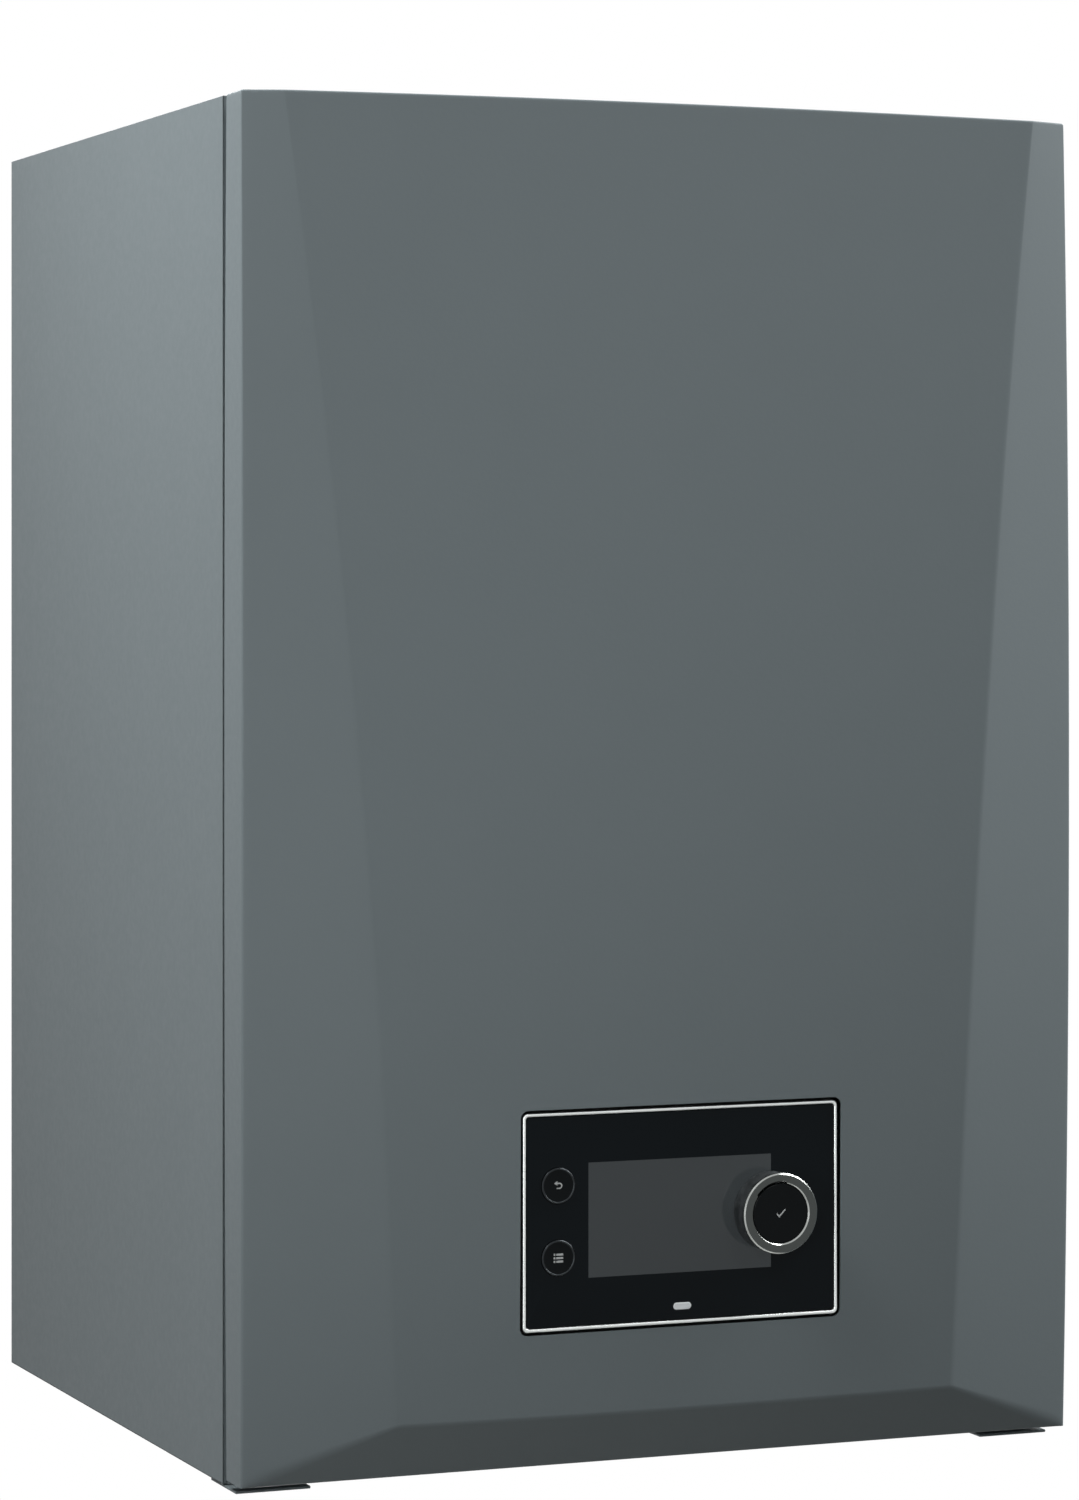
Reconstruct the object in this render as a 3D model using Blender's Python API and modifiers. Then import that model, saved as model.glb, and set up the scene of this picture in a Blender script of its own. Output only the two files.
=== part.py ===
"""A wall-mounted condensing boiler with a facetted front cover, built piece by piece.

The wall is the plane Y = 0, the front faces -Y, and +X is the viewer's right. Heights count
from the underside of the casing. One empty carries the boiler, and puts the world's origin
in the middle of the wall bracket's back face. All sizes are in metres.
"""
import math

import bmesh
import bpy
from mathutils import Vector

# Shared sizes
SHEET = 0.0012            # folded steel sheet of the casing
GAP = 0.0003              # rest between two pieces that touch
BITE = 0.0005             # how far joined shapes reach into each other
OVERRUN = 0.003           # how far a cutter reaches past what it cuts
WELD = 0.00001            # points this close are one
PLASTIC_WALL = 0.0025

# Casing
CASING_INSET = 0.0015     # of the casing's sides, behind the cover's edges
CASING_RISE = 0.0002      # of the casing's top, above the cover's corners
WALL_GAP = 0.001
REAR_FLANGE = 0.018
FOOT_FLANGE = 0.030
EDGE_FLANGE = 0.012
BACK_SETBACK = 0.017
SIDE_SETBACK = 0.0355     # front edge of the side panels, behind the cover's rim
LIP_SETBACK = 0.010       # front edge of the stepped lips, behind the cover's rim

# Front cover
RIM_TO_WALL = 0.4615
COVER_WIDTH = 0.495
COVER_HEIGHT = 0.7455
COVER_LIFT = 0.0043
COVER_THICKNESS = 0.0012
COVER_RETURN = 0.0248
COVER_SIDE_BOW = 0.0012
COVER_FORWARD_BOW = 0.0050
COVER_TOP_ARCH = 0.0017
COVER_FOOT_ARCH = 0.0012
FOOT_CREASE_HEIGHT = 0.0306
CREASE_INSET_FOOT = 0.0828
CREASE_INSET_TOP = 0.0228
CREASE_STRAIGHT_SHARE = 0.39
FRONT_DEPTHS = (0.0180, 0.0286, 0.0166, 0.0053)   # Bezier depths of the creases, foot to top
RIM_ROUNDING = 0.0012
COVER_ROWS = 10
FACET_COLUMNS = 2
CENTRE_COLUMNS = 6

# Hooks, ears and fasteners of the front cover
SEAL_ROOM = 0.0048
SEAL_SIDE_GAP = 0.0006
SEAL_FOOT_GAP = 0.0012
SEAL_SETBACK = 0.012
SEAL_DEPTH = 0.0072
HOOK_TO_SIDE = 0.096
HOOK_WIDTH = 0.060
HOOK_SETBACK = 0.0203
HOOK_HEIGHT = 0.0038
HEM_WIDTH = 0.070
HEM_DROP = 0.0042
EAR_TO_SIDE = 0.022
EAR_WIDTH = 0.024
EAR_REACH = 0.0535        # rear end of the lower ears, behind the rim
EAR_NOTCH_HEIGHT = 0.0095
TAB_TO_SIDE = 0.0011
TAB_WIDTH = 0.0426
TAB_SETBACK = 0.017
TAB_REACH = 0.060
TAB_THICKNESS = 0.0016
SCREW_SETBACK = 0.045
SCREW_HEAD_RADIUS = 0.007
SCREW_HEAD_HEIGHT = 0.0025
SCREW_SLOT_WIDTH = 0.0014
SCREW_SLOT_DEPTH = 0.0011
SHANK_RADIUS = 0.0055
SHANK_BAR_WIDTH = 0.0060
SHANK_BAR_LENGTH = 0.0104
SHANK_TOP = 0.0070
KEY_MOUTH = 0.0068
KEY_RADIUS = 0.0064
SCREW_HOLE_RADIUS = 0.0077

# Wall bracket
BRACKET_TO_TOP = 0.060
BRACKET_TO_SIDE = 0.046
BRACKET_HEIGHT = 0.060
BRACKET_THICKNESS = 0.003
BRACKET_HOOK_TO_END = 0.070
BRACKET_HOOK_WIDTH = 0.050
BRACKET_ARM_RISE = 0.010  # above the bracket's middle
BRACKET_HOOK_RISE = 0.013
BRACKET_SLOT_X = 0.060
BRACKET_SLOT_LENGTH = 0.024
BRACKET_SLOT_WIDTH = 0.009
BACK_SLOT_WIDTH = 0.060
BACK_SLOT_DROP = 0.020

# Display panel in the front cover
PANEL_HEIGHT = 0.1402     # its centre
PANEL_WIDTH = 0.1886
PANEL_TALL = 0.1190
PANEL_CORNER = 0.0030
PANEL_RECESS = 0.0008     # behind the cover's face
OPENING_GAP = 0.0016
FRAME_LINE = 0.0023
FRAME_DEPTH = 0.0080
GLASS_SETBACK = 0.0002
GLASS_THICKNESS = 0.0025
HOUSING_DEPTH = 0.0274
SCREEN_LEFT = -0.0557
SCREEN_RIGHT = 0.0536
SCREEN_TALL = 0.0627
SCREEN_THICKNESS = 0.0050
BUTTON_X = -0.0735
BUTTON_SPREAD = 0.0196    # of each button from the panel's centre
BUTTON_RADIUS = 0.00975
BUTTON_PROUD = 0.0009
BUTTON_TRAVEL = 0.0008
BUTTON_FLANGE_RADIUS = 0.0112
BUTTON_STEM_RADIUS = 0.0030
PLAY = 0.0003             # running play round a button, cap or sleeve
DIAL_X = 0.0526
DIAL_RADIUS = 0.02215
DIAL_HEIGHT = 0.0154
DIAL_WALL = 0.0024
DIAL_FACE_WIDTH = 0.0056
DIAL_CHAMFER = 0.0006
DIAL_WEB_FLOOR = 0.0055
DIAL_WEB_THICKNESS = 0.0025
DIAL_HUB_WALL = 0.0022
DIAL_NOTCH_DEPTH = 0.0008  # of the relief in the ring's inner edge
DIAL_NOTCH_FLOOR = 0.0020  # behind the ring's face
DIAL_NOTCH_FROM = 78       # degrees from the viewer's right
DIAL_NOTCH_TO = 144
DIAL_NOTCH_STEPS = 6
SLEEVE_RADIUS = 0.0062
SLEEVE_WALL = 0.0026
SLEEVE_HEIGHT = 0.0085
SLEEVE_FLANGE_RADIUS = 0.0100
SLEEVE_FLANGE_THICKNESS = 0.0015
CAP_THICKNESS = 0.0036
CAP_RECESS = 0.0004
CAP_TRAVEL = 0.0012
LIGHT_WIDTH = 0.0110
LIGHT_TALL = 0.0050
LIGHT_DROP = 0.0498       # below the panel's centre
LIGHT_HEIGHT = PANEL_HEIGHT - LIGHT_DROP
LIGHT_DEPTH = 0.0040
LIGHT_PROUD = 0.0002
BOARD_THICKNESS = 0.0016
BOARD_EDGE = 0.0070
BOARD_SETBACK = 0.0182
SWITCH_SIDE = 0.0062

# Control box behind the display panel
BOX_TO_SIDE = 0.031
BOX_FLOOR = 0.062
BOX_HEIGHT = 0.158
BOX_DEPTH = 0.0740
MAIN_BOARD_WIDTH = 0.300
MAIN_BOARD_TALL = 0.110
MAIN_BOARD_STANDOFF = 0.010
TRANSFORMER_SIDE = 0.040
TRANSFORMER_DEPTH = 0.030
RELAY_GAP = 0.009
RELAY_SIDE = 0.018
TERMINAL_WIDTH = 0.090
TERMINAL_TALL = 0.016
BOX_BRACKET_WALL = 0.0018
BOX_SHELF_WIDTH = 0.050

# Heat exchanger, burner and fan
EXCHANGER_WIDTH_SHARE = 0.4472
EXCHANGER_SETBACK = 0.1015
EXCHANGER_TO_WALL = 0.1750
EXCHANGER_FLOOR = 0.1880
EXCHANGER_TO_TOP = 0.2270
CHAMBER_WALL = 0.0170
RIB_COUNT = 7
RIB_PROUD = 0.0060
RIB_THICKNESS = 0.0060
PORT_RADIUS = 0.0200
PORT_LENGTH = 0.0060
FLOW_PORT_DROP = 0.0380   # below the block's top
RETURN_PORT_RISE = 0.0370 # above the block's floor
HATCH_WIDTH = 0.120
HATCH_TALL = 0.070
HATCH_THICKNESS = 0.0060
HATCH_BOLT_RADIUS = 0.0045
HATCH_BOLT_HEIGHT = 0.0050
SEAL_THICKNESS = 0.0029
BURNER_PLATE_THICKNESS = 0.0120
BURNER_PLATE_EDGE = 0.0060
NECK_RADIUS = 0.0300
NECK_HEIGHT = 0.0600
BURNER_RADIUS = 0.0320
BURNER_LENGTH = 0.1250
BURNER_WALL = 0.0015
BURNER_FLANGE = 0.0035
ELECTRODE_X = 0.0560
ELECTRODE_RADIUS = 0.0060
ELECTRODE_RISE = 0.0300
ELECTRODE_DROP = 0.0250
ELECTRODE_ROD_RADIUS = 0.0013
ELECTRODE_ROD_LENGTH = 0.0550
SIGHT_X = -0.0600
SIGHT_RADIUS = 0.0120
SIGHT_HEIGHT = 0.0100
FAN_OFFSET_SHARE = 0.3455
FAN_FORWARD = 0.0460
FAN_RADIUS = 0.0750
FAN_WALL = 0.0030
FAN_HEIGHT = 0.0500
FAN_OUTLET_WIDTH = 0.0560
FAN_OUTLET_REACH = 0.0340
FAN_INLET_RADIUS = 0.0250
IMPELLER_RADIUS = 0.0640
IMPELLER_HEIGHT = 0.0300
IMPELLER_DISC = 0.0020
IMPELLER_HUB_RADIUS = 0.0090
IMPELLER_SHAFT_RADIUS = 0.0030
BLADE_COUNT = 12
BLADE_THICKNESS = 0.0016
BLADE_INNER_RADIUS = 0.0300
BLADE_SWEEP = 0.60
MOTOR_RADIUS = 0.0420
MOTOR_HEIGHT = 0.0560
MOTOR_FOOT_RADIUS = 0.0520
MOTOR_FOOT_HEIGHT = 0.0050
HOLDER_THICKNESS = 0.0020
HOLDER_HEIGHT_SHARE = 0.46
HOLDER_FOOT = 0.0240
HOLDER_FRONT_GAP = 0.0600

# Gas and air
MIXER_RADIUS = 0.0220
MIXER_DROP = 0.0288       # of its axis, below the fan
MIXER_BEND = 0.0308
SILENCER_TO_SIDE = 0.0080
SILENCER_TO_FAN = 0.0055
SILENCER_SETBACK = 0.0615
SILENCER_TO_WALL = 0.1400
SILENCER_DROP = 0.0350    # of its floor, below the mixer's axis
SILENCER_TO_TOP = 0.0300
SILENCER_CORNER = 0.0120
SNOUT_RADIUS = 0.0220
SNOUT_HEIGHT = 0.0160
SILENCER_CLIP_HEIGHT = 0.0100
VALVE_FORWARD = 0.0315    # of its middle, in front of the fan's axis
VALVE_DROP = 0.1350       # of its floor, below the silencer
VALVE_WIDTH = 0.0800
VALVE_DEPTH = 0.0800
VALVE_HEIGHT = 0.0900
VALVE_CORNER = 0.0050
COIL_RADIUS = 0.0180
COIL_HEIGHT = 0.0300
FEED_RADIUS = 0.0080
FEED_TO_FAN = 0.0650

# Pipes
PIPE_Y = -0.1500
FLOW_TO_SIDE = 0.0610
RETURN_X_SHARE = 0.5405    # of the flow pipe's place
RETURN_CLEARANCE = 0.0400  # of its axis, beside the condensate tray
RETURN_KNEE_HEIGHT = 0.0620
GAS_KNEE_DROP = 0.0660    # below the gas valve
GAS_CLEARANCE = 0.0070
CONDENSATE_X = -0.0620
WATER_RADIUS = 0.0160
GAS_RADIUS = 0.0130
CONDENSATE_RADIUS = 0.0120
PIPE_BEND = 0.0260
PIPE_WALL = 0.0016
STUB_DROP = 0.0420        # lower end of the pipes under the casing
NUT_HEIGHT = 0.0180
NUT_OVER_PIPE = 0.0090
PLUG_HEIGHT = 0.0030
HOLE_ROOM = 0.0010
VENT_RADIUS = 0.0160
VENT_HEIGHT = 0.0520
VENT_CAP_RADIUS = 0.0060
VENT_CAP_HEIGHT = 0.0080
RELIEF_HEIGHT = 0.1600
RELIEF_RADIUS = 0.0120
RELIEF_LENGTH = 0.0360
RELIEF_OUTLET_RADIUS = 0.0080
RELIEF_OUTLET_LENGTH = 0.0240
KNOB_RADIUS = 0.0160
KNOB_DEPTH = 0.0120
KNOB_GRIP_COUNT = 6
KNOB_GRIP_RADIUS = 0.0040
GAUGE_RADIUS = 0.0090
GAUGE_CAN_RADIUS = 0.0072
GAUGE_LENGTH = 0.0280
GAUGE_HEIGHT = 0.0220
CLIP_WALL = 0.0030
CLIP_HEIGHT = 0.0120
CLIP_SENSOR_SIDE = 0.0140
FLOW_SENSOR_DROP = 0.0450  # below the safety valve

# Condensate and flue
TRAY_OVER_EXCHANGER = 0.0050
TRAY_FLOOR = 0.1100
TRAY_TO_WALL = 0.0600
TRAY_WALL = 0.0040
DRAIN_X = -0.0500
DRAIN_SETBACK = 0.0600
DRAIN_RADIUS = 0.0140
DRAIN_LENGTH = 0.0150
SIPHON_RADIUS = 0.0300
SIPHON_FLOOR = 0.0150
SIPHON_COLLAR = 0.0030
SIPHON_OUTLET_HEIGHT = 0.0700
FLUE_Y = -0.1150
FLUE_RADIUS = 0.0400
FLUE_WALL = 0.0025
FLUE_SPIGOT_HEIGHT = 0.0250
FLUE_TO_TOP = 0.0300
SOCKET_ROOM = 0.0005
SOCKET_WALL = 0.0025
SOCKET_TO_TOP = 0.0600
AIR_RADIUS = 0.0625
AIR_WALL = 0.0025
COLLAR_FLANGE = 0.0200
COLLAR_FLANGE_THICKNESS = 0.0020
COLLAR_RISE = 0.0160      # above the top panel
COLLAR_DROP = 0.0150
COLLAR_WEB = 0.0040
COLLAR_WEB_COUNT = 3

# Wiring
GLAND_X = 0.0350
GLAND_Y = -0.0600
GLAND_RADIUS = 0.0085
GLAND_FLANGE = 0.0040
GLAND_DROP = 0.0120
GLAND_RISE = 0.0080
CONDUIT_RADIUS = 0.0050
CONDUIT_TO_SIDE = 0.0260
CONDUIT_SETBACK = 0.0300
CONDUIT_BEND = 0.0200
LIGHTER_WIDTH = 0.0600
LIGHTER_DEPTH = 0.0320
LIGHTER_TALL = 0.0450
LIGHTER_TO_SIDE = 0.0460

# Places that follow from the sizes above
CASING_WIDTH = COVER_WIDTH - 2 * CASING_INSET
CASING_HEIGHT = COVER_LIFT + COVER_HEIGHT + CASING_RISE
HALF = CASING_WIDTH / 2
INNER_HALF = HALF - SHEET - GAP
RIM_Y = -RIM_TO_WALL
RETURN_Y = RIM_Y + COVER_RETURN
COVER_TOP = COVER_LIFT + COVER_HEIGHT
SIDE_FRONT_Y = RIM_Y + SIDE_SETBACK
LIP_FRONT_Y = RIM_Y + LIP_SETBACK
LIP_X = COVER_WIDTH / 2 - COVER_THICKNESS - SEAL_ROOM
LIP_INNER_X = LIP_X - SHEET - GAP
LIP_TOP = COVER_TOP - COVER_THICKNESS - SEAL_ROOM
LIP_FOOT = COVER_LIFT + COVER_THICKNESS + SEAL_ROOM
PANEL_REAR_Y = -WALL_GAP - SHEET - GAP
BACK_FRONT_Y = -BACK_SETBACK - SHEET
FLOOR_TOP = 2 * SHEET + GAP
EAR_X = HALF - EAR_TO_SIDE
HOOK_X = HALF - HOOK_TO_SIDE
TAB_OUTER_X = HALF - TAB_TO_SIDE
TAB_INNER_X = TAB_OUTER_X - TAB_WIDTH
BRACKET_CENTRE_HEIGHT = CASING_HEIGHT - BRACKET_TO_TOP
BRACKET_ARM_HEIGHT = BRACKET_CENTRE_HEIGHT + BRACKET_ARM_RISE
BRACKET_WIDTH = CASING_WIDTH - 2 * BRACKET_TO_SIDE
BRACKET_HOOK_X = BRACKET_WIDTH / 2 - BRACKET_HOOK_TO_END
BOX_WIDTH = CASING_WIDTH - 2 * BOX_TO_SIDE
BOX_TOP = BOX_FLOOR + BOX_HEIGHT
EXCHANGER_WIDTH = CASING_WIDTH * EXCHANGER_WIDTH_SHARE
EXCHANGER_HALF = EXCHANGER_WIDTH / 2
EXCHANGER_FRONT_Y = RIM_Y + EXCHANGER_SETBACK
EXCHANGER_BACK_Y = -EXCHANGER_TO_WALL
EXCHANGER_MIDDLE_Y = (EXCHANGER_FRONT_Y + EXCHANGER_BACK_Y) / 2
EXCHANGER_TOP = CASING_HEIGHT - EXCHANGER_TO_TOP
EXCHANGER_HEIGHT = EXCHANGER_TOP - EXCHANGER_FLOOR
CHAMBER_WIDTH = EXCHANGER_WIDTH - 2 * CHAMBER_WALL
CHAMBER_DEPTH = EXCHANGER_BACK_Y - EXCHANGER_FRONT_Y - 2 * CHAMBER_WALL
PORT_X = EXCHANGER_HALF + PORT_LENGTH
PORT_Y = EXCHANGER_MIDDLE_Y
FLOW_PORT_HEIGHT = EXCHANGER_TOP - FLOW_PORT_DROP
RETURN_PORT_HEIGHT = EXCHANGER_FLOOR + RETURN_PORT_RISE
BURNER_PLATE_FLOOR = EXCHANGER_TOP + SEAL_THICKNESS + 2 * GAP
BURNER_PLATE_TOP = BURNER_PLATE_FLOOR + BURNER_PLATE_THICKNESS
FAN_FLOOR = BURNER_PLATE_TOP + NECK_HEIGHT + GAP
FAN_TOP = FAN_FLOOR + FAN_HEIGHT
FAN_X = -HALF * FAN_OFFSET_SHARE
FAN_Y = EXCHANGER_MIDDLE_Y - FAN_FORWARD
MIXER_HEIGHT = FAN_FLOOR - MIXER_DROP
SILENCER_OUTER_X = -HALF + SILENCER_TO_SIDE
SILENCER_INNER_X = FAN_X - FAN_RADIUS - SILENCER_TO_FAN
SILENCER_FRONT_Y = RIM_Y + SILENCER_SETBACK
SILENCER_BACK_Y = -SILENCER_TO_WALL
SILENCER_FLOOR = MIXER_HEIGHT - SILENCER_DROP
SILENCER_TOP = CASING_HEIGHT - SILENCER_TO_TOP
VALVE_X = -(HALF + EXCHANGER_HALF) / 2
VALVE_Y = FAN_Y - VALVE_FORWARD
VALVE_FLOOR = SILENCER_FLOOR - VALVE_DROP
FEED_X = FAN_X - FEED_TO_FAN
FLOW_X = HALF - FLOW_TO_SIDE
RETURN_X = FLOW_X * RETURN_X_SHARE
TRAY_WIDTH = EXCHANGER_WIDTH + 2 * TRAY_OVER_EXCHANGER
GAS_X = -TRAY_WIDTH / 2 - GAS_RADIUS - GAS_CLEARANCE
TRAY_BACK_Y = -TRAY_TO_WALL
TRAY_TOP = EXCHANGER_FLOOR - GAP
DRAIN_Y = EXCHANGER_FRONT_Y + DRAIN_SETBACK
FLUE_TOP = CASING_HEIGHT - FLUE_TO_TOP
SOCKET_FLOOR = CASING_HEIGHT - SOCKET_TO_TOP
CONDUIT_X = -HALF + CONDUIT_TO_SIDE
CONDUIT_Y = RIM_Y + CONDUIT_SETBACK
LIGHTER_X = HALF - LIGHTER_TO_SIDE
SIDES = (("left", -1), ("right", 1))


def clear_scene():
    for item in list(bpy.data.objects):
        bpy.data.objects.remove(item, do_unlink=True)


def new_collection(name):
    group = bpy.data.collections.new(name)
    bpy.context.scene.collection.children.link(group)
    return group


clear_scene()
pieces = new_collection("condensing_boiler")
cutters = new_collection("cutters_and_joined_shapes")
carrier = bpy.data.objects.new("boiler_carrier", None)
carrier.location = (0, 0, -BRACKET_CENTRE_HEIGHT)
pieces.objects.link(carrier)


# Finishes
def linear(channel):
    value = channel / 255
    return value / 12.92 if value <= 0.04045 else ((value + 0.055) / 1.055) ** 2.4


def finish(name, colour, roughness, metallic=0.0):
    material = bpy.data.materials.new(name)
    material.use_nodes = True
    shader = material.node_tree.nodes["Principled BSDF"]
    shades = [linear(int(colour[i:i + 2], 16)) for i in (0, 2, 4)]
    shader.inputs["Base Color"].default_value = (*shades, 1.0)
    shader.inputs["Roughness"].default_value = roughness
    shader.inputs["Metallic"].default_value = metallic
    return material


GREY_PAINT = finish("anthracite powder coat", "5d676a", 0.55)
ZINC = finish("zinc plated steel", "a7aaab", 0.40, 1.0)
CAST = finish("cast aluminium", "9d9f9e", 0.50, 1.0)
STAINLESS = finish("stainless steel", "b9b8b4", 0.30, 1.0)
SATIN = finish("satin nickel", "b4b2ad", 0.28, 1.0)
GUNMETAL = finish("gunmetal lacquer", "5e5a56", 0.32, 0.9)
COPPER = finish("copper", "b3693f", 0.35, 1.0)
BRASS = finish("brass", "b08d4a", 0.35, 1.0)
GLOSS_BLACK = finish("gloss black acrylic", "0a1013", 0.08)
BLACK_PLASTIC = finish("black polyamide", "1b1d1e", 0.55)
GREY_PLASTIC = finish("grey ABS", "6b7073", 0.50)
SCREEN = finish("display film", "383e40", 0.30)
RUBBER = finish("black EPDM rubber", "222324", 0.80)
WHITE_PLASTIC = finish("opal acrylic", "f2f3f1", 0.30)
FLUE_PLASTIC = finish("polypropylene flue pipe", "d9d9d4", 0.45)
BOARD = finish("circuit board laminate", "1f5a36", 0.50)
RED_PLASTIC = finish("red polyamide", "a3211d", 0.45)
CERAMIC = finish("glazed ceramic", "e9e6dd", 0.25)


# Shapes
def add(name, mesh, material, place=(0, 0, 0)):
    piece = bpy.data.objects.new(name, mesh)
    piece.location = place
    piece.parent = carrier
    pieces.objects.link(piece)
    mesh.materials.clear()
    mesh.materials.append(material)
    return piece


def add_form(name, form, material, place=(0, 0, 0)):
    mesh = bpy.data.meshes.new(name)
    form.to_mesh(mesh)
    form.free()
    return add(name, mesh, material, place)


def block(name, material, xs, ys, zs):
    """A box between two places on each axis, given in any order."""
    low = Vector([min(pair) for pair in (xs, ys, zs)])
    high = Vector([max(pair) for pair in (xs, ys, zs)])
    form = bmesh.new()
    bmesh.ops.create_cube(form, size=1)
    bmesh.ops.scale(form, vec=high - low, verts=form.verts)
    return add_form(name, form, material, (low + high) / 2)


def rounded_block(name, material, xs, ys, zs, radius, axis, steps=2):
    """A box with its four edges along one axis rounded."""
    piece = block(name, material, xs, ys, zs)
    form = bmesh.new()
    form.from_mesh(piece.data)
    along = "XYZ".index(axis)
    edges = [e for e in form.edges if abs((e.verts[0].co - e.verts[1].co).normalized()[along]) > 0.5]
    bmesh.ops.bevel(form, geom=edges, offset=radius, segments=steps, profile=0.5, affect="EDGES")
    form.to_mesh(piece.data)
    form.free()
    return piece


def rod(name, material, radius, start, end, sides=16, end_radius=None):
    """A cylinder, cone or hexagon from one point to another."""
    start, end = Vector(start), Vector(end)
    form = bmesh.new()
    bmesh.ops.create_cone(form, cap_ends=True, segments=sides, radius1=radius,
                          radius2=radius if end_radius is None else end_radius, depth=(end - start).length)
    turn = (end - start).to_track_quat("Z", "Y").to_matrix()
    bmesh.ops.rotate(form, matrix=turn, verts=form.verts)
    return smooth(add_form(name, form, material, (start + end) / 2))


def turned(name, material, profile, place, sides=18, forward=False, closed=False):
    """A profile of (radius, height) pairs, turned about Z, or about -Y where it faces forward.

    The outer side runs from the top down.
    """
    mesh = bpy.data.meshes.new(name)
    count = len(profile)
    edges = [(i, i + 1) for i in range(count - 1)] + ([(count - 1, 0)] if closed else [])
    mesh.from_pydata([(radius, 0, height) for radius, height in profile], edges, [])
    piece = add(name, mesh, material, place)
    if forward:
        piece.rotation_euler = (math.pi / 2, 0, 0)
    screw = piece.modifiers.new("Turn", "SCREW")
    screw.steps = sides
    screw.render_steps = sides
    screw.use_merge_vertices = True
    screw.merge_threshold = WELD
    return piece


def smooth(piece, angle=math.radians(35)):
    piece.data.shade_smooth()
    piece.data.set_sharp_from_angle(angle=angle)
    return piece


def to_mesh(piece):
    """Makes a curve or a piece with modifiers into a plain welded mesh."""
    bpy.context.view_layer.update()
    seen = piece.evaluated_get(bpy.context.evaluated_depsgraph_get())
    mesh = bpy.data.meshes.new_from_object(seen)
    form = bmesh.new()
    form.from_mesh(mesh)
    bmesh.ops.remove_doubles(form, verts=form.verts, dist=WELD)
    form.to_mesh(mesh)
    form.free()
    name, material, matrix = piece.name, piece.active_material, piece.matrix_world.copy()
    bpy.data.objects.remove(piece, do_unlink=True)
    solid = add(name, mesh, material)
    solid.matrix_world = matrix
    return smooth(solid)


def rounded_route(corners, bend, steps=3):
    """The corners of a route, each replaced by an arc of points."""
    route = [Vector(corners[0])]
    for before, corner, after in zip(corners, corners[1:], corners[2:]):
        before, corner, after = Vector(before), Vector(corner), Vector(after)
        back, on = (before - corner), (after - corner)
        reach = min(bend, back.length / 2, on.length / 2)
        start, end = corner + back.normalized() * reach, corner + on.normalized() * reach
        for i in range(steps + 1):
            t = i / steps
            route.append(start * (1 - t) ** 2 + corner * 2 * t * (1 - t) + end * t ** 2)
    route.append(Vector(corners[-1]))
    return route


def tube(name, material, corners, radius, bend, roundness=4):
    """A round tube along a route with rounded corners."""
    curve = bpy.data.curves.new(name, "CURVE")
    curve.dimensions = "3D"
    curve.bevel_depth = radius
    curve.bevel_resolution = roundness
    curve.use_fill_caps = True
    line = curve.splines.new("POLY")
    route = rounded_route(corners, bend)
    line.points.add(len(route) - 1)
    for point, place in zip(line.points, route):
        point.co = (*place, 1)
    return add(name, curve, material)


def put_away(shape):
    pieces.objects.unlink(shape)
    cutters.objects.link(shape)
    shape.hide_render = True
    shape.display_type = "WIRE"


def combine(piece, operation, shapes):
    for shape in shapes:
        step = piece.modifiers.new(operation.title(), "BOOLEAN")
        step.operation = operation
        step.object = shape
        put_away(shape)
    return piece


def join(piece, *shapes):
    return combine(piece, "UNION", shapes)


def cut(piece, *shapes):
    return combine(piece, "DIFFERENCE", shapes)


# Casing
def side_panel(side, sign):
    """A folded sheet: skin, rear and foot flanges, and the stepped lip that goes into the cover."""
    edge = GAP / 2
    skin_x = (sign * (HALF - SHEET), sign * HALF)
    skin_y = (SIDE_FRONT_Y - edge, -WALL_GAP - edge)
    heights = (edge, CASING_HEIGHT - edge)
    rear_x = (sign * (HALF - REAR_FLANGE), sign * (HALF - edge))
    foot_x = (sign * (HALF - FOOT_FLANGE), sign * (HALF - edge))
    step_x = (sign * (LIP_X - SHEET / 2), sign * (HALF - edge))
    lip_x = (sign * (LIP_X - SHEET), sign * LIP_X)
    panel = block(f"{side}_side_panel", GREY_PAINT, skin_x, skin_y, (0, CASING_HEIGHT))
    join(panel,
         block("rear_flange", GREY_PAINT, rear_x, (-WALL_GAP - SHEET, -WALL_GAP), heights),
         block("foot_flange", GREY_PAINT, foot_x, (SIDE_FRONT_Y + edge, -WALL_GAP - 2 * edge), (edge, SHEET)),
         block("step", GREY_PAINT, step_x, (SIDE_FRONT_Y, SIDE_FRONT_Y + SHEET), heights),
         block("lip", GREY_PAINT, lip_x, (LIP_FRONT_Y, SIDE_FRONT_Y + SHEET / 2), (LIP_FOOT, LIP_TOP)))
    return cut(panel, screw_hole(sign))


def screw_hole(sign):
    """The free hole of a quarter-turn screw in the sheets above its tab."""
    place = Vector((sign * EAR_X, RIM_Y + SCREW_SETBACK, 0))
    rise = Vector((0, 0, FLOOR_TOP + OVERRUN))
    return rod("screw_hole", ZINC, SCREW_HOLE_RADIUS, place - Vector((0, 0, OVERRUN)), place + rise)


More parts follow.
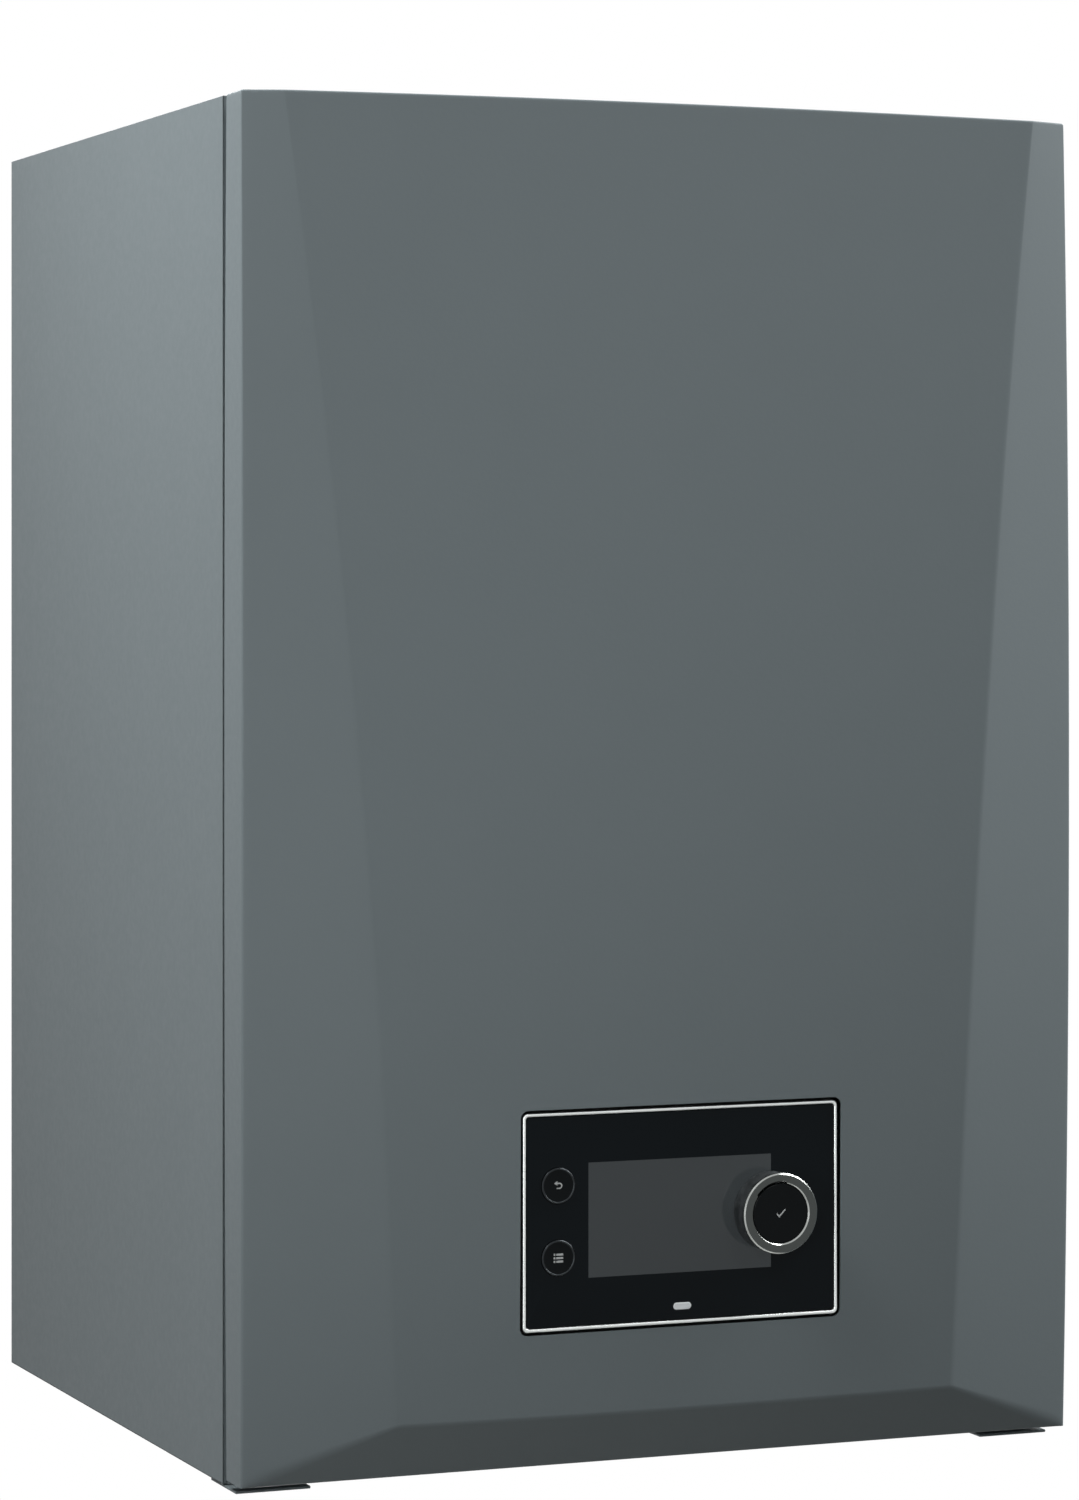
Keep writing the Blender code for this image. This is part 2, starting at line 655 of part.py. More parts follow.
def top_panel():
    """A folded lid with the hole for the flue collar and the two hooks of the front cover."""
    edge = GAP / 2
    sheet_z = (CASING_HEIGHT - SHEET, CASING_HEIGHT)
    plate_y = (SIDE_FRONT_Y + SHEET + GAP, PANEL_REAR_Y)
    strip, step, lip = LIP_INNER_X, LIP_INNER_X - edge, LIP_INNER_X - 2 * edge
    panel = block("top_panel", GREY_PAINT, (-INNER_HALF, INNER_HALF), plate_y, sheet_z)
    join(panel,
         block("front_strip", GREY_PAINT, (-strip, strip), (SIDE_FRONT_Y, plate_y[0] + BITE),
               (sheet_z[0] + edge, sheet_z[1] - edge)),
         block("step", GREY_PAINT, (-step, step), (SIDE_FRONT_Y + edge, SIDE_FRONT_Y + SHEET),
               (LIP_TOP - SHEET / 2, CASING_HEIGHT - BITE)),
         block("lip", GREY_PAINT, (-lip, lip), (LIP_FRONT_Y, SIDE_FRONT_Y + BITE),
               (LIP_TOP - SHEET, LIP_TOP)))
    for side, sign in SIDES:
        edge_x = (sign * (INNER_HALF - SHEET), sign * (INNER_HALF - edge))
        hook_x = (sign * (HOOK_X - HOOK_WIDTH / 2), sign * (HOOK_X + HOOK_WIDTH / 2))
        hook_y = (RIM_Y + HOOK_SETBACK, RIM_Y + HOOK_SETBACK + SHEET)
        join(panel,
             block("edge", GREY_PAINT, edge_x, (plate_y[0] + edge, BACK_FRONT_Y - GAP),
                   (CASING_HEIGHT - EDGE_FLANGE, CASING_HEIGHT - BITE)),
             block("hook", GREY_PAINT, hook_x, hook_y, (LIP_TOP - BITE, LIP_TOP + HOOK_HEIGHT)))
    low = (0, FLUE_Y, CASING_HEIGHT - SHEET - OVERRUN)
    high = (0, FLUE_Y, CASING_HEIGHT + OVERRUN)
    return cut(panel, rod("flue_hole", ZINC, AIR_RADIUS + AIR_WALL + HOLE_ROOM, low, high, sides=28))


def bottom_plate():
    """The folded floor with holes for the pipes, the cable glands and the cover's screws."""
    edge = GAP / 2
    sheet_z = (SHEET + GAP, FLOOR_TOP)
    plate_y = (SIDE_FRONT_Y + SHEET + GAP, PANEL_REAR_Y)
    strip, step, lip = LIP_INNER_X, LIP_INNER_X - edge, LIP_INNER_X - 2 * edge
    plate = block("bottom_plate", GREY_PAINT, (-INNER_HALF, INNER_HALF), plate_y, sheet_z)
    join(plate,
         block("front_strip", GREY_PAINT, (-strip, strip), (SIDE_FRONT_Y, plate_y[0] + BITE),
               (sheet_z[0] + edge, sheet_z[1] - edge)),
         block("step", GREY_PAINT, (-step, step), (SIDE_FRONT_Y + edge, SIDE_FRONT_Y + SHEET),
               (sheet_z[0] + BITE, LIP_FOOT + SHEET / 2)),
         block("lip", GREY_PAINT, (-lip, lip), (LIP_FRONT_Y, SIDE_FRONT_Y + BITE),
               (LIP_FOOT, LIP_FOOT + SHEET)))
    for side, sign in SIDES:
        notch_x = (sign * (EAR_X - EAR_WIDTH), sign * (LIP_X + OVERRUN))
        notch_y = (SIDE_FRONT_Y - OVERRUN, SIDE_FRONT_Y + SHEET + GAP / 2)
        gland = Vector((sign * GLAND_X, GLAND_Y, FLOOR_TOP))
        drop = Vector((0, 0, OVERRUN))
        cut(plate,
            screw_hole(sign),
            block("ear_notch", ZINC, notch_x, notch_y, (FLOOR_TOP + GAP, EAR_NOTCH_HEIGHT)),
            rod("gland_hole", ZINC, GLAND_RADIUS + GAP, gland - drop, gland + drop))
    for x, radius in pipe_rows():
        low, high = (x, PIPE_Y, -OVERRUN), (x, PIPE_Y, FLOOR_TOP + OVERRUN)
        cut(plate, rod("pipe_hole", ZINC, radius + HOLE_ROOM, low, high))
    return plate


def pipe_rows():
    return ((FLOW_X, WATER_RADIUS), (RETURN_X, WATER_RADIUS), (GAS_X, GAS_RADIUS),
            (CONDENSATE_X, CONDENSATE_RADIUS))


def back_panel():
    """The pressed rear wall, with the slots that hang on the wall bracket's hooks."""
    zs = (FLOOR_TOP + GAP, CASING_HEIGHT - SHEET - GAP)
    panel = block("back_panel", ZINC, (-INNER_HALF, INNER_HALF), (BACK_FRONT_Y, -BACK_SETBACK), zs)
    rearward = (-BACK_SETBACK - BITE, PANEL_REAR_Y)
    join(panel, block("top_edge", ZINC, (-INNER_HALF, INNER_HALF), rearward, (zs[1] - SHEET, zs[1])))
    slot_top = BRACKET_ARM_HEIGHT + BRACKET_THICKNESS + GAP
    for side, sign in SIDES:
        edge_x = (sign * (INNER_HALF - SHEET), sign * INNER_HALF)
        middle = sign * BRACKET_HOOK_X
        slot_x = (middle - BACK_SLOT_WIDTH / 2, middle + BACK_SLOT_WIDTH / 2)
        join(panel, block("edge", ZINC, edge_x, rearward, zs))
        cut(panel, block("slot", ZINC, slot_x, (BACK_FRONT_Y - OVERRUN, -BACK_SETBACK + OVERRUN),
                         (slot_top - BACK_SLOT_DROP, slot_top)))
    return panel


def wall_bracket():
    """The rail on the wall: two arms reach through the back panel and turn up behind it."""
    middle = BRACKET_CENTRE_HEIGHT
    zs = (middle - BRACKET_HEIGHT / 2, middle + BRACKET_HEIGHT / 2)
    rail = block("wall_bracket", ZINC, (-BRACKET_WIDTH / 2, BRACKET_WIDTH / 2), (-BRACKET_THICKNESS, 0), zs)
    tip_y = BACK_FRONT_Y - GAP - BRACKET_THICKNESS
    for side, sign in SIDES:
        hook = sign * BRACKET_HOOK_X
        hook_x = (hook - BRACKET_HOOK_WIDTH / 2, hook + BRACKET_HOOK_WIDTH / 2)
        arm_z = (BRACKET_ARM_HEIGHT, BRACKET_ARM_HEIGHT + BRACKET_THICKNESS)
        join(rail,
             block("arm", ZINC, hook_x, (tip_y, -BITE), arm_z),
             block("upturn", ZINC, hook_x, (tip_y, tip_y + BRACKET_THICKNESS),
                   (BRACKET_ARM_HEIGHT, arm_z[1] + BRACKET_HOOK_RISE)))
        slot = sign * BRACKET_SLOT_X
        cut(rail, rounded_block("screw_slot", ZINC,
                                (slot - BRACKET_SLOT_LENGTH / 2, slot + BRACKET_SLOT_LENGTH / 2),
                                (-BRACKET_THICKNESS - OVERRUN, OVERRUN),
                                (middle - BRACKET_SLOT_WIDTH / 2, middle + BRACKET_SLOT_WIDTH / 2),
                                BRACKET_SLOT_WIDTH / 2 - BITE, "Y"))
    return rail


# Front cover
def front_depth(share):
    """How far the creases stand in front of the rim's plane, at a share of the cover's height."""
    a, b, c, d = FRONT_DEPTHS
    rest = 1 - share
    return a * rest ** 3 + 3 * b * rest ** 2 * share + 3 * c * rest * share ** 2 + d * share ** 3


def crease_inset(share):
    """How far the creases lie in from the cover's sides, at a share of its height."""
    fall = CREASE_STRAIGHT_SHARE * share + (1 - CREASE_STRAIGHT_SHARE) * share ** 2
    return CREASE_INSET_FOOT - (CREASE_INSET_FOOT - CREASE_INSET_TOP) * fall


def bow(share):
    return 4 * share * (1 - share)


def rim_point(sign, share):
    half = COVER_WIDTH / 2 + COVER_SIDE_BOW * bow(share)
    return Vector((sign * half, RIM_Y - COVER_FORWARD_BOW * bow(share), COVER_LIFT + COVER_HEIGHT * share))


def crease_point(sign, share):
    height = FOOT_CREASE_HEIGHT + (COVER_HEIGHT - FOOT_CREASE_HEIGHT) * share
    up = height / COVER_HEIGHT
    return Vector((sign * (COVER_WIDTH / 2 - crease_inset(up)), RIM_Y - front_depth(up), COVER_LIFT + height))


def cover_row(share):
    """One row of points across the front: left facet, centre panel, right facet."""
    rim, crease = rim_point(-1, share), crease_point(-1, share)
    left = [rim.lerp(crease, i / FACET_COLUMNS) for i in range(FACET_COLUMNS)]
    far = crease_point(1, share)
    centre = [crease.lerp(far, i / CENTRE_COLUMNS) for i in range(CENTRE_COLUMNS + 1)]
    right = [Vector((-p.x, p.y, p.z)) for p in reversed(left)]
    row = left + centre + right
    for point in row:
        middle = 1 - (point.x / (COVER_WIDTH / 2)) ** 2
        point.z += COVER_TOP_ARCH * share * middle
        if abs(point.x) <= far.x:
            point.z -= COVER_FOOT_ARCH * (1 - share) * (1 - (point.x / far.x) ** 2)
    return row


def cover_skin():
    """The open outer surface of the cover, with its return flanges."""
    form = bmesh.new()
    rows = [[form.verts.new(point) for point in cover_row(i / COVER_ROWS)] for i in range(COVER_ROWS + 1)]
    foot = [rows[0][0]] + [form.verts.new((v.co.x, RIM_Y, COVER_LIFT)) for v in rows[0][1:-1]] + [rows[0][-1]]
    for lower, upper in zip([foot] + rows, rows):
        for i in range(len(lower) - 1):
            corners = [lower[i], lower[i + 1], upper[i + 1], upper[i]]
            form.faces.new(sorted(set(corners), key=corners.index))
    edges = [edge for edge in form.edges if edge.is_boundary]
    grown = bmesh.ops.extrude_edge_only(form, edges=edges)
    for vert in [item for item in grown["geom"] if isinstance(item, bmesh.types.BMVert)]:
        vert.co.y = RETURN_Y
    bmesh.ops.recalc_face_normals(form, faces=form.faces)
    form.faces.ensure_lookup_table()
    centre = max(form.faces, key=lambda face: face.calc_area())
    if centre.normal.y > 0:
        bmesh.ops.reverse_faces(form, faces=form.faces)
    return form


def front_cover():
    pivot = Vector((0, RIM_Y + HOOK_SETBACK + SHEET + HEM_DROP / 2, LIP_TOP + HEM_DROP / 2))
    form = cover_skin()
    bmesh.ops.translate(form, vec=-pivot, verts=form.verts)
    cover = add_form("front_cover", form, GREY_PAINT, pivot)
    rounding = cover.modifiers.new("Rounded rim", "BEVEL")
    rounding.width = RIM_ROUNDING
    rounding.segments = 2
    rounding.angle_limit = math.radians(40)
    wall = cover.modifiers.new("Sheet", "SOLIDIFY")
    wall.thickness = COVER_THICKNESS
    wall.offset = -1
    wall.use_even_offset = True
    front = RIM_Y - max(FRONT_DEPTHS) - OVERRUN
    opening_half = PANEL_WIDTH / 2 + OPENING_GAP
    opening_tall = PANEL_TALL / 2 + OPENING_GAP
    cut(cover, rounded_block("display_opening", ZINC, (-opening_half, opening_half), (front, RIM_Y),
                             (PANEL_HEIGHT - opening_tall, PANEL_HEIGHT + opening_tall),
                             PANEL_CORNER + OPENING_GAP, "Y"))
    screw_y = RIM_Y + SCREW_SETBACK
    ear_z = (COVER_LIFT, COVER_LIFT + COVER_THICKNESS)
    key_z = (COVER_LIFT - OVERRUN, COVER_LIFT + COVER_THICKNESS + OVERRUN)
    for side, sign in SIDES:
        ear = sign * EAR_X
        hem = sign * HOOK_X
        join(cover,
             block("ear", GREY_PAINT, (ear - EAR_WIDTH / 2, ear + EAR_WIDTH / 2),
                   (RETURN_Y - EAR_WIDTH / 4, RIM_Y + EAR_REACH), ear_z),
             block("hem", GREY_PAINT, (hem - HEM_WIDTH / 2, hem + HEM_WIDTH / 2),
                   (RETURN_Y - COVER_THICKNESS, RETURN_Y), (LIP_TOP + SEAL_SIDE_GAP, hem_top(abs(hem)))))
        cut(cover,
            rod("key_hole", ZINC, KEY_RADIUS, (ear, screw_y, key_z[0]), (ear, screw_y, key_z[1])),
            block("key_mouth", ZINC, (ear - KEY_MOUTH / 2, ear + KEY_MOUTH / 2),
                  (screw_y, RIM_Y + EAR_REACH + OVERRUN), key_z))
    return cover


def hem_top(x):
    """The middle of the top return's thickness, at the outer end of a hem."""
    outer = x + HEM_WIDTH / 2
    arch = COVER_TOP_ARCH * (1 - (outer / (COVER_WIDTH / 2)) ** 2)
    return COVER_TOP - COVER_THICKNESS / 4 + arch


def cover_seal():
    outer_x = COVER_WIDTH / 2 - COVER_THICKNESS - SEAL_SIDE_GAP
    outer_z = (COVER_LIFT + COVER_THICKNESS + SEAL_FOOT_GAP, COVER_TOP - COVER_THICKNESS - SEAL_SIDE_GAP)
    ys = (RIM_Y + SEAL_SETBACK, RIM_Y + SEAL_SETBACK + SEAL_DEPTH)
    inner_x = LIP_X + GAP
    seal = block("cover_seal", RUBBER, (-outer_x, outer_x), ys, outer_z)
    return cut(seal, block("inside", RUBBER, (-inner_x, inner_x), (ys[0] - OVERRUN, ys[1] + OVERRUN),
                           (LIP_FOOT - GAP, LIP_TOP + GAP)))


def cover_tab(side, sign):
    tab = block(f"cover_tab_{side}", GREY_PAINT, (sign * TAB_INNER_X, sign * TAB_OUTER_X),
                (RIM_Y + TAB_SETBACK, RIM_Y + TAB_REACH), (-TAB_THICKNESS - GAP, -GAP))
    place = Vector((sign * EAR_X, RIM_Y + SCREW_SETBACK, -GAP))
    reach = Vector((0, 0, TAB_THICKNESS + OVERRUN))
    return cut(tab, rod("screw_hole", ZINC, SHANK_RADIUS + GAP, place - reach, place + reach))


def quarter_turn_screw(side, sign):
    """Head under the tab, round shank, and a flat bar that the turn locks behind the ear's mouth."""
    x, y = sign * EAR_X, RIM_Y + SCREW_SETBACK
    head_top = -TAB_THICKNESS - 2 * GAP
    head_low = head_top - SCREW_HEAD_HEIGHT
    bar_low = COVER_LIFT - SHEET
    screw = rod(f"quarter_turn_screw_{side}", ZINC, SCREW_HEAD_RADIUS, (x, y, head_low), (x, y, head_top))
    join(screw,
         rod("shank", ZINC, SHANK_RADIUS, (x, y, head_top - BITE), (x, y, bar_low)),
         block("bar", ZINC, (x - SHANK_BAR_WIDTH / 2, x + SHANK_BAR_WIDTH / 2),
               (y - SHANK_BAR_LENGTH / 2, y + SHANK_BAR_LENGTH / 2), (bar_low - BITE, SHANK_TOP)))
    return cut(screw, block("slot", ZINC, (x - SCREW_SLOT_WIDTH / 2, x + SCREW_SLOT_WIDTH / 2),
                            (y - 2 * SCREW_HEAD_RADIUS, y + 2 * SCREW_HEAD_RADIUS),
                            (head_low - OVERRUN, head_low + SCREW_SLOT_DEPTH)))


# Display panel
PANEL_Y = RIM_Y - front_depth((PANEL_HEIGHT - COVER_LIFT) / COVER_HEIGHT) + PANEL_RECESS
GLASS_Y = PANEL_Y + GLASS_SETBACK
GLASS_BACK_Y = GLASS_Y + GLASS_THICKNESS
HOUSING_Y = GLASS_BACK_Y + GAP
HOUSING_BACK_Y = PANEL_Y + HOUSING_DEPTH
WALL_BACK_Y = HOUSING_Y + PLASTIC_WALL
BOARD_Y = PANEL_Y + BOARD_SETBACK
BUTTON_HEIGHTS = (("back_button", PANEL_HEIGHT + BUTTON_SPREAD),
                  ("menu_button", PANEL_HEIGHT - BUTTON_SPREAD))


def panel_rectangle(name, material, inset, ys, corner):
    """A rounded rectangle with the display panel's outline, drawn in by an inset."""
    half, tall = PANEL_WIDTH / 2 - inset, PANEL_TALL / 2 - inset
    return rounded_block(name, material, (-half, half), ys, (PANEL_HEIGHT - tall, PANEL_HEIGHT + tall),
                         corner, "Y")


def hmi_frame():
    ys = (PANEL_Y, PANEL_Y + FRAME_DEPTH)
    frame = panel_rectangle("hmi_frame", SATIN, 0, ys, PANEL_CORNER)
    through = (ys[0] - OVERRUN, ys[1] + OVERRUN)
    return cut(frame, panel_rectangle("inside", SATIN, FRAME_LINE, through, PANEL_CORNER - PANEL_CORNER / 3))


def front_holes(ys, button_radius, sleeve_radius):
    """Cutters for the two buttons and the dial's sleeve."""
    shapes = [rod("button_hole", ZINC, button_radius, (BUTTON_X, ys[0], z), (BUTTON_X, ys[1], z), sides=20)
              for name, z in BUTTON_HEIGHTS]
    start, end = (DIAL_X, ys[0], PANEL_HEIGHT), (DIAL_X, ys[1], PANEL_HEIGHT)
    return shapes + [rod("sleeve_hole", ZINC, sleeve_radius, start, end)]


def light_hole(ys, room):
    half, tall = LIGHT_WIDTH / 2 + room, LIGHT_TALL / 2 + room
    return rounded_block("light_hole", ZINC, (-half, half), ys, (LIGHT_HEIGHT - tall, LIGHT_HEIGHT + tall),
                         tall - BITE, "Y")


def hmi_glass():
    glass = panel_rectangle("hmi_glass", GLOSS_BLACK, FRAME_LINE + GAP, (GLASS_Y, GLASS_BACK_Y),
                            PANEL_CORNER - PANEL_CORNER / 3 - GAP)
    ys = (GLASS_Y - OVERRUN, GLASS_BACK_Y + OVERRUN)
    return cut(glass, *front_holes(ys, BUTTON_RADIUS + PLAY, SLEEVE_RADIUS + GAP), light_hole(ys, GAP))


def hmi_housing():
    """The tray behind the glass, open towards the control box."""
    inset = FRAME_LINE + GAP
    outer = panel_rectangle("hmi_housing", BLACK_PLASTIC, inset, (HOUSING_Y, HOUSING_BACK_Y),
                            PANEL_CORNER - PANEL_CORNER / 3 - GAP)
    screen_z = (PANEL_HEIGHT - SCREEN_TALL / 2 - GAP, PANEL_HEIGHT + SCREEN_TALL / 2 + GAP)
    ys = (HOUSING_Y - OVERRUN, WALL_BACK_Y + OVERRUN)
    return cut(outer,
               panel_rectangle("inside", BLACK_PLASTIC, inset + PLASTIC_WALL,
                               (WALL_BACK_Y, HOUSING_BACK_Y + OVERRUN), PANEL_CORNER / 3),
               block("screen_window", BLACK_PLASTIC, (SCREEN_LEFT - GAP, SCREEN_RIGHT + GAP), ys, screen_z),
               *front_holes(ys, BUTTON_RADIUS + PLAY, SLEEVE_RADIUS + GAP), light_hole(ys, GAP))


def display_screen():
    """The display module, cut round the sleeve that passes its right-hand end."""
    screen_z = (PANEL_HEIGHT - SCREEN_TALL / 2, PANEL_HEIGHT + SCREEN_TALL / 2)
    start = GLASS_BACK_Y + GAP
    screen = block("display_screen", SCREEN, (SCREEN_LEFT, SCREEN_RIGHT), (start, start + SCREEN_THICKNESS),
                   screen_z)
    reach = SLEEVE_FLANGE_RADIUS + GAP
    return cut(screen, block("sleeve_room", SCREEN, (DIAL_X - reach, SCREEN_RIGHT + OVERRUN),
                             (start - OVERRUN, start + SCREEN_THICKNESS + OVERRUN),
                             (PANEL_HEIGHT - reach, PANEL_HEIGHT + reach)))


def push_button(name, z):
    """Cap, retaining flange behind the housing's wall, and stem down to its switch."""
    front = BUTTON_PROUD
    wall_back = -(WALL_BACK_Y - GLASS_Y)
    flange_top = wall_back - GAP
    flange_low = flange_top - SHEET
    stem_end = -(BOARD_Y - SWITCH_SIDE / 2 - GLASS_Y) + BUTTON_TRAVEL + GAP
    edge = BUTTON_PROUD / 2
    profile = [(0, front), (BUTTON_RADIUS - edge, front), (BUTTON_RADIUS, front - edge),
               (BUTTON_RADIUS, flange_top), (BUTTON_FLANGE_RADIUS, flange_top),
               (BUTTON_FLANGE_RADIUS, flange_low), (BUTTON_STEM_RADIUS, flange_low),
               (BUTTON_STEM_RADIUS, stem_end), (0, stem_end)]
    return turned(name, GLOSS_BLACK, profile, (BUTTON_X, GLASS_Y, z), sides=20, forward=True)


def dial_notch(radius):
    """A slice that widens the ring's inner edge at its upper left."""
    start, turn = math.radians(DIAL_NOTCH_FROM), math.radians(DIAL_NOTCH_TO - DIAL_NOTCH_FROM)
    angles = [start + turn * i / DIAL_NOTCH_STEPS for i in range(DIAL_NOTCH_STEPS + 1)]
    corners = [(0, 0)] + [(radius * math.cos(angle), radius * math.sin(angle)) for angle in angles]
    face = GLASS_Y - DIAL_HEIGHT
    form = bmesh.new()
    loops = [[form.verts.new((DIAL_X + x, y, PANEL_HEIGHT + z)) for x, z in corners]
             for y in (face - OVERRUN, face + DIAL_NOTCH_FLOOR)]
    form.faces.new(loops[0])
    form.faces.new(list(reversed(loops[1])))
    for i in range(len(corners)):
        j = (i + 1) % len(corners)
        form.faces.new((loops[0][i], loops[1][i], loops[1][j], loops[0][j]))
    bmesh.ops.recalc_face_normals(form, faces=form.faces)
    return add_form("notch", form, GUNMETAL)


def dial_ring():
    """Ring with a web and a hub that turns on the sleeve."""
    inner = DIAL_RADIUS - DIAL_FACE_WIDTH
    skirt = DIAL_RADIUS - DIAL_WALL
    bore = SLEEVE_RADIUS + PLAY
    hub = bore + DIAL_HUB_WALL
    top, edge, foot = DIAL_HEIGHT, DIAL_CHAMFER, GAP + GLASS_SETBACK
    web_top = DIAL_WEB_FLOOR + DIAL_WEB_THICKNESS
    profile = [(inner + edge, top), (DIAL_RADIUS - edge, top), (DIAL_RADIUS, top - edge), (DIAL_RADIUS, foot),
               (skirt, foot), (skirt, DIAL_WEB_FLOOR), (hub, DIAL_WEB_FLOOR), (hub, foot + SHEET),
               (bore, foot + SHEET), (bore, web_top), (inner, web_top), (inner, top - edge)]
    ring = turned("dial_ring", GUNMETAL, profile, (DIAL_X, GLASS_Y, PANEL_HEIGHT), sides=28, forward=True,
                  closed=True)
    return cut(ring, dial_notch(inner + DIAL_NOTCH_DEPTH))


def dial_sleeve():
    """The fixed tube that carries the ring outside and the cap's stem inside."""
    bore = SLEEVE_RADIUS - SLEEVE_WALL
    flange_top = -(WALL_BACK_Y - GLASS_Y) - GAP
    flange_low = flange_top - SLEEVE_FLANGE_THICKNESS
    profile = [(SLEEVE_RADIUS, SLEEVE_HEIGHT), (SLEEVE_RADIUS, flange_top),
               (SLEEVE_FLANGE_RADIUS, flange_top), (SLEEVE_FLANGE_RADIUS, flange_low),
               (bore, flange_low), (bore, SLEEVE_HEIGHT)]
    return turned("dial_sleeve", BRASS, profile, (DIAL_X, GLASS_Y, PANEL_HEIGHT), forward=True, closed=True)


def confirm_button():
    """The black cap in the ring, with its stem through the sleeve."""
    radius = DIAL_RADIUS - DIAL_FACE_WIDTH - PLAY
    front = DIAL_HEIGHT - CAP_RECESS
    back = front - CAP_THICKNESS
    stem = SLEEVE_RADIUS - SLEEVE_WALL - PLAY
    stem_end = -(BOARD_Y - SWITCH_SIDE / 2 - GLASS_Y) + CAP_TRAVEL + GAP
    profile = [(0, front), (radius - DIAL_CHAMFER, front), (radius, front - DIAL_CHAMFER), (radius, back),
               (stem, back), (stem, stem_end), (0, stem_end)]
    return turned("confirm_button", GLOSS_BLACK, profile, (DIAL_X, GLASS_Y, PANEL_HEIGHT), sides=28,
                  forward=True)


def status_light():
    half, tall = LIGHT_WIDTH / 2, LIGHT_TALL / 2
    ys = (GLASS_Y - LIGHT_PROUD, GLASS_Y - LIGHT_PROUD + LIGHT_DEPTH)
    return rounded_block("status_light", WHITE_PLASTIC, (-half, half), ys,
                         (LIGHT_HEIGHT - tall, LIGHT_HEIGHT + tall), tall - BITE, "Y")


def hmi_board():
    """The board in the housing, with a switch behind each button and the cap."""
    inset = FRAME_LINE + GAP + PLASTIC_WALL + GAP
    half, tall = PANEL_WIDTH / 2 - inset, PANEL_TALL / 2 - inset
    board = block("hmi_board", BOARD, (-half, half), (BOARD_Y, BOARD_Y + BOARD_THICKNESS),
                  (PANEL_HEIGHT - tall, PANEL_HEIGHT + tall))
    places = [(BUTTON_X, z) for name, z in BUTTON_HEIGHTS] + [(DIAL_X, PANEL_HEIGHT)]
    half_switch = SWITCH_SIDE / 2
    for x, z in places:
        join(board, block("switch", BOARD, (x - half_switch, x + half_switch),
                          (BOARD_Y - half_switch, BOARD_Y + BITE), (z - half_switch, z + half_switch)))
    return board


# Control box
BOX_FRONT_Y = HOUSING_BACK_Y + GAP
BOX_BACK_Y = BOX_FRONT_Y + BOX_DEPTH


def control_box():
    half = BOX_WIDTH / 2
    box = block("control_box", BLACK_PLASTIC, (-half, half), (BOX_FRONT_Y, BOX_BACK_Y), (BOX_FLOOR, BOX_TOP))
    inner = half - PLASTIC_WALL
    return cut(box, block("inside", BLACK_PLASTIC, (-inner, inner),
                          (BOX_FRONT_Y + PLASTIC_WALL, BOX_BACK_Y + OVERRUN),
                          (BOX_FLOOR + PLASTIC_WALL, BOX_TOP - PLASTIC_WALL)))


def control_box_lid():
    half = BOX_WIDTH / 2
    start = BOX_BACK_Y + GAP
    return block("control_box_lid", GREY_PLASTIC, (-half, half), (start, start + PLASTIC_WALL),
                 (BOX_FLOOR, BOX_TOP))


def main_circuit_board():
    """The board on its standoffs, with transformer, relays and terminals."""
    half, middle = MAIN_BOARD_WIDTH / 2, (BOX_FLOOR + BOX_TOP) / 2
    floor_y = BOX_FRONT_Y + PLASTIC_WALL + GAP
    board_y = floor_y + MAIN_BOARD_STANDOFF
    face_y = board_y + BOARD_THICKNESS
    zs = (middle - MAIN_BOARD_TALL / 2, middle + MAIN_BOARD_TALL / 2)
    board = block("main_circuit_board", BOARD, (-half, half), (board_y, face_y), zs)
    post = TERMINAL_TALL / 4
    for x in (-half + TERMINAL_TALL, half - TERMINAL_TALL):
        for z in (zs[0] + TERMINAL_TALL, zs[1] - TERMINAL_TALL):
            join(board, rod("post", BOARD, post, (x, floor_y, z), (x, board_y + BITE, z), sides=12))
    left = -half + TRANSFORMER_SIDE
    join(board, block("transformer", BOARD, (left, left + TRANSFORMER_SIDE),
                      (face_y - BITE, face_y + TRANSFORMER_DEPTH),
                      (middle - TRANSFORMER_SIDE / 2, middle + TRANSFORMER_SIDE / 2)))
    for i in range(3):
        relay_x = left + TRANSFORMER_SIDE + RELAY_SIDE + i * (RELAY_SIDE + RELAY_GAP)
        join(board, block("relay", BOARD, (relay_x, relay_x + RELAY_SIDE),
                          (face_y - BITE, face_y + RELAY_SIDE), (middle, middle + RELAY_SIDE)))
    join(board, block("terminals", BOARD, (half - TERMINAL_TALL - TERMINAL_WIDTH, half - TERMINAL_TALL),
                      (face_y - BITE, face_y + TERMINAL_TALL), (zs[0] + BITE, zs[0] + TERMINAL_TALL)))
    return board


def control_box_bracket(side, sign):
    """An angle on the side panel, with a shelf under the end of the control box."""
    outer = INNER_HALF
    ys = (SIDE_FRONT_Y + SHEET + GAP, BOX_BACK_Y)
    plate = block(f"control_box_bracket_{side}", ZINC, (sign * (outer - BOX_BRACKET_WALL), sign * outer), ys,
                  (BOX_FLOOR - GAP - BOX_BRACKET_WALL, BOX_TOP))
    shelf_x = (sign * (outer - BOX_SHELF_WIDTH), sign * (outer - BITE))
    upright_x = (sign * (BOX_WIDTH / 2 + GAP), sign * (BOX_WIDTH / 2 + GAP + BOX_BRACKET_WALL))
    return join(plate,
                block("shelf", ZINC, shelf_x, ys, (BOX_FLOOR - GAP - BOX_BRACKET_WALL, BOX_FLOOR - GAP)),
                block("upright", ZINC, upright_x, ys, (BOX_FLOOR - GAP - BITE, BOX_FLOOR + EDGE_FLANGE)))


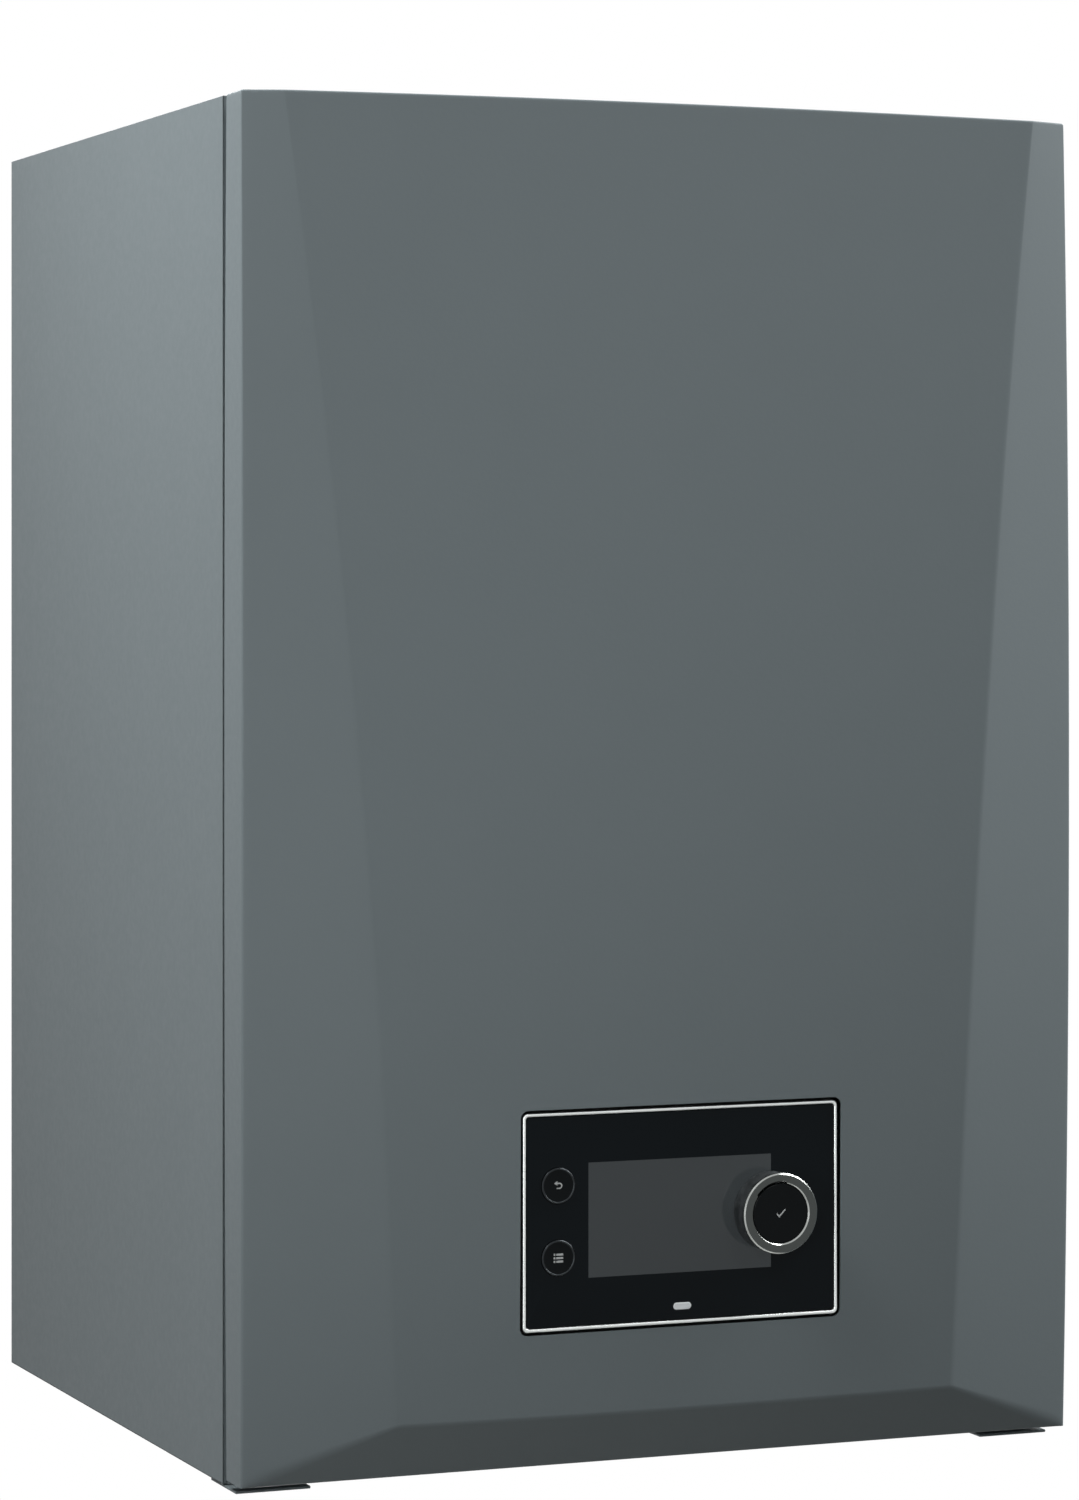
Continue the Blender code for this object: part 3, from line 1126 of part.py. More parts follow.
# Heat exchanger and burner
def heat_exchanger():
    """The cast block with its chamber, outer ribs and two water ports."""
    zs = (EXCHANGER_FLOOR, EXCHANGER_TOP)
    body = rounded_block("heat_exchanger", CAST, (-EXCHANGER_HALF, EXCHANGER_HALF),
                         (EXCHANGER_FRONT_Y, EXCHANGER_BACK_Y), zs, RIB_THICKNESS, "Z", steps=2)
    pitch = EXCHANGER_HEIGHT / (RIB_COUNT + 1)
    for i in range(RIB_COUNT):
        middle = EXCHANGER_FLOOR + pitch * (i + 1)
        if abs(middle - hatch_height()) < HATCH_TALL / 2 + RIB_THICKNESS:
            continue
        rib = EXCHANGER_HALF - RIB_THICKNESS * 2
        join(body, block("rib", CAST, (-rib, rib), (EXCHANGER_FRONT_Y - RIB_PROUD, EXCHANGER_FRONT_Y + BITE),
                         (middle - RIB_THICKNESS / 2, middle + RIB_THICKNESS / 2)))
    for height in (FLOW_PORT_HEIGHT, RETURN_PORT_HEIGHT):
        join(body, rod("port", CAST, PORT_RADIUS, (EXCHANGER_HALF - BITE, PORT_Y, height),
                       (PORT_X, PORT_Y, height)))
    half, deep = CHAMBER_WIDTH / 2, CHAMBER_DEPTH / 2
    return cut(body, block("chamber", CAST, (-half, half),
                           (EXCHANGER_MIDDLE_Y - deep, EXCHANGER_MIDDLE_Y + deep),
                           (zs[0] - OVERRUN, zs[1] + OVERRUN)))


def hatch_height():
    return EXCHANGER_FLOOR + HATCH_TALL


def cleaning_cover():
    """The plate over the cleaning hatch, with its four bolts."""
    half, middle = HATCH_WIDTH / 2, hatch_height()
    back = EXCHANGER_FRONT_Y - GAP
    front = back - HATCH_THICKNESS
    plate = rounded_block("cleaning_cover", CAST, (-half, half), (front, back),
                          (middle - HATCH_TALL / 2, middle + HATCH_TALL / 2), HATCH_THICKNESS, "Y")
    edge = 2 * HATCH_BOLT_RADIUS
    for x in (-half + edge, half - edge):
        for z in (middle - HATCH_TALL / 2 + edge, middle + HATCH_TALL / 2 - edge):
            join(plate, rod("bolt", CAST, HATCH_BOLT_RADIUS, (x, front + BITE, z),
                            (x, front - HATCH_BOLT_HEIGHT, z), sides=6))
    return plate


def exchanger_bracket(side, sign):
    """An angle from the back panel that carries one flank of the heat exchanger."""
    inner = EXCHANGER_HALF + GAP
    middle = (FLOW_PORT_HEIGHT + RETURN_PORT_HEIGHT) / 2
    tall = (FLOW_PORT_HEIGHT - RETURN_PORT_HEIGHT) * HOLDER_HEIGHT_SHARE
    zs = (middle - tall / 2, middle + tall / 2)
    foot_y = BACK_FRONT_Y - GAP
    arm = block(f"exchanger_bracket_{side}", ZINC, (sign * inner, sign * (inner + HOLDER_THICKNESS)),
                (EXCHANGER_FRONT_Y + HOLDER_FRONT_GAP, foot_y), zs)
    return join(arm, block("foot", ZINC, (sign * (inner + BITE), sign * (inner + HOLDER_FOOT)),
                           (foot_y - HOLDER_THICKNESS, foot_y), zs))


def burner_seal():
    xs, ys = (-EXCHANGER_HALF + BURNER_PLATE_EDGE, EXCHANGER_HALF - BURNER_PLATE_EDGE), burner_plate_y()
    zs = (EXCHANGER_TOP + GAP, EXCHANGER_TOP + GAP + SEAL_THICKNESS)
    seal = block("burner_seal", CERAMIC, xs, ys, zs)
    half, deep = CHAMBER_WIDTH / 2, CHAMBER_DEPTH / 2
    return cut(seal, block("inside", CERAMIC, (-half, half),
                           (EXCHANGER_MIDDLE_Y - deep, EXCHANGER_MIDDLE_Y + deep),
                           (zs[0] - OVERRUN, zs[1] + OVERRUN)))


def burner_plate_y():
    return (EXCHANGER_FRONT_Y + BURNER_PLATE_EDGE, EXCHANGER_BACK_Y - BURNER_PLATE_EDGE)


def burner_cover():
    """The burner door with its neck, its sight glass and four bolts."""
    half = EXCHANGER_HALF - BURNER_PLATE_EDGE
    ys, zs = burner_plate_y(), (BURNER_PLATE_FLOOR, BURNER_PLATE_TOP)
    plate = rounded_block("burner_cover", CAST, (-half, half), ys, zs, BURNER_PLATE_THICKNESS, "Z")
    neck_top = BURNER_PLATE_TOP + NECK_HEIGHT
    y = EXCHANGER_MIDDLE_Y
    join(plate,
         rod("neck", CAST, NECK_RADIUS, (0, y, BURNER_PLATE_TOP - BITE), (0, y, neck_top)),
         rod("sight_glass", CAST, SIGHT_RADIUS, (SIGHT_X, y, BURNER_PLATE_TOP - BITE),
             (SIGHT_X, y, BURNER_PLATE_TOP + SIGHT_HEIGHT), sides=16))
    edge = 2 * HATCH_BOLT_RADIUS
    for x in (-half + edge, half - edge):
        for bolt_y in (ys[0] + edge, ys[1] - edge):
            join(plate, rod("bolt", CAST, HATCH_BOLT_RADIUS, (x, bolt_y, BURNER_PLATE_TOP - BITE),
                            (x, bolt_y, BURNER_PLATE_TOP + HATCH_BOLT_HEIGHT), sides=6))
    bore = (BURNER_PLATE_FLOOR - OVERRUN, neck_top + OVERRUN)
    electrode = (BURNER_PLATE_FLOOR - OVERRUN, BURNER_PLATE_TOP + OVERRUN)
    return cut(plate,
               rod("gas_way", CAST, NECK_RADIUS - BURNER_PLATE_EDGE, (0, y, bore[0]), (0, y, bore[1])),
               rod("electrode_hole", CAST, ELECTRODE_RADIUS + GAP, (ELECTRODE_X, y, electrode[0]),
                   (ELECTRODE_X, y, electrode[1])))


def burner_tube():
    """The cup-shaped burner that hangs from the burner door."""
    top = BURNER_PLATE_FLOOR - GAP
    inner = BURNER_RADIUS - BURNER_WALL
    flange = BURNER_RADIUS + BURNER_FLANGE
    profile = [(0, -BURNER_LENGTH + BURNER_WALL), (inner, -BURNER_LENGTH + BURNER_WALL), (inner, 0),
               (flange, 0), (flange, -BURNER_WALL), (BURNER_RADIUS, -BURNER_WALL),
               (BURNER_RADIUS, -BURNER_LENGTH), (0, -BURNER_LENGTH)]
    return turned("burner_tube", STAINLESS, profile, (0, EXCHANGER_MIDDLE_Y, top))


def ignition_electrode():
    """Ceramic body through the burner door, with its wire in the flame."""
    top, low = BURNER_PLATE_TOP + ELECTRODE_RISE, BURNER_PLATE_FLOOR - ELECTRODE_DROP
    rod_radius, seat = ELECTRODE_ROD_RADIUS, BURNER_PLATE_TOP + GAP
    seat_radius = ELECTRODE_RADIUS + SHEET
    profile = [(0, top), (ELECTRODE_RADIUS - BITE, top), (ELECTRODE_RADIUS, top - BITE),
               (ELECTRODE_RADIUS, seat + SHEET), (seat_radius, seat + SHEET), (seat_radius, seat),
               (ELECTRODE_RADIUS, seat), (ELECTRODE_RADIUS, low), (rod_radius, low),
               (rod_radius, low - ELECTRODE_ROD_LENGTH), (0, low - ELECTRODE_ROD_LENGTH)]
    return turned("ignition_electrode", CERAMIC, profile, (ELECTRODE_X, EXCHANGER_MIDDLE_Y, 0), sides=16)


# Fan
def fan_housing():
    """The volute with its outlet box on the burner door's neck and its inlet underneath."""
    zs = (FAN_FLOOR, FAN_TOP)
    outlet_y = (EXCHANGER_MIDDLE_Y - FAN_OUTLET_WIDTH / 2, EXCHANGER_MIDDLE_Y + FAN_OUTLET_WIDTH / 2)
    housing = rod("fan_housing", CAST, FAN_RADIUS, (FAN_X, FAN_Y, zs[0]), (FAN_X, FAN_Y, zs[1]), sides=28)
    join(housing, block("outlet", CAST, (FAN_X, FAN_OUTLET_REACH), outlet_y, (zs[0], zs[1])))
    inner = FAN_RADIUS - FAN_WALL
    inside_z = (zs[0] + FAN_WALL, zs[1] - FAN_WALL)
    cavity = rod("cavity", CAST, inner, (FAN_X, FAN_Y, inside_z[0]), (FAN_X, FAN_Y, inside_z[1]), sides=28)
    join(cavity, block("outlet_way", CAST, (FAN_X, FAN_OUTLET_REACH - FAN_WALL),
                       (outlet_y[0] + FAN_WALL, outlet_y[1] - FAN_WALL), inside_z))
    y = EXCHANGER_MIDDLE_Y
    return cut(housing, cavity,
               rod("inlet", CAST, FAN_INLET_RADIUS, (FAN_X, FAN_Y, zs[0] - OVERRUN),
                   (FAN_X, FAN_Y, inside_z[0] + OVERRUN)),
               rod("outlet_hole", CAST, NECK_RADIUS - BURNER_PLATE_EDGE, (0, y, zs[0] - OVERRUN),
                   (0, y, inside_z[0] + OVERRUN)),
               rod("shaft_hole", CAST, IMPELLER_HUB_RADIUS, (FAN_X, FAN_Y, inside_z[1] - OVERRUN),
                   (FAN_X, FAN_Y, zs[1] + OVERRUN), sides=16))


def fan_impeller():
    """Backplate, swept blades, hub and the shaft that runs up into the motor."""
    low = FAN_FLOOR + FAN_WALL + 2 * IMPELLER_DISC
    disc_low = low + IMPELLER_HEIGHT
    disc_top = disc_low + IMPELLER_DISC
    wheel = rod("fan_impeller", BLACK_PLASTIC, IMPELLER_RADIUS, (FAN_X, FAN_Y, disc_low),
                (FAN_X, FAN_Y, disc_top), sides=28)
    join(wheel,
         rod("hub", BLACK_PLASTIC, IMPELLER_HUB_RADIUS, (FAN_X, FAN_Y, low), (FAN_X, FAN_Y, disc_low + BITE),
             sides=16, end_radius=2 * IMPELLER_HUB_RADIUS),
         rod("shaft", BLACK_PLASTIC, IMPELLER_SHAFT_RADIUS, (FAN_X, FAN_Y, disc_low + BITE),
             (FAN_X, FAN_Y, FAN_TOP + MOTOR_FOOT_HEIGHT), sides=16))
    length = IMPELLER_RADIUS - BLADE_INNER_RADIUS
    for i in range(BLADE_COUNT):
        angle = 2 * math.pi * i / BLADE_COUNT
        blade = block("blade", BLACK_PLASTIC, (-length / 2, length / 2),
                      (-BLADE_THICKNESS / 2, BLADE_THICKNESS / 2), (low, disc_low + BITE))
        middle = (BLADE_INNER_RADIUS + IMPELLER_RADIUS) / 2 - BITE
        blade.location.x = FAN_X + middle * math.cos(angle)
        blade.location.y = FAN_Y + middle * math.sin(angle)
        blade.rotation_euler = (0, 0, angle + BLADE_SWEEP)
        join(wheel, blade)
    return wheel


def fan_motor():
    """The motor can on the fan housing, with a blind bore for the impeller's shaft."""
    foot = FAN_TOP + GAP
    motor = rod("fan_motor", ZINC, MOTOR_FOOT_RADIUS, (FAN_X, FAN_Y, foot),
                (FAN_X, FAN_Y, foot + MOTOR_FOOT_HEIGHT), sides=20)
    top = foot + MOTOR_HEIGHT
    join(motor, rod("can", ZINC, MOTOR_RADIUS, (FAN_X, FAN_Y, foot + MOTOR_FOOT_HEIGHT - BITE),
                    (FAN_X, FAN_Y, top), sides=20))
    return cut(motor, rod("bore", ZINC, IMPELLER_SHAFT_RADIUS + PLAY, (FAN_X, FAN_Y, foot - OVERRUN),
                          (FAN_X, FAN_Y, foot + MOTOR_FOOT_HEIGHT + OVERRUN), sides=16))


# Gas and air
def gas_air_mixer():
    """The elbow from the silencer under the fan, with the inlet for the gas."""
    top = FAN_FLOOR - GAP
    start = SILENCER_INNER_X + GAP
    elbow = tube("gas_air_mixer", BLACK_PLASTIC,
                 [(start, FAN_Y, MIXER_HEIGHT), (FAN_X, FAN_Y, MIXER_HEIGHT), (FAN_X, FAN_Y, top)],
                 MIXER_RADIUS, MIXER_BEND)
    return elbow


def intake_silencer():
    xs, ys = (SILENCER_OUTER_X, SILENCER_INNER_X), (SILENCER_FRONT_Y, SILENCER_BACK_Y)
    top = SILENCER_TOP
    box = rounded_block("intake_silencer", BLACK_PLASTIC, xs, ys, (SILENCER_FLOOR, top), SILENCER_CORNER, "Z")
    middle = (SILENCER_OUTER_X + SILENCER_INNER_X) / 2
    snout_y = SILENCER_BACK_Y - SNOUT_RADIUS * 2
    skin = -(HALF - SHEET - GAP)
    join(box, rod("snout", BLACK_PLASTIC, SNOUT_RADIUS, (middle, snout_y, top - BITE),
                  (middle, snout_y, top + SNOUT_HEIGHT)))
    for height in (SILENCER_FLOOR + SILENCER_CORNER, top - SILENCER_CORNER - SILENCER_CLIP_HEIGHT):
        join(box, block("clip", BLACK_PLASTIC, (skin, SILENCER_OUTER_X + BITE),
                        (ys[0] + 2 * SILENCER_CORNER, ys[0] + 4 * SILENCER_CORNER),
                        (height, height + SILENCER_CLIP_HEIGHT)))
    wall = PLASTIC_WALL
    inside = rounded_block("inside", BLACK_PLASTIC, (xs[0] + wall, xs[1] - wall),
                           (ys[0] + wall, ys[1] - wall), (SILENCER_FLOOR + wall, top - wall),
                           SILENCER_CORNER - wall, "Z")
    return cut(box, inside,
               rod("mouth", BLACK_PLASTIC, SNOUT_RADIUS - wall, (middle, snout_y, top - wall - OVERRUN),
                   (middle, snout_y, top + SNOUT_HEIGHT + OVERRUN)))


def gas_valve():
    """The valve block, its two coils and the feed tube up to the mixer."""
    half_x, half_y = VALVE_WIDTH / 2, VALVE_DEPTH / 2
    top = VALVE_FLOOR + VALVE_HEIGHT
    body = rounded_block("gas_valve", CAST, (VALVE_X - half_x, VALVE_X + half_x),
                         (VALVE_Y - half_y, VALVE_Y + half_y), (VALVE_FLOOR, top), VALVE_CORNER, "Z")
    for x in (VALVE_X - COIL_RADIUS - VALVE_CORNER / 5, VALVE_X + COIL_RADIUS + VALVE_CORNER / 5):
        join(body, rod("coil", CAST, COIL_RADIUS, (x, VALVE_Y, top - BITE), (x, VALVE_Y, top + COIL_HEIGHT)))
    return join(body, rod("feed", CAST, FEED_RADIUS, (FEED_X, FAN_Y, top - BITE),
                          (FEED_X, FAN_Y, MIXER_HEIGHT - MIXER_RADIUS - GAP)))


def stub_end(x, radius, material):
    """The hexagon nut and the closing plug at the lower end of a pipe."""
    low = -STUB_DROP
    nut = rod("nut", material, radius + NUT_OVER_PIPE, (x, PIPE_Y, low + PLUG_HEIGHT),
              (x, PIPE_Y, low + PLUG_HEIGHT + NUT_HEIGHT), sides=6)
    plug = rod("plug", material, radius + BITE, (x, PIPE_Y, low), (x, PIPE_Y, low + PLUG_HEIGHT + BITE))
    return join(nut, plug)


def pipe(name, material, corners, radius, x):
    """A hollow pipe along its route, with its nut and its closing plug under the casing."""
    body = to_mesh(tube(name, material, corners, radius, PIPE_BEND))
    start, second, *others, end = [Vector(corner) for corner in corners]
    mouth = start + (start - second).normalized() * OVERRUN
    bore = tube("bore", material, [mouth, second, *others, end + Vector((0, 0, OVERRUN))], radius - PIPE_WALL,
                PIPE_BEND)
    return cut(join(body, to_mesh(stub_end(x, radius, material))), to_mesh(bore))


def stub_start():
    return -STUB_DROP + PLUG_HEIGHT + BITE


def gas_pipe():
    top = VALVE_FLOOR - GAP
    knee = top - GAS_KNEE_DROP
    low = knee - 2 * PIPE_BEND
    return pipe("gas_pipe", STAINLESS,
                [(VALVE_X, VALVE_Y, top), (VALVE_X, VALVE_Y, knee), (GAS_X, PIPE_Y, low),
                 (GAS_X, PIPE_Y, stub_start())], GAS_RADIUS, GAS_X)


def flow_pipe():
    """From the upper port down to its stub, with its highest point under the air vent."""
    start, side = PORT_X + GAP, FLOW_X
    top, knee = FLOW_PORT_HEIGHT, RETURN_PORT_HEIGHT + 3 * PIPE_BEND
    return pipe("flow_pipe", COPPER,
                [(start, PORT_Y, top), (side, PORT_Y, top), (side, PORT_Y, knee),
                 (side, PIPE_Y, RETURN_PORT_HEIGHT), (side, PIPE_Y, stub_start())], WATER_RADIUS, FLOW_X)


def return_pipe():
    start = PORT_X + GAP
    out = TRAY_WIDTH / 2 + RETURN_CLEARANCE
    top, knee = RETURN_PORT_HEIGHT, TRAY_FLOOR + PIPE_BEND / 2
    return pipe("return_pipe", COPPER,
                [(start, PORT_Y, top), (out, PORT_Y, top), (out, PORT_Y, knee),
                 (RETURN_X, PIPE_Y, RETURN_KNEE_HEIGHT), (RETURN_X, PIPE_Y, stub_start())],
                WATER_RADIUS, RETURN_X)


def air_vent():
    """The float vent on top of the flow pipe, with its cap."""
    foot = FLOW_PORT_HEIGHT + WATER_RADIUS + GAP
    x = (PORT_X + FLOW_X) / 2
    top = foot + VENT_HEIGHT
    cap = top + VENT_CAP_HEIGHT
    profile = [(0, cap), (VENT_CAP_RADIUS, cap), (VENT_CAP_RADIUS, top), (VENT_RADIUS, top),
               (VENT_RADIUS, foot + VENT_HEIGHT / 3), (VENT_RADIUS / 2, foot + VENT_HEIGHT / 4),
               (VENT_RADIUS / 2, foot), (0, foot)]
    return turned("air_vent", BRASS, profile, (x, PORT_Y, 0), sides=20)


def safety_valve():
    """The relief valve on the front of the flow pipe, with its outlet pointing down."""
    back = PIPE_Y - WATER_RADIUS - GAP
    front = back - RELIEF_LENGTH
    z, outlet_y = RELIEF_HEIGHT, back - RELIEF_LENGTH / 2
    body = rod("safety_valve", BRASS, RELIEF_RADIUS, (FLOW_X, back, z), (FLOW_X, front, z))
    return join(body,
                rod("outlet", BRASS, RELIEF_OUTLET_RADIUS, (FLOW_X, outlet_y, z),
                    (FLOW_X, outlet_y, z - RELIEF_OUTLET_LENGTH)))


def safety_valve_knob():
    back = PIPE_Y - WATER_RADIUS - 2 * GAP - RELIEF_LENGTH
    front = back - KNOB_DEPTH
    z = RELIEF_HEIGHT
    knob = rod("safety_valve_knob", RED_PLASTIC, KNOB_RADIUS, (FLOW_X, back, z), (FLOW_X, front, z), sides=24)
    for i in range(KNOB_GRIP_COUNT):
        angle = 2 * math.pi * i / KNOB_GRIP_COUNT
        x, grip_z = FLOW_X + KNOB_RADIUS * math.cos(angle), z + KNOB_RADIUS * math.sin(angle)
        cut(knob, rod("grip", RED_PLASTIC, KNOB_GRIP_RADIUS, (x, back + OVERRUN, grip_z),
                      (x, front - OVERRUN, grip_z), sides=12))
    return knob


def pressure_sensor():
    back = PIPE_Y - WATER_RADIUS - GAP
    shoulder, front = back - GAUGE_LENGTH / 3, back - GAUGE_LENGTH
    sensor = rod("pressure_sensor", BRASS, GAUGE_RADIUS, (RETURN_X, back, GAUGE_HEIGHT),
                 (RETURN_X, shoulder, GAUGE_HEIGHT), sides=6)
    return join(sensor, rod("can", BRASS, GAUGE_CAN_RADIUS, (RETURN_X, shoulder + BITE, GAUGE_HEIGHT),
                            (RETURN_X, front, GAUGE_HEIGHT), sides=16))


def flow_sensor():
    """A clip round the flow pipe with its sensor block."""
    inner = WATER_RADIUS + GAP
    outer = inner + CLIP_WALL
    z, half = RELIEF_HEIGHT - FLOW_SENSOR_DROP, CLIP_HEIGHT / 2
    side, edge = CLIP_SENSOR_SIDE / 2, GAP / 2
    clip = rod("flow_sensor", BLACK_PLASTIC, outer, (FLOW_X, PIPE_Y, z - half), (FLOW_X, PIPE_Y, z + half))
    join(clip, block("sensor", BLACK_PLASTIC, (FLOW_X - side, FLOW_X + side),
                     (PIPE_Y - outer - 2 * side, PIPE_Y - inner - BITE), (z - half + edge, z + half - edge)))
    return cut(clip, rod("bore", BLACK_PLASTIC, inner, (FLOW_X, PIPE_Y, z - half - OVERRUN),
                         (FLOW_X, PIPE_Y, z + half + OVERRUN)))


# Condensate and flue
def condensate_tray():
    """The sump under the exchanger: open above, with the drain below and the flue spigot behind."""
    half = TRAY_WIDTH / 2
    tray = block("condensate_tray", BLACK_PLASTIC, (-half, half), (EXCHANGER_FRONT_Y, TRAY_BACK_Y),
                 (TRAY_FLOOR, TRAY_TOP))
    join(tray,
         rod("drain", BLACK_PLASTIC, DRAIN_RADIUS, (DRAIN_X, DRAIN_Y, TRAY_FLOOR + BITE),
             (DRAIN_X, DRAIN_Y, TRAY_FLOOR - DRAIN_LENGTH)))
    inside_z = (TRAY_FLOOR + TRAY_WALL, TRAY_TOP - TRAY_WALL)
    inside = block("inside", BLACK_PLASTIC, (-half + TRAY_WALL, half - TRAY_WALL),
                   (EXCHANGER_FRONT_Y + TRAY_WALL, TRAY_BACK_Y - TRAY_WALL), inside_z)
    chamber, deep = CHAMBER_WIDTH / 2, CHAMBER_DEPTH / 2
    return cut(tray, inside,
               block("mouth", BLACK_PLASTIC, (-chamber, chamber),
                     (EXCHANGER_MIDDLE_Y - deep, EXCHANGER_MIDDLE_Y + deep),
                     (inside_z[1] - OVERRUN, TRAY_TOP + OVERRUN)),
               rod("flue_hole", BLACK_PLASTIC, FLUE_RADIUS - FLUE_WALL,
                   (0, FLUE_Y, inside_z[1] - OVERRUN), (0, FLUE_Y, TRAY_TOP + OVERRUN), sides=20),
               rod("drain_way", BLACK_PLASTIC, DRAIN_RADIUS - TRAY_WALL,
                   (DRAIN_X, DRAIN_Y, inside_z[0] + OVERRUN),
                   (DRAIN_X, DRAIN_Y, TRAY_FLOOR - DRAIN_LENGTH - OVERRUN), sides=16))


def siphon():
    """The bottle trap under the drain."""
    top = TRAY_FLOOR - DRAIN_LENGTH - GAP
    low = SIPHON_FLOOR
    collar = SIPHON_RADIUS + SIPHON_COLLAR
    shoulder = (low + top) / 2
    profile = [(0, top), (DRAIN_RADIUS + SIPHON_COLLAR, top), (SIPHON_RADIUS, top - SIPHON_COLLAR),
               (SIPHON_RADIUS, shoulder), (collar, shoulder), (collar, shoulder - 2 * SIPHON_COLLAR),
               (SIPHON_RADIUS, shoulder - 2 * SIPHON_COLLAR), (SIPHON_RADIUS, low + SIPHON_COLLAR),
               (SIPHON_RADIUS - SIPHON_COLLAR, low), (0, low)]
    return turned("siphon", WHITE_PLASTIC, profile, (DRAIN_X, DRAIN_Y, 0))


def condensate_pipe():
    start = DRAIN_Y + SIPHON_RADIUS + GAP
    height = SIPHON_OUTLET_HEIGHT
    out_y = PIPE_Y - 3 * CONDENSATE_RADIUS
    return pipe("condensate_pipe", FLUE_PLASTIC,
                [(DRAIN_X, start, height), (DRAIN_X, out_y, height), (CONDENSATE_X, PIPE_Y, height / 2 + GAP),
                 (CONDENSATE_X, PIPE_Y, stub_start())], CONDENSATE_RADIUS, CONDENSATE_X)


def flue_pipe():
    inner = FLUE_RADIUS - FLUE_WALL
    foot = TRAY_TOP + GAP
    profile = [(FLUE_RADIUS, FLUE_TOP), (FLUE_RADIUS, foot), (inner, foot), (inner, FLUE_TOP)]
    return turned("flue_pipe", FLUE_PLASTIC, profile, (0, FLUE_Y, 0), sides=20, closed=True)


def flue_collar():
    """Two sockets in one: flue gas inside, combustion air outside, on a flange over the top panel."""
    foot = CASING_HEIGHT + GAP
    top = CASING_HEIGHT + COLLAR_RISE
    outer, flange = AIR_RADIUS + AIR_WALL, AIR_RADIUS + COLLAR_FLANGE
    low = CASING_HEIGHT - COLLAR_DROP
    ring = turned("flue_collar", FLUE_PLASTIC,
                  [(outer, top), (outer, foot + COLLAR_FLANGE_THICKNESS),
                   (flange, foot + COLLAR_FLANGE_THICKNESS), (flange, foot), (outer, foot), (outer, low),
                   (AIR_RADIUS, low), (AIR_RADIUS, top)],
                  (0, FLUE_Y, 0), sides=28, closed=True)
    socket = FLUE_RADIUS + SOCKET_ROOM
    join(ring, turned("socket", FLUE_PLASTIC,
                      [(socket + SOCKET_WALL, top), (socket + SOCKET_WALL, SOCKET_FLOOR),
                       (socket, SOCKET_FLOOR), (socket, top)], (0, FLUE_Y, 0), sides=28, closed=True))
    reach = (socket + SOCKET_WALL / 2, AIR_RADIUS + AIR_WALL / 2)
    for i in range(COLLAR_WEB_COUNT):
        angle = 2 * math.pi * i / COLLAR_WEB_COUNT + math.pi / 2
        web = block("web", FLUE_PLASTIC, (-(reach[1] - reach[0]) / 2, (reach[1] - reach[0]) / 2),
                    (-COLLAR_WEB / 2, COLLAR_WEB / 2), (low + BITE, foot - BITE))
        middle = (reach[0] + reach[1]) / 2
        web.location.x, web.location.y = middle * math.cos(angle), FLUE_Y + middle * math.sin(angle)
        web.rotation_euler = (0, 0, angle)
        join(ring, web)
    return ring


# Wiring
def cable_gland(side, sign):
    """A gland clamped in the bottom plate, closed by its sealing insert."""
    flange = GLAND_RADIUS + GLAND_FLANGE
    under, over = SHEET, FLOOR_TOP + GAP
    profile = [(0, over + GLAND_RISE), (GLAND_RADIUS, over + GLAND_RISE),
               (GLAND_RADIUS, over + GLAND_RISE / 2), (flange, over + GLAND_RISE / 2), (flange, over),
               (GLAND_RADIUS, over), (GLAND_RADIUS, under), (flange, under), (flange, -GLAND_DROP / 2),
               (GLAND_RADIUS, -GLAND_DROP), (0, -GLAND_DROP)]
    return turned(f"cable_gland_{side}", BLACK_PLASTIC, profile, (sign * GLAND_X, GLAND_Y, 0), sides=20)


def wiring_conduit():
    """The rigid conduit with the wires from the control box up to the fan's motor."""
    height = FAN_TOP + MOTOR_HEIGHT / 2
    end = FAN_X - MOTOR_RADIUS - GAP
    return tube("wiring_conduit", BLACK_PLASTIC,
                [(CONDUIT_X, CONDUIT_Y, BOX_TOP + GAP), (CONDUIT_X, CONDUIT_Y, height),
                 (FAN_X - FAN_RADIUS, CONDUIT_Y, height), (FAN_X - FAN_RADIUS, FAN_Y, height),
                 (end, FAN_Y, height)],
                CONDUIT_RADIUS, CONDUIT_BEND, roundness=2)


def ignition_transformer():
    back = BACK_FRONT_Y - GAP
    return rounded_block("ignition_transformer", BLACK_PLASTIC,
                         (LIGHTER_X - LIGHTER_WIDTH / 2, LIGHTER_X + LIGHTER_WIDTH / 2),
                         (back - LIGHTER_DEPTH, back), (FAN_FLOOR, FAN_FLOOR + LIGHTER_TALL),
                         2 * PLASTIC_WALL, "Z")


def build():
    for side, sign in SIDES:
        side_panel(side, sign)
        cover_tab(side, sign)
        quarter_turn_screw(side, sign)
        control_box_bracket(side, sign)
        exchanger_bracket(side, sign)
        cable_gland(side, sign)
    for make in (top_panel, bottom_plate, back_panel, wall_bracket, front_cover, cover_seal,
                 hmi_frame, hmi_glass, hmi_housing, display_screen, dial_ring, dial_sleeve, confirm_button,
                 status_light, hmi_board, control_box, control_box_lid, main_circuit_board,
                 heat_exchanger, cleaning_cover, burner_seal, burner_cover, burner_tube, ignition_electrode,
                 fan_housing, fan_impeller, fan_motor, gas_air_mixer, intake_silencer, gas_valve, gas_pipe,
                 flow_pipe, return_pipe, air_vent, safety_valve, safety_valve_knob, pressure_sensor,
                 flow_sensor, condensate_tray, siphon, condensate_pipe, flue_pipe, flue_collar,
                 wiring_conduit, ignition_transformer):
        make()
    for name, z in BUTTON_HEIGHTS:
        push_button(name, z)


build()
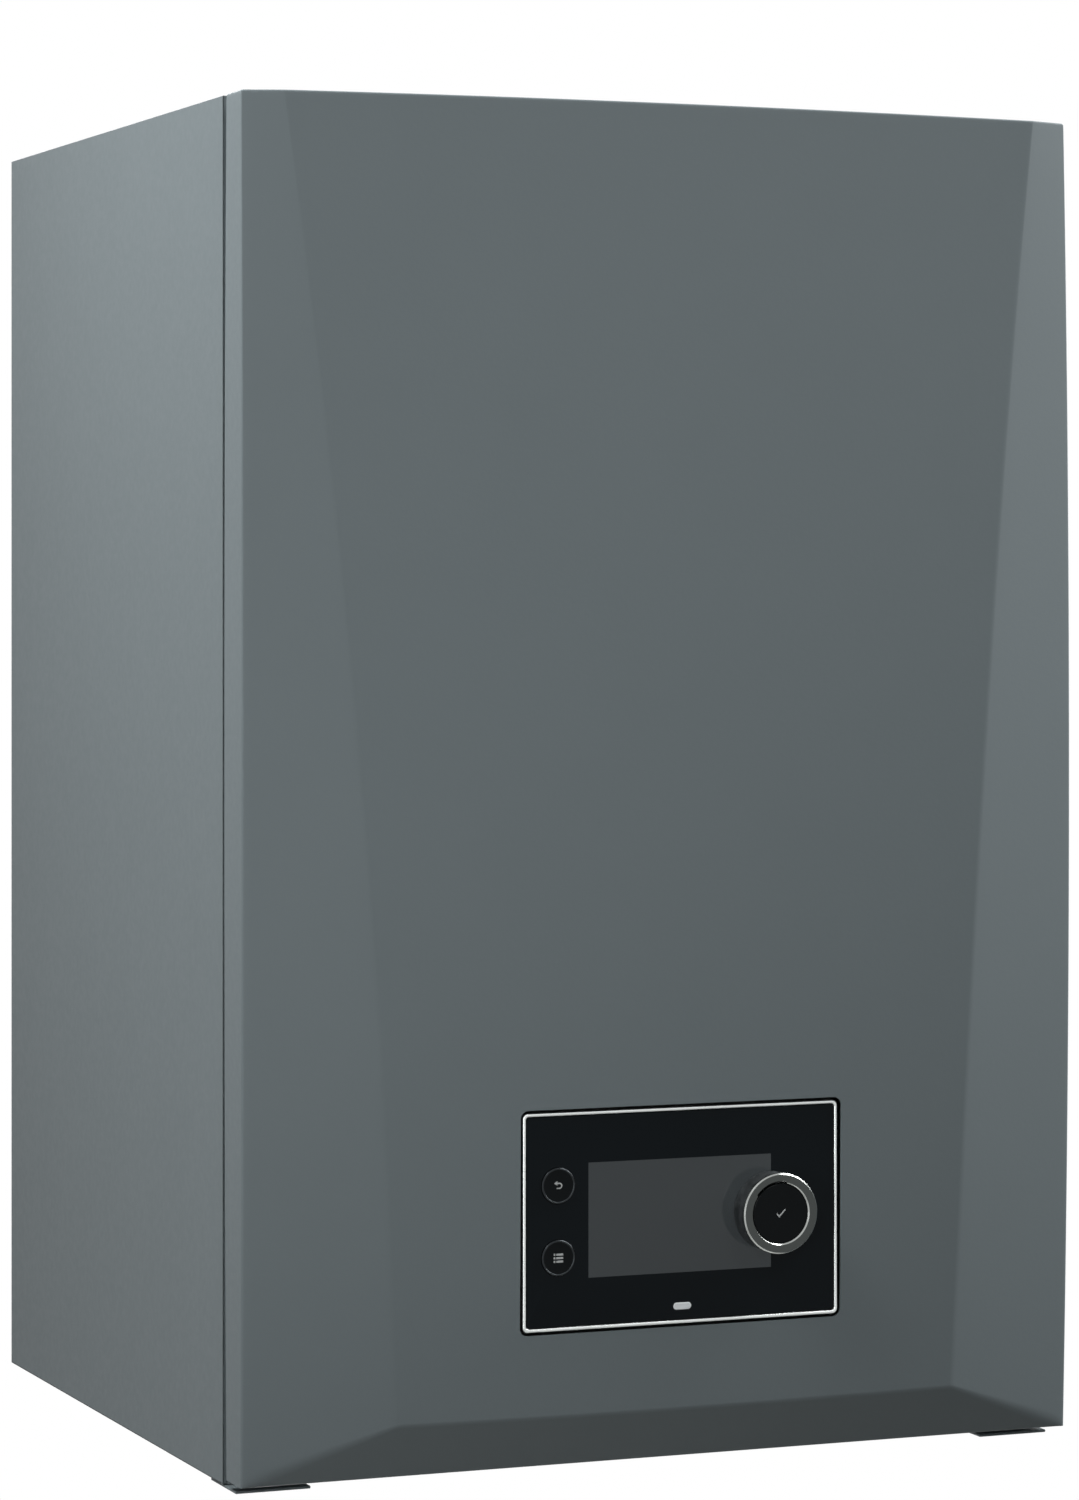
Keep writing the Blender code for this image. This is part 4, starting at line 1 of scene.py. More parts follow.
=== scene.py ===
"""The looks of a wall-mounted condensing boiler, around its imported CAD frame.

The wall is the plane Y = 0, the front faces -Y and +X is the viewer's right. Every new piece
is measured from the frame's own nodes where it can be, keeps its place in its mesh, and rides
on the body that it belongs to. Lengths are in metres, and those of the surfaces' patterns in
millimetres.
"""
import math

import bmesh
import bpy
from bpy.props import FloatProperty, FloatVectorProperty, IntProperty, PointerProperty
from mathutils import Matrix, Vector


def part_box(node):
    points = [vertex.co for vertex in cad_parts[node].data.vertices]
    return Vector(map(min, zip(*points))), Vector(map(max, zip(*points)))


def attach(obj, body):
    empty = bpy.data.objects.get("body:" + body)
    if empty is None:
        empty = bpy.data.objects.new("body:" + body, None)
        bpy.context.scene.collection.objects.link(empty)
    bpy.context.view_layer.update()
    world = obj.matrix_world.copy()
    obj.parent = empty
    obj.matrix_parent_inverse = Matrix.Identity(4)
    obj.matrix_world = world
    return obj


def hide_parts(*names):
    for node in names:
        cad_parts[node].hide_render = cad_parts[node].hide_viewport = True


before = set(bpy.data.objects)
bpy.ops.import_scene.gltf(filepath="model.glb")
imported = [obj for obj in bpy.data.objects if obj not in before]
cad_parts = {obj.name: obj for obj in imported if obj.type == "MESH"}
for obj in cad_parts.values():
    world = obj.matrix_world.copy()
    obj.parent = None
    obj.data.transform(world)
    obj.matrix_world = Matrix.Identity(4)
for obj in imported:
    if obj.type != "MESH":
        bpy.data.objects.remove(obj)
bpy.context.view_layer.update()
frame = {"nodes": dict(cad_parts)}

bl_info = {
    "name": "Condensing Boiler Looks",
    "version": (1, 0, 0),
    "blender": (4, 5, 0),
    "location": "3D View > Sidebar > Boiler",
    "description": "Dresses a wall-mounted condensing boiler: painted cover, display panel and inner parts",
    "category": "Object",
}

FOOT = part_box("left_side_panel")[0].z      # underside of the casing
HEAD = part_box("left_side_panel")[1].z
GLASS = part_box("hmi_glass")[0].y           # front of the glass
MM = 0.001
UP = Vector((0, 0, 1))
FRONT = Vector((0, -1, 0))


def linear(code):
    """An sRGB hex value as linear red, green, blue and alpha."""
    shades = [int(code[i:i + 2], 16) / 255 for i in (0, 2, 4)]
    return (*[s / 12.92 if s <= 0.04045 else ((s + 0.055) / 1.055) ** 2.4 for s in shades], 1.0)


def length(name, value, note):
    return FloatProperty(name=name, description=note, default=value, min=0.0, unit="LENGTH", precision=5)


def shade(name, code, note):
    return FloatVectorProperty(name=name, description=note, default=linear(code), size=4, subtype="COLOR",
                               min=0.0, max=1.0)


class BoilerSizes(bpy.types.PropertyGroup):
    """Sizes of the cover and of the display panel."""
    rim: length("Rim to wall", 0.4615, "From the wall to the plane of the front cover's rim")
    cover_width: length("Cover width", 0.495, "Width of the front cover at its corners")
    cover_height: length("Cover height", 0.7455, "Height of the front cover at its corners")
    cover_lift: length("Cover lift", 0.0043, "Lower edge of the cover above the casing's underside")
    cover_return: length("Cover return", 0.0248, "Depth of the flange behind the cover's rim")
    sheet: length("Cover sheet", 0.0012, "Thickness of the cover's steel")
    foot_crease: length("Foot crease", 0.0306, "Height of the lower crease above the cover's edge")
    crease_foot: length("Crease inset at the foot", 0.0828, "From the cover's side to the crease, below")
    crease_top: length("Crease inset at the top", 0.0228, "From the cover's side to the crease, above")
    crease_inset: length("Crease inset in the middle", 0.060, "Middling width of the cover's side facets")
    crease_radius: length("Crease radius", 0.0016, "Rounding of the pressed creases")
    rim_radius: length("Rim radius", 0.0012, "Rounding of the cover's rim")
    panel_height: length("Panel height", 0.1402, "Middle of the display panel above the casing's underside")
    dial_x: length("Dial place", 0.0526, "From the panel's middle to the dial's axis")
    button_x: length("Button place", 0.0735, "From the panel's middle to the buttons' axes")
    button_spread: length("Button spread", 0.0196, "Of each button from the panel's middle")
    cover_rows: IntProperty(name="Cover rows", description="Rows of faces up the cover", default=64, min=8)


class BoilerColours(bpy.types.PropertyGroup):
    """Colours of the finishes that show from outside."""
    paint: shade("Powder coat", "6b7477", "Anthracite grey polyester powder coat")
    glass: shade("Panel glass", "0b1216", "Black printed cover glass")
    # the display's glow, set with its finish, is painted light that fills the dial's shadow on the window
    display: shade("Display", "2a2e30", "Faintly lit display behind its window")
    frame: shade("Panel frame", "c6cac9", "Satin nickel")
    dial: shade("Dial", "434645", "Brushed gunmetal")
    light: shade("Status light", "e4eaec", "Opal acrylic")
    floor: shade("Floor", "e9e9e7", "Plain pale floor")


def sizes():
    """The sizes as set."""
    return bpy.context.scene.boiler_sizes


def colours():
    """The colours as set, by name."""
    group = bpy.context.scene.boiler_colours
    return {name: tuple(getattr(group, name)) for name in group.__annotations__}


# Materials
def start_material(name):
    """A new material, its nodes and its Principled shader."""
    material = bpy.data.materials.new(name)
    material.use_nodes = True
    return material, material.node_tree, material.node_tree.nodes["Principled BSDF"]


def add_node(tree, kind, inputs=None, **settings):
    """Adds a node: settings are its own properties, and inputs are values or other nodes' sockets."""
    item = tree.nodes.new("ShaderNode" + kind)
    for key, value in settings.items():
        setattr(item, key, value)
    for key, value in (inputs or {}).items():
        if isinstance(value, bpy.types.NodeSocket):
            tree.links.new(value, item.inputs[key])
        else:
            item.inputs[key].default_value = value
    return item


def set_shader(shader, colour, roughness, metallic=0.0, **more):
    shader.inputs["Base Color"].default_value = colour
    shader.inputs["Roughness"].default_value = roughness
    shader.inputs["Metallic"].default_value = metallic
    for key, value in more.items():
        shader.inputs[key.replace("_", " ")].default_value = value


def tinted(colour, factor):
    return tuple(min(1.0, c * factor) for c in colour[:3]) + (1.0,)


def grain(size):
    """The scale of a pattern whose spots are this many millimetres across."""
    return 1 / MM / size


def vary(tree, shader, colour, places, size, amount, detail=3.0):
    """Lets the base colour wander a little, lighter and darker, in soft patches."""
    noise = add_node(tree, "TexNoise", {"Vector": places, "Scale": grain(size), "Detail": detail})
    mix = add_node(tree, "Mix", {0: noise.outputs["Fac"], 6: tinted(colour, 1 - amount),
                                 7: tinted(colour, 1 + amount)}, data_type="RGBA")
    tree.links.new(mix.outputs[2], shader.inputs["Base Color"])


def spread(tree, shader, noise, low, high):
    """Lets the roughness run between two values after a noise."""
    run = add_node(tree, "MapRange", {"Value": noise.outputs["Fac"], "From Min": 0.3, "From Max": 0.7,
                                      "To Min": low, "To Max": high})
    tree.links.new(run.outputs["Result"], shader.inputs["Roughness"])


def emboss(tree, shader, height, depth, strength=1.0, below=None):
    """Adds a bump whose depth is in millimetres, on top of an earlier one if given."""
    inputs = {"Height": height, "Distance": depth * MM, "Strength": strength}
    if below:
        inputs["Normal"] = below.outputs["Normal"]
    bump = add_node(tree, "Bump", inputs)
    tree.links.new(bump.outputs["Normal"], shader.inputs["Normal"])
    return bump


def start_finish(name, colour, roughness, metallic=0.0, patches=None, sheen=None, tooth=None, **more):
    """A finish with soft patches of tone, a wandering sheen and a fine tooth, each if given.

    Patches are (size, amount, detail), sheen (size, low, high), tooth (size, detail, depth, strength).
    """
    material, tree, shader = start_material(name)
    set_shader(shader, colour, roughness, metallic, **more)
    places = add_node(tree, "TexCoord").outputs["Object"]
    if patches:
        vary(tree, shader, colour, places, *patches)
    if sheen:
        clouds = add_node(tree, "TexNoise", {"Vector": places, "Scale": grain(sheen[0]), "Detail": 2.0})
        spread(tree, shader, clouds, *sheen[1:])
    if tooth:
        grit = add_node(tree, "TexNoise", {"Vector": places, "Scale": grain(tooth[0]), "Detail": tooth[1]})
        emboss(tree, shader, grit.outputs["Fac"], *tooth[2:])
    return material, tree, shader, places


def powder_coat(name, colour):
    """Polyester powder coat, sprayed and baked: satin, with faint orange peel and a fine tooth."""
    material, tree, shader, places = start_finish(name, colour, 0.52, patches=(60, 0.02),
                                                  sheen=(4, 0.48, 0.56), IOR=1.5,
                                                  Specular_IOR_Level=0.1)
    peel = add_node(tree, "TexNoise", {"Vector": places, "Scale": grain(2.5), "Detail": 1.0})
    tooth = add_node(tree, "TexNoise", {"Vector": places, "Scale": grain(0.5), "Detail": 1.0})
    first = emboss(tree, shader, peel.outputs["Fac"], 0.03)
    emboss(tree, shader, tooth.outputs["Fac"], 0.02, 0.6, first)
    return material


def sheet_zinc(name, colour):
    """Electro-galvanised steel sheet: dull silver with soft cloudy spangle and faint rolling lines."""
    material, tree, shader, places = start_finish(name, colour, 0.42, 1.0, sheen=(9, 0.34, 0.52))
    spangle = add_node(tree, "TexVoronoi", {"Vector": places, "Scale": grain(7)})
    clouds = add_node(tree, "TexNoise", {"Vector": places, "Scale": grain(18), "Detail": 3.0})
    both = add_node(tree, "Math", {0: spangle.outputs["Color"], 1: clouds.outputs["Fac"]},
                    operation="MULTIPLY")
    tone = add_node(tree, "MapRange", {"Value": both.outputs[0], "To Min": 0.82, "To Max": 1.1})
    mix = add_node(tree, "Mix", {0: 1.0, 6: colour, 7: tone.outputs["Result"]}, data_type="RGBA",
                   blend_type="MULTIPLY")
    tree.links.new(mix.outputs[2], shader.inputs["Base Color"])
    stretch = add_node(tree, "Mapping", {"Vector": places, "Scale": (1.0, 1.0, 0.02)})
    lines = add_node(tree, "TexNoise", {"Vector": stretch.outputs[0], "Scale": grain(0.6), "Detail": 2.0})
    emboss(tree, shader, lines.outputs["Fac"], 0.02, 0.5)
    return material


def cast_metal(name, colour):
    """Sand or die cast aluminium: grainy skin, slightly mottled, with no directional shine."""
    return start_finish(name, colour, 0.5, 1.0, (14, 0.09, 4.0), (3, 0.42, 0.60), (0.9, 4.0, 0.15, 0.7))[0]


def turned_metal(name, colour, roughness, tarnish=0.06):
    """Drawn or turned metal, such as copper tube and brass fittings: smooth, with faint stains."""
    return start_finish(name, colour, roughness, 1.0, (22, tarnish, 5.0),
                        (5, roughness * 0.8, roughness * 1.3), (0.7, 2.0, 0.01, 0.5))[0]


def brushed_metal(name, colour, roughness, centre=None):
    """Metal brushed in fine lines, round an axis if one is given: a soft streaky sheen."""
    material, tree, shader, places = start_finish(name, colour, roughness, 1.0)
    if centre is None:
        along = add_node(tree, "Mapping", {"Vector": places, "Scale": (0.03, 1.0, 1.0)}).outputs[0]
    else:
        moved = add_node(tree, "VectorMath", {0: places, 1: centre}, operation="SUBTRACT")
        flat = add_node(tree, "VectorMath", {0: moved.outputs[0], 1: (1.0, 0.0, 1.0)}, operation="MULTIPLY")
        far = add_node(tree, "VectorMath", {0: flat.outputs[0]}, operation="LENGTH")
        along = add_node(tree, "CombineXYZ", {"X": far.outputs["Value"]}).outputs[0]
    # the lines are drawn 0.5 mm apart, coarser than the real brushing, so that they show
    lines = add_node(tree, "TexNoise", {"Vector": along, "Scale": grain(0.5), "Detail": 3.0})
    spread(tree, shader, lines, roughness * 0.8, roughness * 1.25)
    emboss(tree, shader, lines.outputs["Fac"], 0.02, 0.5)
    return material


def moulded_plastic(name, colour, roughness, tooth=0.35, depth=0.03, **more):
    """Injection moulded plastic: even colour, a fine spark-eroded tooth and a soft sheen."""
    return start_finish(name, colour, roughness, 0.0, (40, 0.03), (8, roughness * 0.9, roughness * 1.1),
                        (tooth, 2.0, depth, 0.6), IOR=1.5, **more)[0]


def polished_glass(name, colour, roughness, level, **more):
    """Anti-reflection coated glass, printed black behind: deep and nearly mirror smooth."""
    return start_finish(name, colour, roughness, 0.0, (30, 0.05), (25, roughness * 0.7, roughness * 1.6),
                        IOR=1.5, Specular_IOR_Level=level, **more)[0]


def rubber(name, colour):
    """Extruded EPDM: dead black, matt, with a slightly dusty skin."""
    return start_finish(name, colour, 0.85, 0.0, (5, 0.25, 4.0), None, (0.8, 3.0, 0.1, 0.6), IOR=1.5,
                        Specular_IOR_Level=0.25)[0]


def circuit_laminate(name, colour):
    """Glass-epoxy board under solder mask: green, satin, with paler copper tracks showing through."""
    material, tree, shader, places = start_finish(name, colour, 0.38, IOR=1.5)
    bricks = add_node(tree, "TexBrick", {"Vector": places, "Scale": grain(8), "Mortar Size": 0.06,
                                         "Color1": colour, "Color2": tinted(colour, 0.85),
                                         "Mortar": tinted(colour, 1.9)})
    tree.links.new(bricks.outputs["Color"], shader.inputs["Base Color"])
    emboss(tree, shader, bricks.outputs["Fac"], 0.04, 0.6)
    return material


FINISHES = {}


def finishes():
    """Every finish by its short name, made once, with the slot that the frame knows it by."""
    if FINISHES:
        return FINISHES
    own = colours()
    dial = Vector((sizes().dial_x, GLASS, FOOT + sizes().panel_height))
    FINISHES.update({
        "paint": ("anthracite_paint", powder_coat("anthracite powder coat", own["paint"])),
        "zinc": ("zinc_plate", sheet_zinc("zinc plated steel", linear("a9acad"))),
        "cast": ("cast_aluminium", cast_metal("cast aluminium", linear("a3a5a4"))),
        "stainless": ("stainless_steel", turned_metal("stainless steel", linear("bdbbb6"), 0.30, 0.03)),
        "nickel": ("satin_nickel", brushed_metal("satin nickel", own["frame"], 0.30)),
        "gunmetal": ("gunmetal", brushed_metal("brushed gunmetal", own["dial"], 0.36, dial)),
        "edge": ("gunmetal", turned_metal("diamond cut edge", linear("a3a6a4"), 0.16, 0.02)),
        "skirt": ("gunmetal", turned_metal("satin black nickel", linear("5b5f61"), 0.44, 0.03)),
        "rim": ("gunmetal", turned_metal("black nickel", linear("2b2e30"), 0.24, 0.03)),
        "copper": ("copper", turned_metal("copper tube", linear("b8714c"), 0.30, 0.14)),
        "brass": ("brass", turned_metal("brass", linear("b5944f"), 0.32, 0.08)),
        "glass": ("gloss_black", polished_glass("black panel glass", own["glass"], 0.05, 0.06)),
        # the display's faint glow is painted light: it lifts the window evenly and fills the dial's shadow
        # on it
        "display": ("display_film", polished_glass("display window", own["display"], 0.12, 0.16,
                                                   Emission_Color=linear("4a4f51"),
                                                   Emission_Strength=0.25)),
        "black": ("black_plastic", moulded_plastic("black polyamide", linear("1d1f20"), 0.55)),
        "gloss": ("gloss_black", moulded_plastic("gloss black acrylic", linear("0b0f11"), 0.16, 2.0, 0.004,
                                                 Specular_IOR_Level=0.06)),
        "grey": ("grey_plastic", moulded_plastic("grey ABS", linear("6d7275"), 0.5)),
        "print": ("grey_plastic", moulded_plastic("light grey print", linear("a9adad"), 0.6)),
        "rubber": ("black_rubber", rubber("black EPDM rubber", linear("1f2021"))),
        "light": ("white_plastic", moulded_plastic("opal acrylic", own["light"], 0.35, 0.6, 0.01)),
        "opal": ("white_plastic", moulded_plastic("translucent polypropylene", linear("e6e5df"), 0.4, 0.6,
                                                  0.02)),
        "flue": ("flue_plastic", moulded_plastic("grey polypropylene", linear("cfcfca"), 0.42, 0.8, 0.02)),
        "board": ("circuit_board", circuit_laminate("circuit board laminate", linear("1f5a36"))),
        "red": ("red_plastic", moulded_plastic("red polyamide", linear("a3231f"), 0.42)),
        "ceramic": ("ceramic", moulded_plastic("glazed ceramic", linear("ece8de"), 0.18, 1.5, 0.01)),
        "gasket": ("ceramic", rubber("graphite gasket", linear("4a4b4b"))),
    })
    return FINISHES


# Shapes
def make_object(name, form, faces_front=False):
    """Hands a form over to a new object."""
    mesh = bpy.data.meshes.new(name)
    bmesh.ops.recalc_face_normals(form, faces=form.faces)
    if faces_front and max(form.faces, key=lambda face: face.calc_area()).normal.y > 0:
        bmesh.ops.reverse_faces(form, faces=form.faces)
    form.to_mesh(mesh)
    form.free()
    made = bpy.data.objects.new(name, mesh)
    bpy.context.scene.collection.objects.link(made)
    return made


def settle(piece, body, slot, *stands_for, angle=38):
    """Shades a piece smooth with its flat faces kept flat, and hands it to the frame."""
    piece.data.shade_smooth()
    piece.data.set_sharp_from_angle(angle=math.radians(angle))
    normals = piece.modifiers.new("Flat faces", "WEIGHTED_NORMAL")
    normals.keep_sharp = True
    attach(piece, body)
    if stands_for:
        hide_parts(*stands_for)
    return piece


def wrap(name, form, body, finish, *more, stands_for=()):
    """Makes a form into a piece of a body, with its finishes."""
    piece = make_object(name, form)
    for item in (finish, *more):
        piece.data.materials.append(finishes()[item][1])
    return settle(piece, body, finishes()[finish][0], *stands_for)


def dress(node, form, finish, *more, body="casing"):
    """Makes a form into the piece that stands for a CAD node."""
    return wrap(node + "_shown", form, body, finish, *more, stands_for=[node])


def soften(nodes, finish, edge, steps=2):
    """Finer copies of CAD nodes: their flat faces whole again, and their edges rounded."""
    for node in nodes.split():
        form = bmesh.new()
        form.from_mesh(frame["nodes"][node].data)
        bmesh.ops.remove_doubles(form, verts=form.verts, dist=0.002 * MM)
        bmesh.ops.dissolve_limit(form, angle_limit=math.radians(0.5), verts=form.verts, edges=form.edges)
        sharp = [item for item in form.edges if len(item.link_faces) == 2
                 and item.calc_face_angle() > math.radians(38)]
        bmesh.ops.bevel(form, geom=sharp, offset=edge, segments=steps, profile=0.5, affect="EDGES",
                        clamp_overlap=True)
        dress(node, form, finish)


def add_box(form, corner, opposite, edge=0.0, index=0):
    """A box between two corners, with its edges rounded if asked."""
    low = Vector([min(a, b) for a, b in zip(corner, opposite)])
    high = Vector([max(a, b) for a, b in zip(corner, opposite)])
    made = bmesh.ops.create_cube(form, size=1.0)["verts"]
    for vert in made:
        vert.co = Vector([low[i] if vert.co[i] < 0 else high[i] for i in range(3)])
    faces = {face for vert in made for face in vert.link_faces}
    for face in faces:
        face.material_index = index
    if edge:
        lines = list({line for vert in made for line in vert.link_edges})
        bmesh.ops.bevel(form, geom=lines, offset=edge, segments=2, profile=0.5, affect="EDGES",
                        clamp_overlap=True)


def upright(axis):
    """The turn that takes +Z to an axis."""
    return Vector(axis).to_track_quat("Z", "Y").to_matrix()


def add_turned(form, profile, centre, axis=UP, steps=64, closed=False, index=0):
    """Turns (radius, height) pairs about an axis through a centre, and returns the rings of points.

    The index says which of the piece's finishes it has, or which each of its bands has.
    """
    turn, centre, rings = upright(axis), Vector(centre), []
    for radius, height in profile:
        count = steps if radius > 0 else 1
        ring = [Vector((radius * math.cos(2 * math.pi * i / steps),
                        radius * math.sin(2 * math.pi * i / steps), height)) for i in range(count)]
        rings.append([form.verts.new(centre + turn @ point) for point in ring])
    pairs = list(zip(rings, rings[1:])) + ([(rings[-1], rings[0])] if closed else [])
    for number, (a, b) in enumerate(pairs):
        for i in range(steps):
            corners = [a[i % len(a)], a[(i + 1) % len(a)], b[(i + 1) % len(b)], b[i % len(b)]]
            corners = sorted(set(corners), key=corners.index)
            if len(corners) > 2:
                face = form.faces.new(corners)
                face.material_index = index if isinstance(index, int) else index[number]
    return rings


def rounded_outline(half_wide, half_tall, radius, steps=6):
    """The corner points of a rounded rectangle round (0, 0), in order."""
    points = []
    for number, (sx, sy) in enumerate(((1, 1), (-1, 1), (-1, -1), (1, -1))):
        middle = Vector((sx * (half_wide - radius), sy * (half_tall - radius)))
        for i in range(steps + 1):
            angle = math.pi / 2 * (number + i / steps)
            points.append(middle + radius * Vector((math.cos(angle), math.sin(angle))))
    return points


def add_layers(form, layers, closed=False, index=0):
    """Joins loops of points into a skin. Each layer has the same number of points."""
    loops = [[form.verts.new(point) for point in layer] for layer in layers]
    pairs = list(zip(loops, loops[1:])) + ([(loops[-1], loops[0])] if closed else [])
    made = []
    for a, b in pairs:
        for i in range(len(a)):
            j = (i + 1) % len(a)
            made.append(form.faces.new((a[i], a[j], b[j], b[i])))
    if not closed:
        made.append(form.faces.new(loops[0]))
        made.append(form.faces.new(list(reversed(loops[-1]))))
    for face in made:
        face.material_index = index


def front_layer(outline, y, middle=(0, 0)):
    """An outline stood up in the plane of the display panel."""
    return [Vector((middle[0] + p.x, y, middle[1] + p.y)) for p in outline]


def add_prism(form, outline, y_front, y_back, middle=(0, 0)):
    """An outline of the display panel's plane, drawn out backward."""
    add_layers(form, [front_layer(outline, y, middle) for y in (y_front, y_back)])


def curve(start, corner, end, t):
    """A point of the rounding of a corner."""
    return start * (1 - t) ** 2 + corner * 2 * t * (1 - t) + end * t ** 2


def round_route(corners, bend, steps):
    """A route with its corners rounded."""
    route = [Vector(corners[0])]
    for before, corner, after in zip(corners, corners[1:], corners[2:]):
        before, corner, after = Vector(before), Vector(corner), Vector(after)
        back, on = before - corner, after - corner
        reach = min(bend, back.length / 2, on.length / 2)
        start, end = corner + back.normalized() * reach, corner + on.normalized() * reach
        route += [curve(start, corner, end, i / steps) for i in range(steps + 1)]
    route.append(Vector(corners[-1]))
    return route


def add_tube(form, route, radius, sides):
    """A round bar along a route, with closed ends."""
    layers, across = [], None
    for i, point in enumerate(route):
        ahead = (route[min(i + 1, len(route) - 1)] - route[max(i - 1, 0)]).normalized()
        if across is None:
            across = ahead.orthogonal().normalized()
        across = (across - ahead * across.dot(ahead)).normalized()
        other = ahead.cross(across)
        layers.append([point + radius * (across * math.cos(a) + other * math.sin(a))
                       for a in [2 * math.pi * k / sides for k in range(sides)]])
    add_layers(form, layers)


def at(x, y, height):
    """A place whose height counts from the casing's underside."""
    return Vector((x, y, FOOT + height))


def add_slab(form, half_wide, half_tall, corner, thickness, place, axis=UP, edge=0.0008, index=0):
    """A plate with round corners and rounded edges that grows from a place along an axis."""
    turn, place = upright(axis), Vector(place)
    near = [(edge * (1 - math.sin(a)), edge * (1 - math.cos(a))) for a in (0, 0.52, 1.05, 1.57)]
    layers = []
    for inset, rise in near + [(inset, thickness - rise) for inset, rise in reversed(near)]:
        outline = rounded_outline(half_wide - inset, half_tall - inset, max(corner - inset, 0.0001))
        layers.append([place + turn @ Vector((p.x, p.y, rise)) for p in outline])
    add_layers(form, layers, index=index)


def add_nut(form, place, axis, corner, height, index=0):
    """A hexagon whose corners are turned off at both ends."""
    turn, place, flat = upright(axis), Vector(place), corner * math.cos(math.pi / 6)
    chamfer = (corner - flat) * 0.7
    rises = [chamfer * i / 3 for i in range(4)]
    layers = []
    for rise in rises + [height - rise for rise in reversed(rises)]:
        limit = flat + (corner - flat) * min(1, min(rise, height - rise) / chamfer)
        layer = []
        for angle in [math.pi * i / 24 for i in range(48)]:
            reach = min(limit, flat / math.cos(angle % (math.pi / 3) - math.pi / 6))
            layer.append(place + turn @ Vector((reach * math.cos(angle), reach * math.sin(angle), rise)))
        layers.append(layer)
    add_layers(form, layers, index=index)


def add_bolt(form, place, axis, radius, height, index=0):
    """A hexagon bolt head on its washer."""
    along = Vector(axis).normalized()
    add_turned(form, [(0, 0), (radius, 0), (radius, 0.0008), (0, 0.0008)], place, axis, 32, index=index)
    add_nut(form, Vector(place) + along * 0.0008, axis, radius * 0.86, height - 0.0008, index)


def add_beam(form, start, end, wide, tall):
    """A straight level bar of a rectangular section, its middle line on the ground of its section."""
    start, end = Vector(start), Vector(end)
    along = (end - start).normalized()
    aside, rise = Vector((-along.y, along.x, 0)) * wide / 2, UP * tall
    add_layers(form, [[point - aside, point + aside, point + aside + rise, point - aside + rise]
                      for point in (start, end)])


def add_grip(form, place, rows, steps, groove, index):
    """A band of upright grooves, one every four steps. Its rows are (radius, height) pairs."""
    layers = []
    for reach, height in rows:
        layer = []
        for i in range(steps):
            angle, radius = i * math.pi / (steps / 2), reach - (groove if i % 4 > 1 else 0)
            layer.append(place + Vector((radius * math.cos(angle), radius * math.sin(angle), height)))
        layers.append(layer)
    add_layers(form, layers, index=index)


def add_screw(form, place, axis, radius, index=0):
    """A pan head screw with a cross recess in a low dome."""
    dome = [(0, radius * 0.62), (radius * 0.55, radius * 0.56), (radius * 0.86, radius * 0.34), (radius, 0),
            (radius, -radius * 0.2)]
    add_turned(form, dome, place, axis, 20, index=index)
    turn = upright(axis)
    up = turn @ UP
    for angle in (0, math.pi / 2):
        along = turn @ Vector((math.cos(angle), math.sin(angle), 0))
        aside = turn @ Vector((-math.sin(angle), math.cos(angle), 0))
        middle = Vector(place) + up * radius * 0.6
        made = bmesh.ops.create_cube(form, size=1.0)["verts"]
        for vert in made:
            x, y, z = vert.co
            vert.co = middle + along * x * radius + aside * y * radius * 0.2 + up * z * 0.0004
        for face in {face for vert in made for face in vert.link_faces}:
            face.material_index = index + 1


# Front cover
DEPTHS = (0.0180, 0.0286, 0.0166, 0.0053)   # Bezier depths of the creases in front of the rim, foot to top


def crease_depth(up):
    a, b, c, d = DEPTHS
    rest = 1 - up
    return a * rest ** 3 + 3 * b * rest ** 2 * up + 3 * c * rest * up ** 2 + d * up ** 3


def crease_inset(up):
    own = sizes()
    return own.crease_foot - (own.crease_foot - own.crease_top) * (0.39 * up + 0.61 * up ** 2)


def cover_point(column, share):
    """A point of the cover's skin. The rims are columns -2 and 2, and the creases -1 and 1."""
    own = sizes()
    half, side = own.cover_width / 2, (1 if column > 0 else -1)
    bow = 4 * share * (1 - share)
    rim = Vector((side * (half + 0.0012 * bow), -own.rim - 0.0050 * bow,
                  own.cover_lift + own.cover_height * share))
    height = own.foot_crease + (own.cover_height - own.foot_crease) * share
    up = height / own.cover_height
    crease = Vector((side * (half - crease_inset(up)), -own.rim - crease_depth(up),
                     own.cover_lift + height))
    if abs(column) > 1:
        point = crease.lerp(rim, abs(column) - 1)
    else:
        point = Vector((abs(crease.x) * column, crease.y, crease.z))
        point.z -= 0.0012 * (1 - share) * (1 - column ** 2)
    point.z += 0.0017 * share * (1 - (point.x / half) ** 2) + FOOT
    return point


def cover_foot(column):
    """The cover's lower edge under a column, in the rim's plane."""
    own = sizes()
    return Vector((cover_point(column, 0).x, -own.rim, own.cover_lift + FOOT))


def cover_column(column):
    """One column from the lower edge up, with the lower crease rounded more towards the sides.

    Its first and last points lie on the rim, and their neighbours where the rim's rounding begins.
    """
    own = sizes()
    corner, foot = cover_point(column, 0), cover_foot(column)
    outward = max(0.0, abs(column) - 1)
    rise = corner - foot
    drop = rise.length
    toward = rise.normalized() if drop > 0 else Vector()
    start = corner - toward * min(own.crease_radius + 0.003 * outward, drop * 0.6)
    share = (own.crease_radius + 0.005 * outward) / own.cover_height
    points = [foot, foot + toward * min(own.rim_radius, drop * 0.3)]
    points += [curve(start, corner, cover_point(column, share), i / 8) for i in range(9)]
    points += [cover_point(column, share + (1 - share) * i / own.cover_rows)
               for i in range(1, own.cover_rows)]
    return points + [cover_point(column, 1 - reach / own.cover_height)
                     for reach in (2.5 * own.rim_radius, own.rim_radius, 0)]


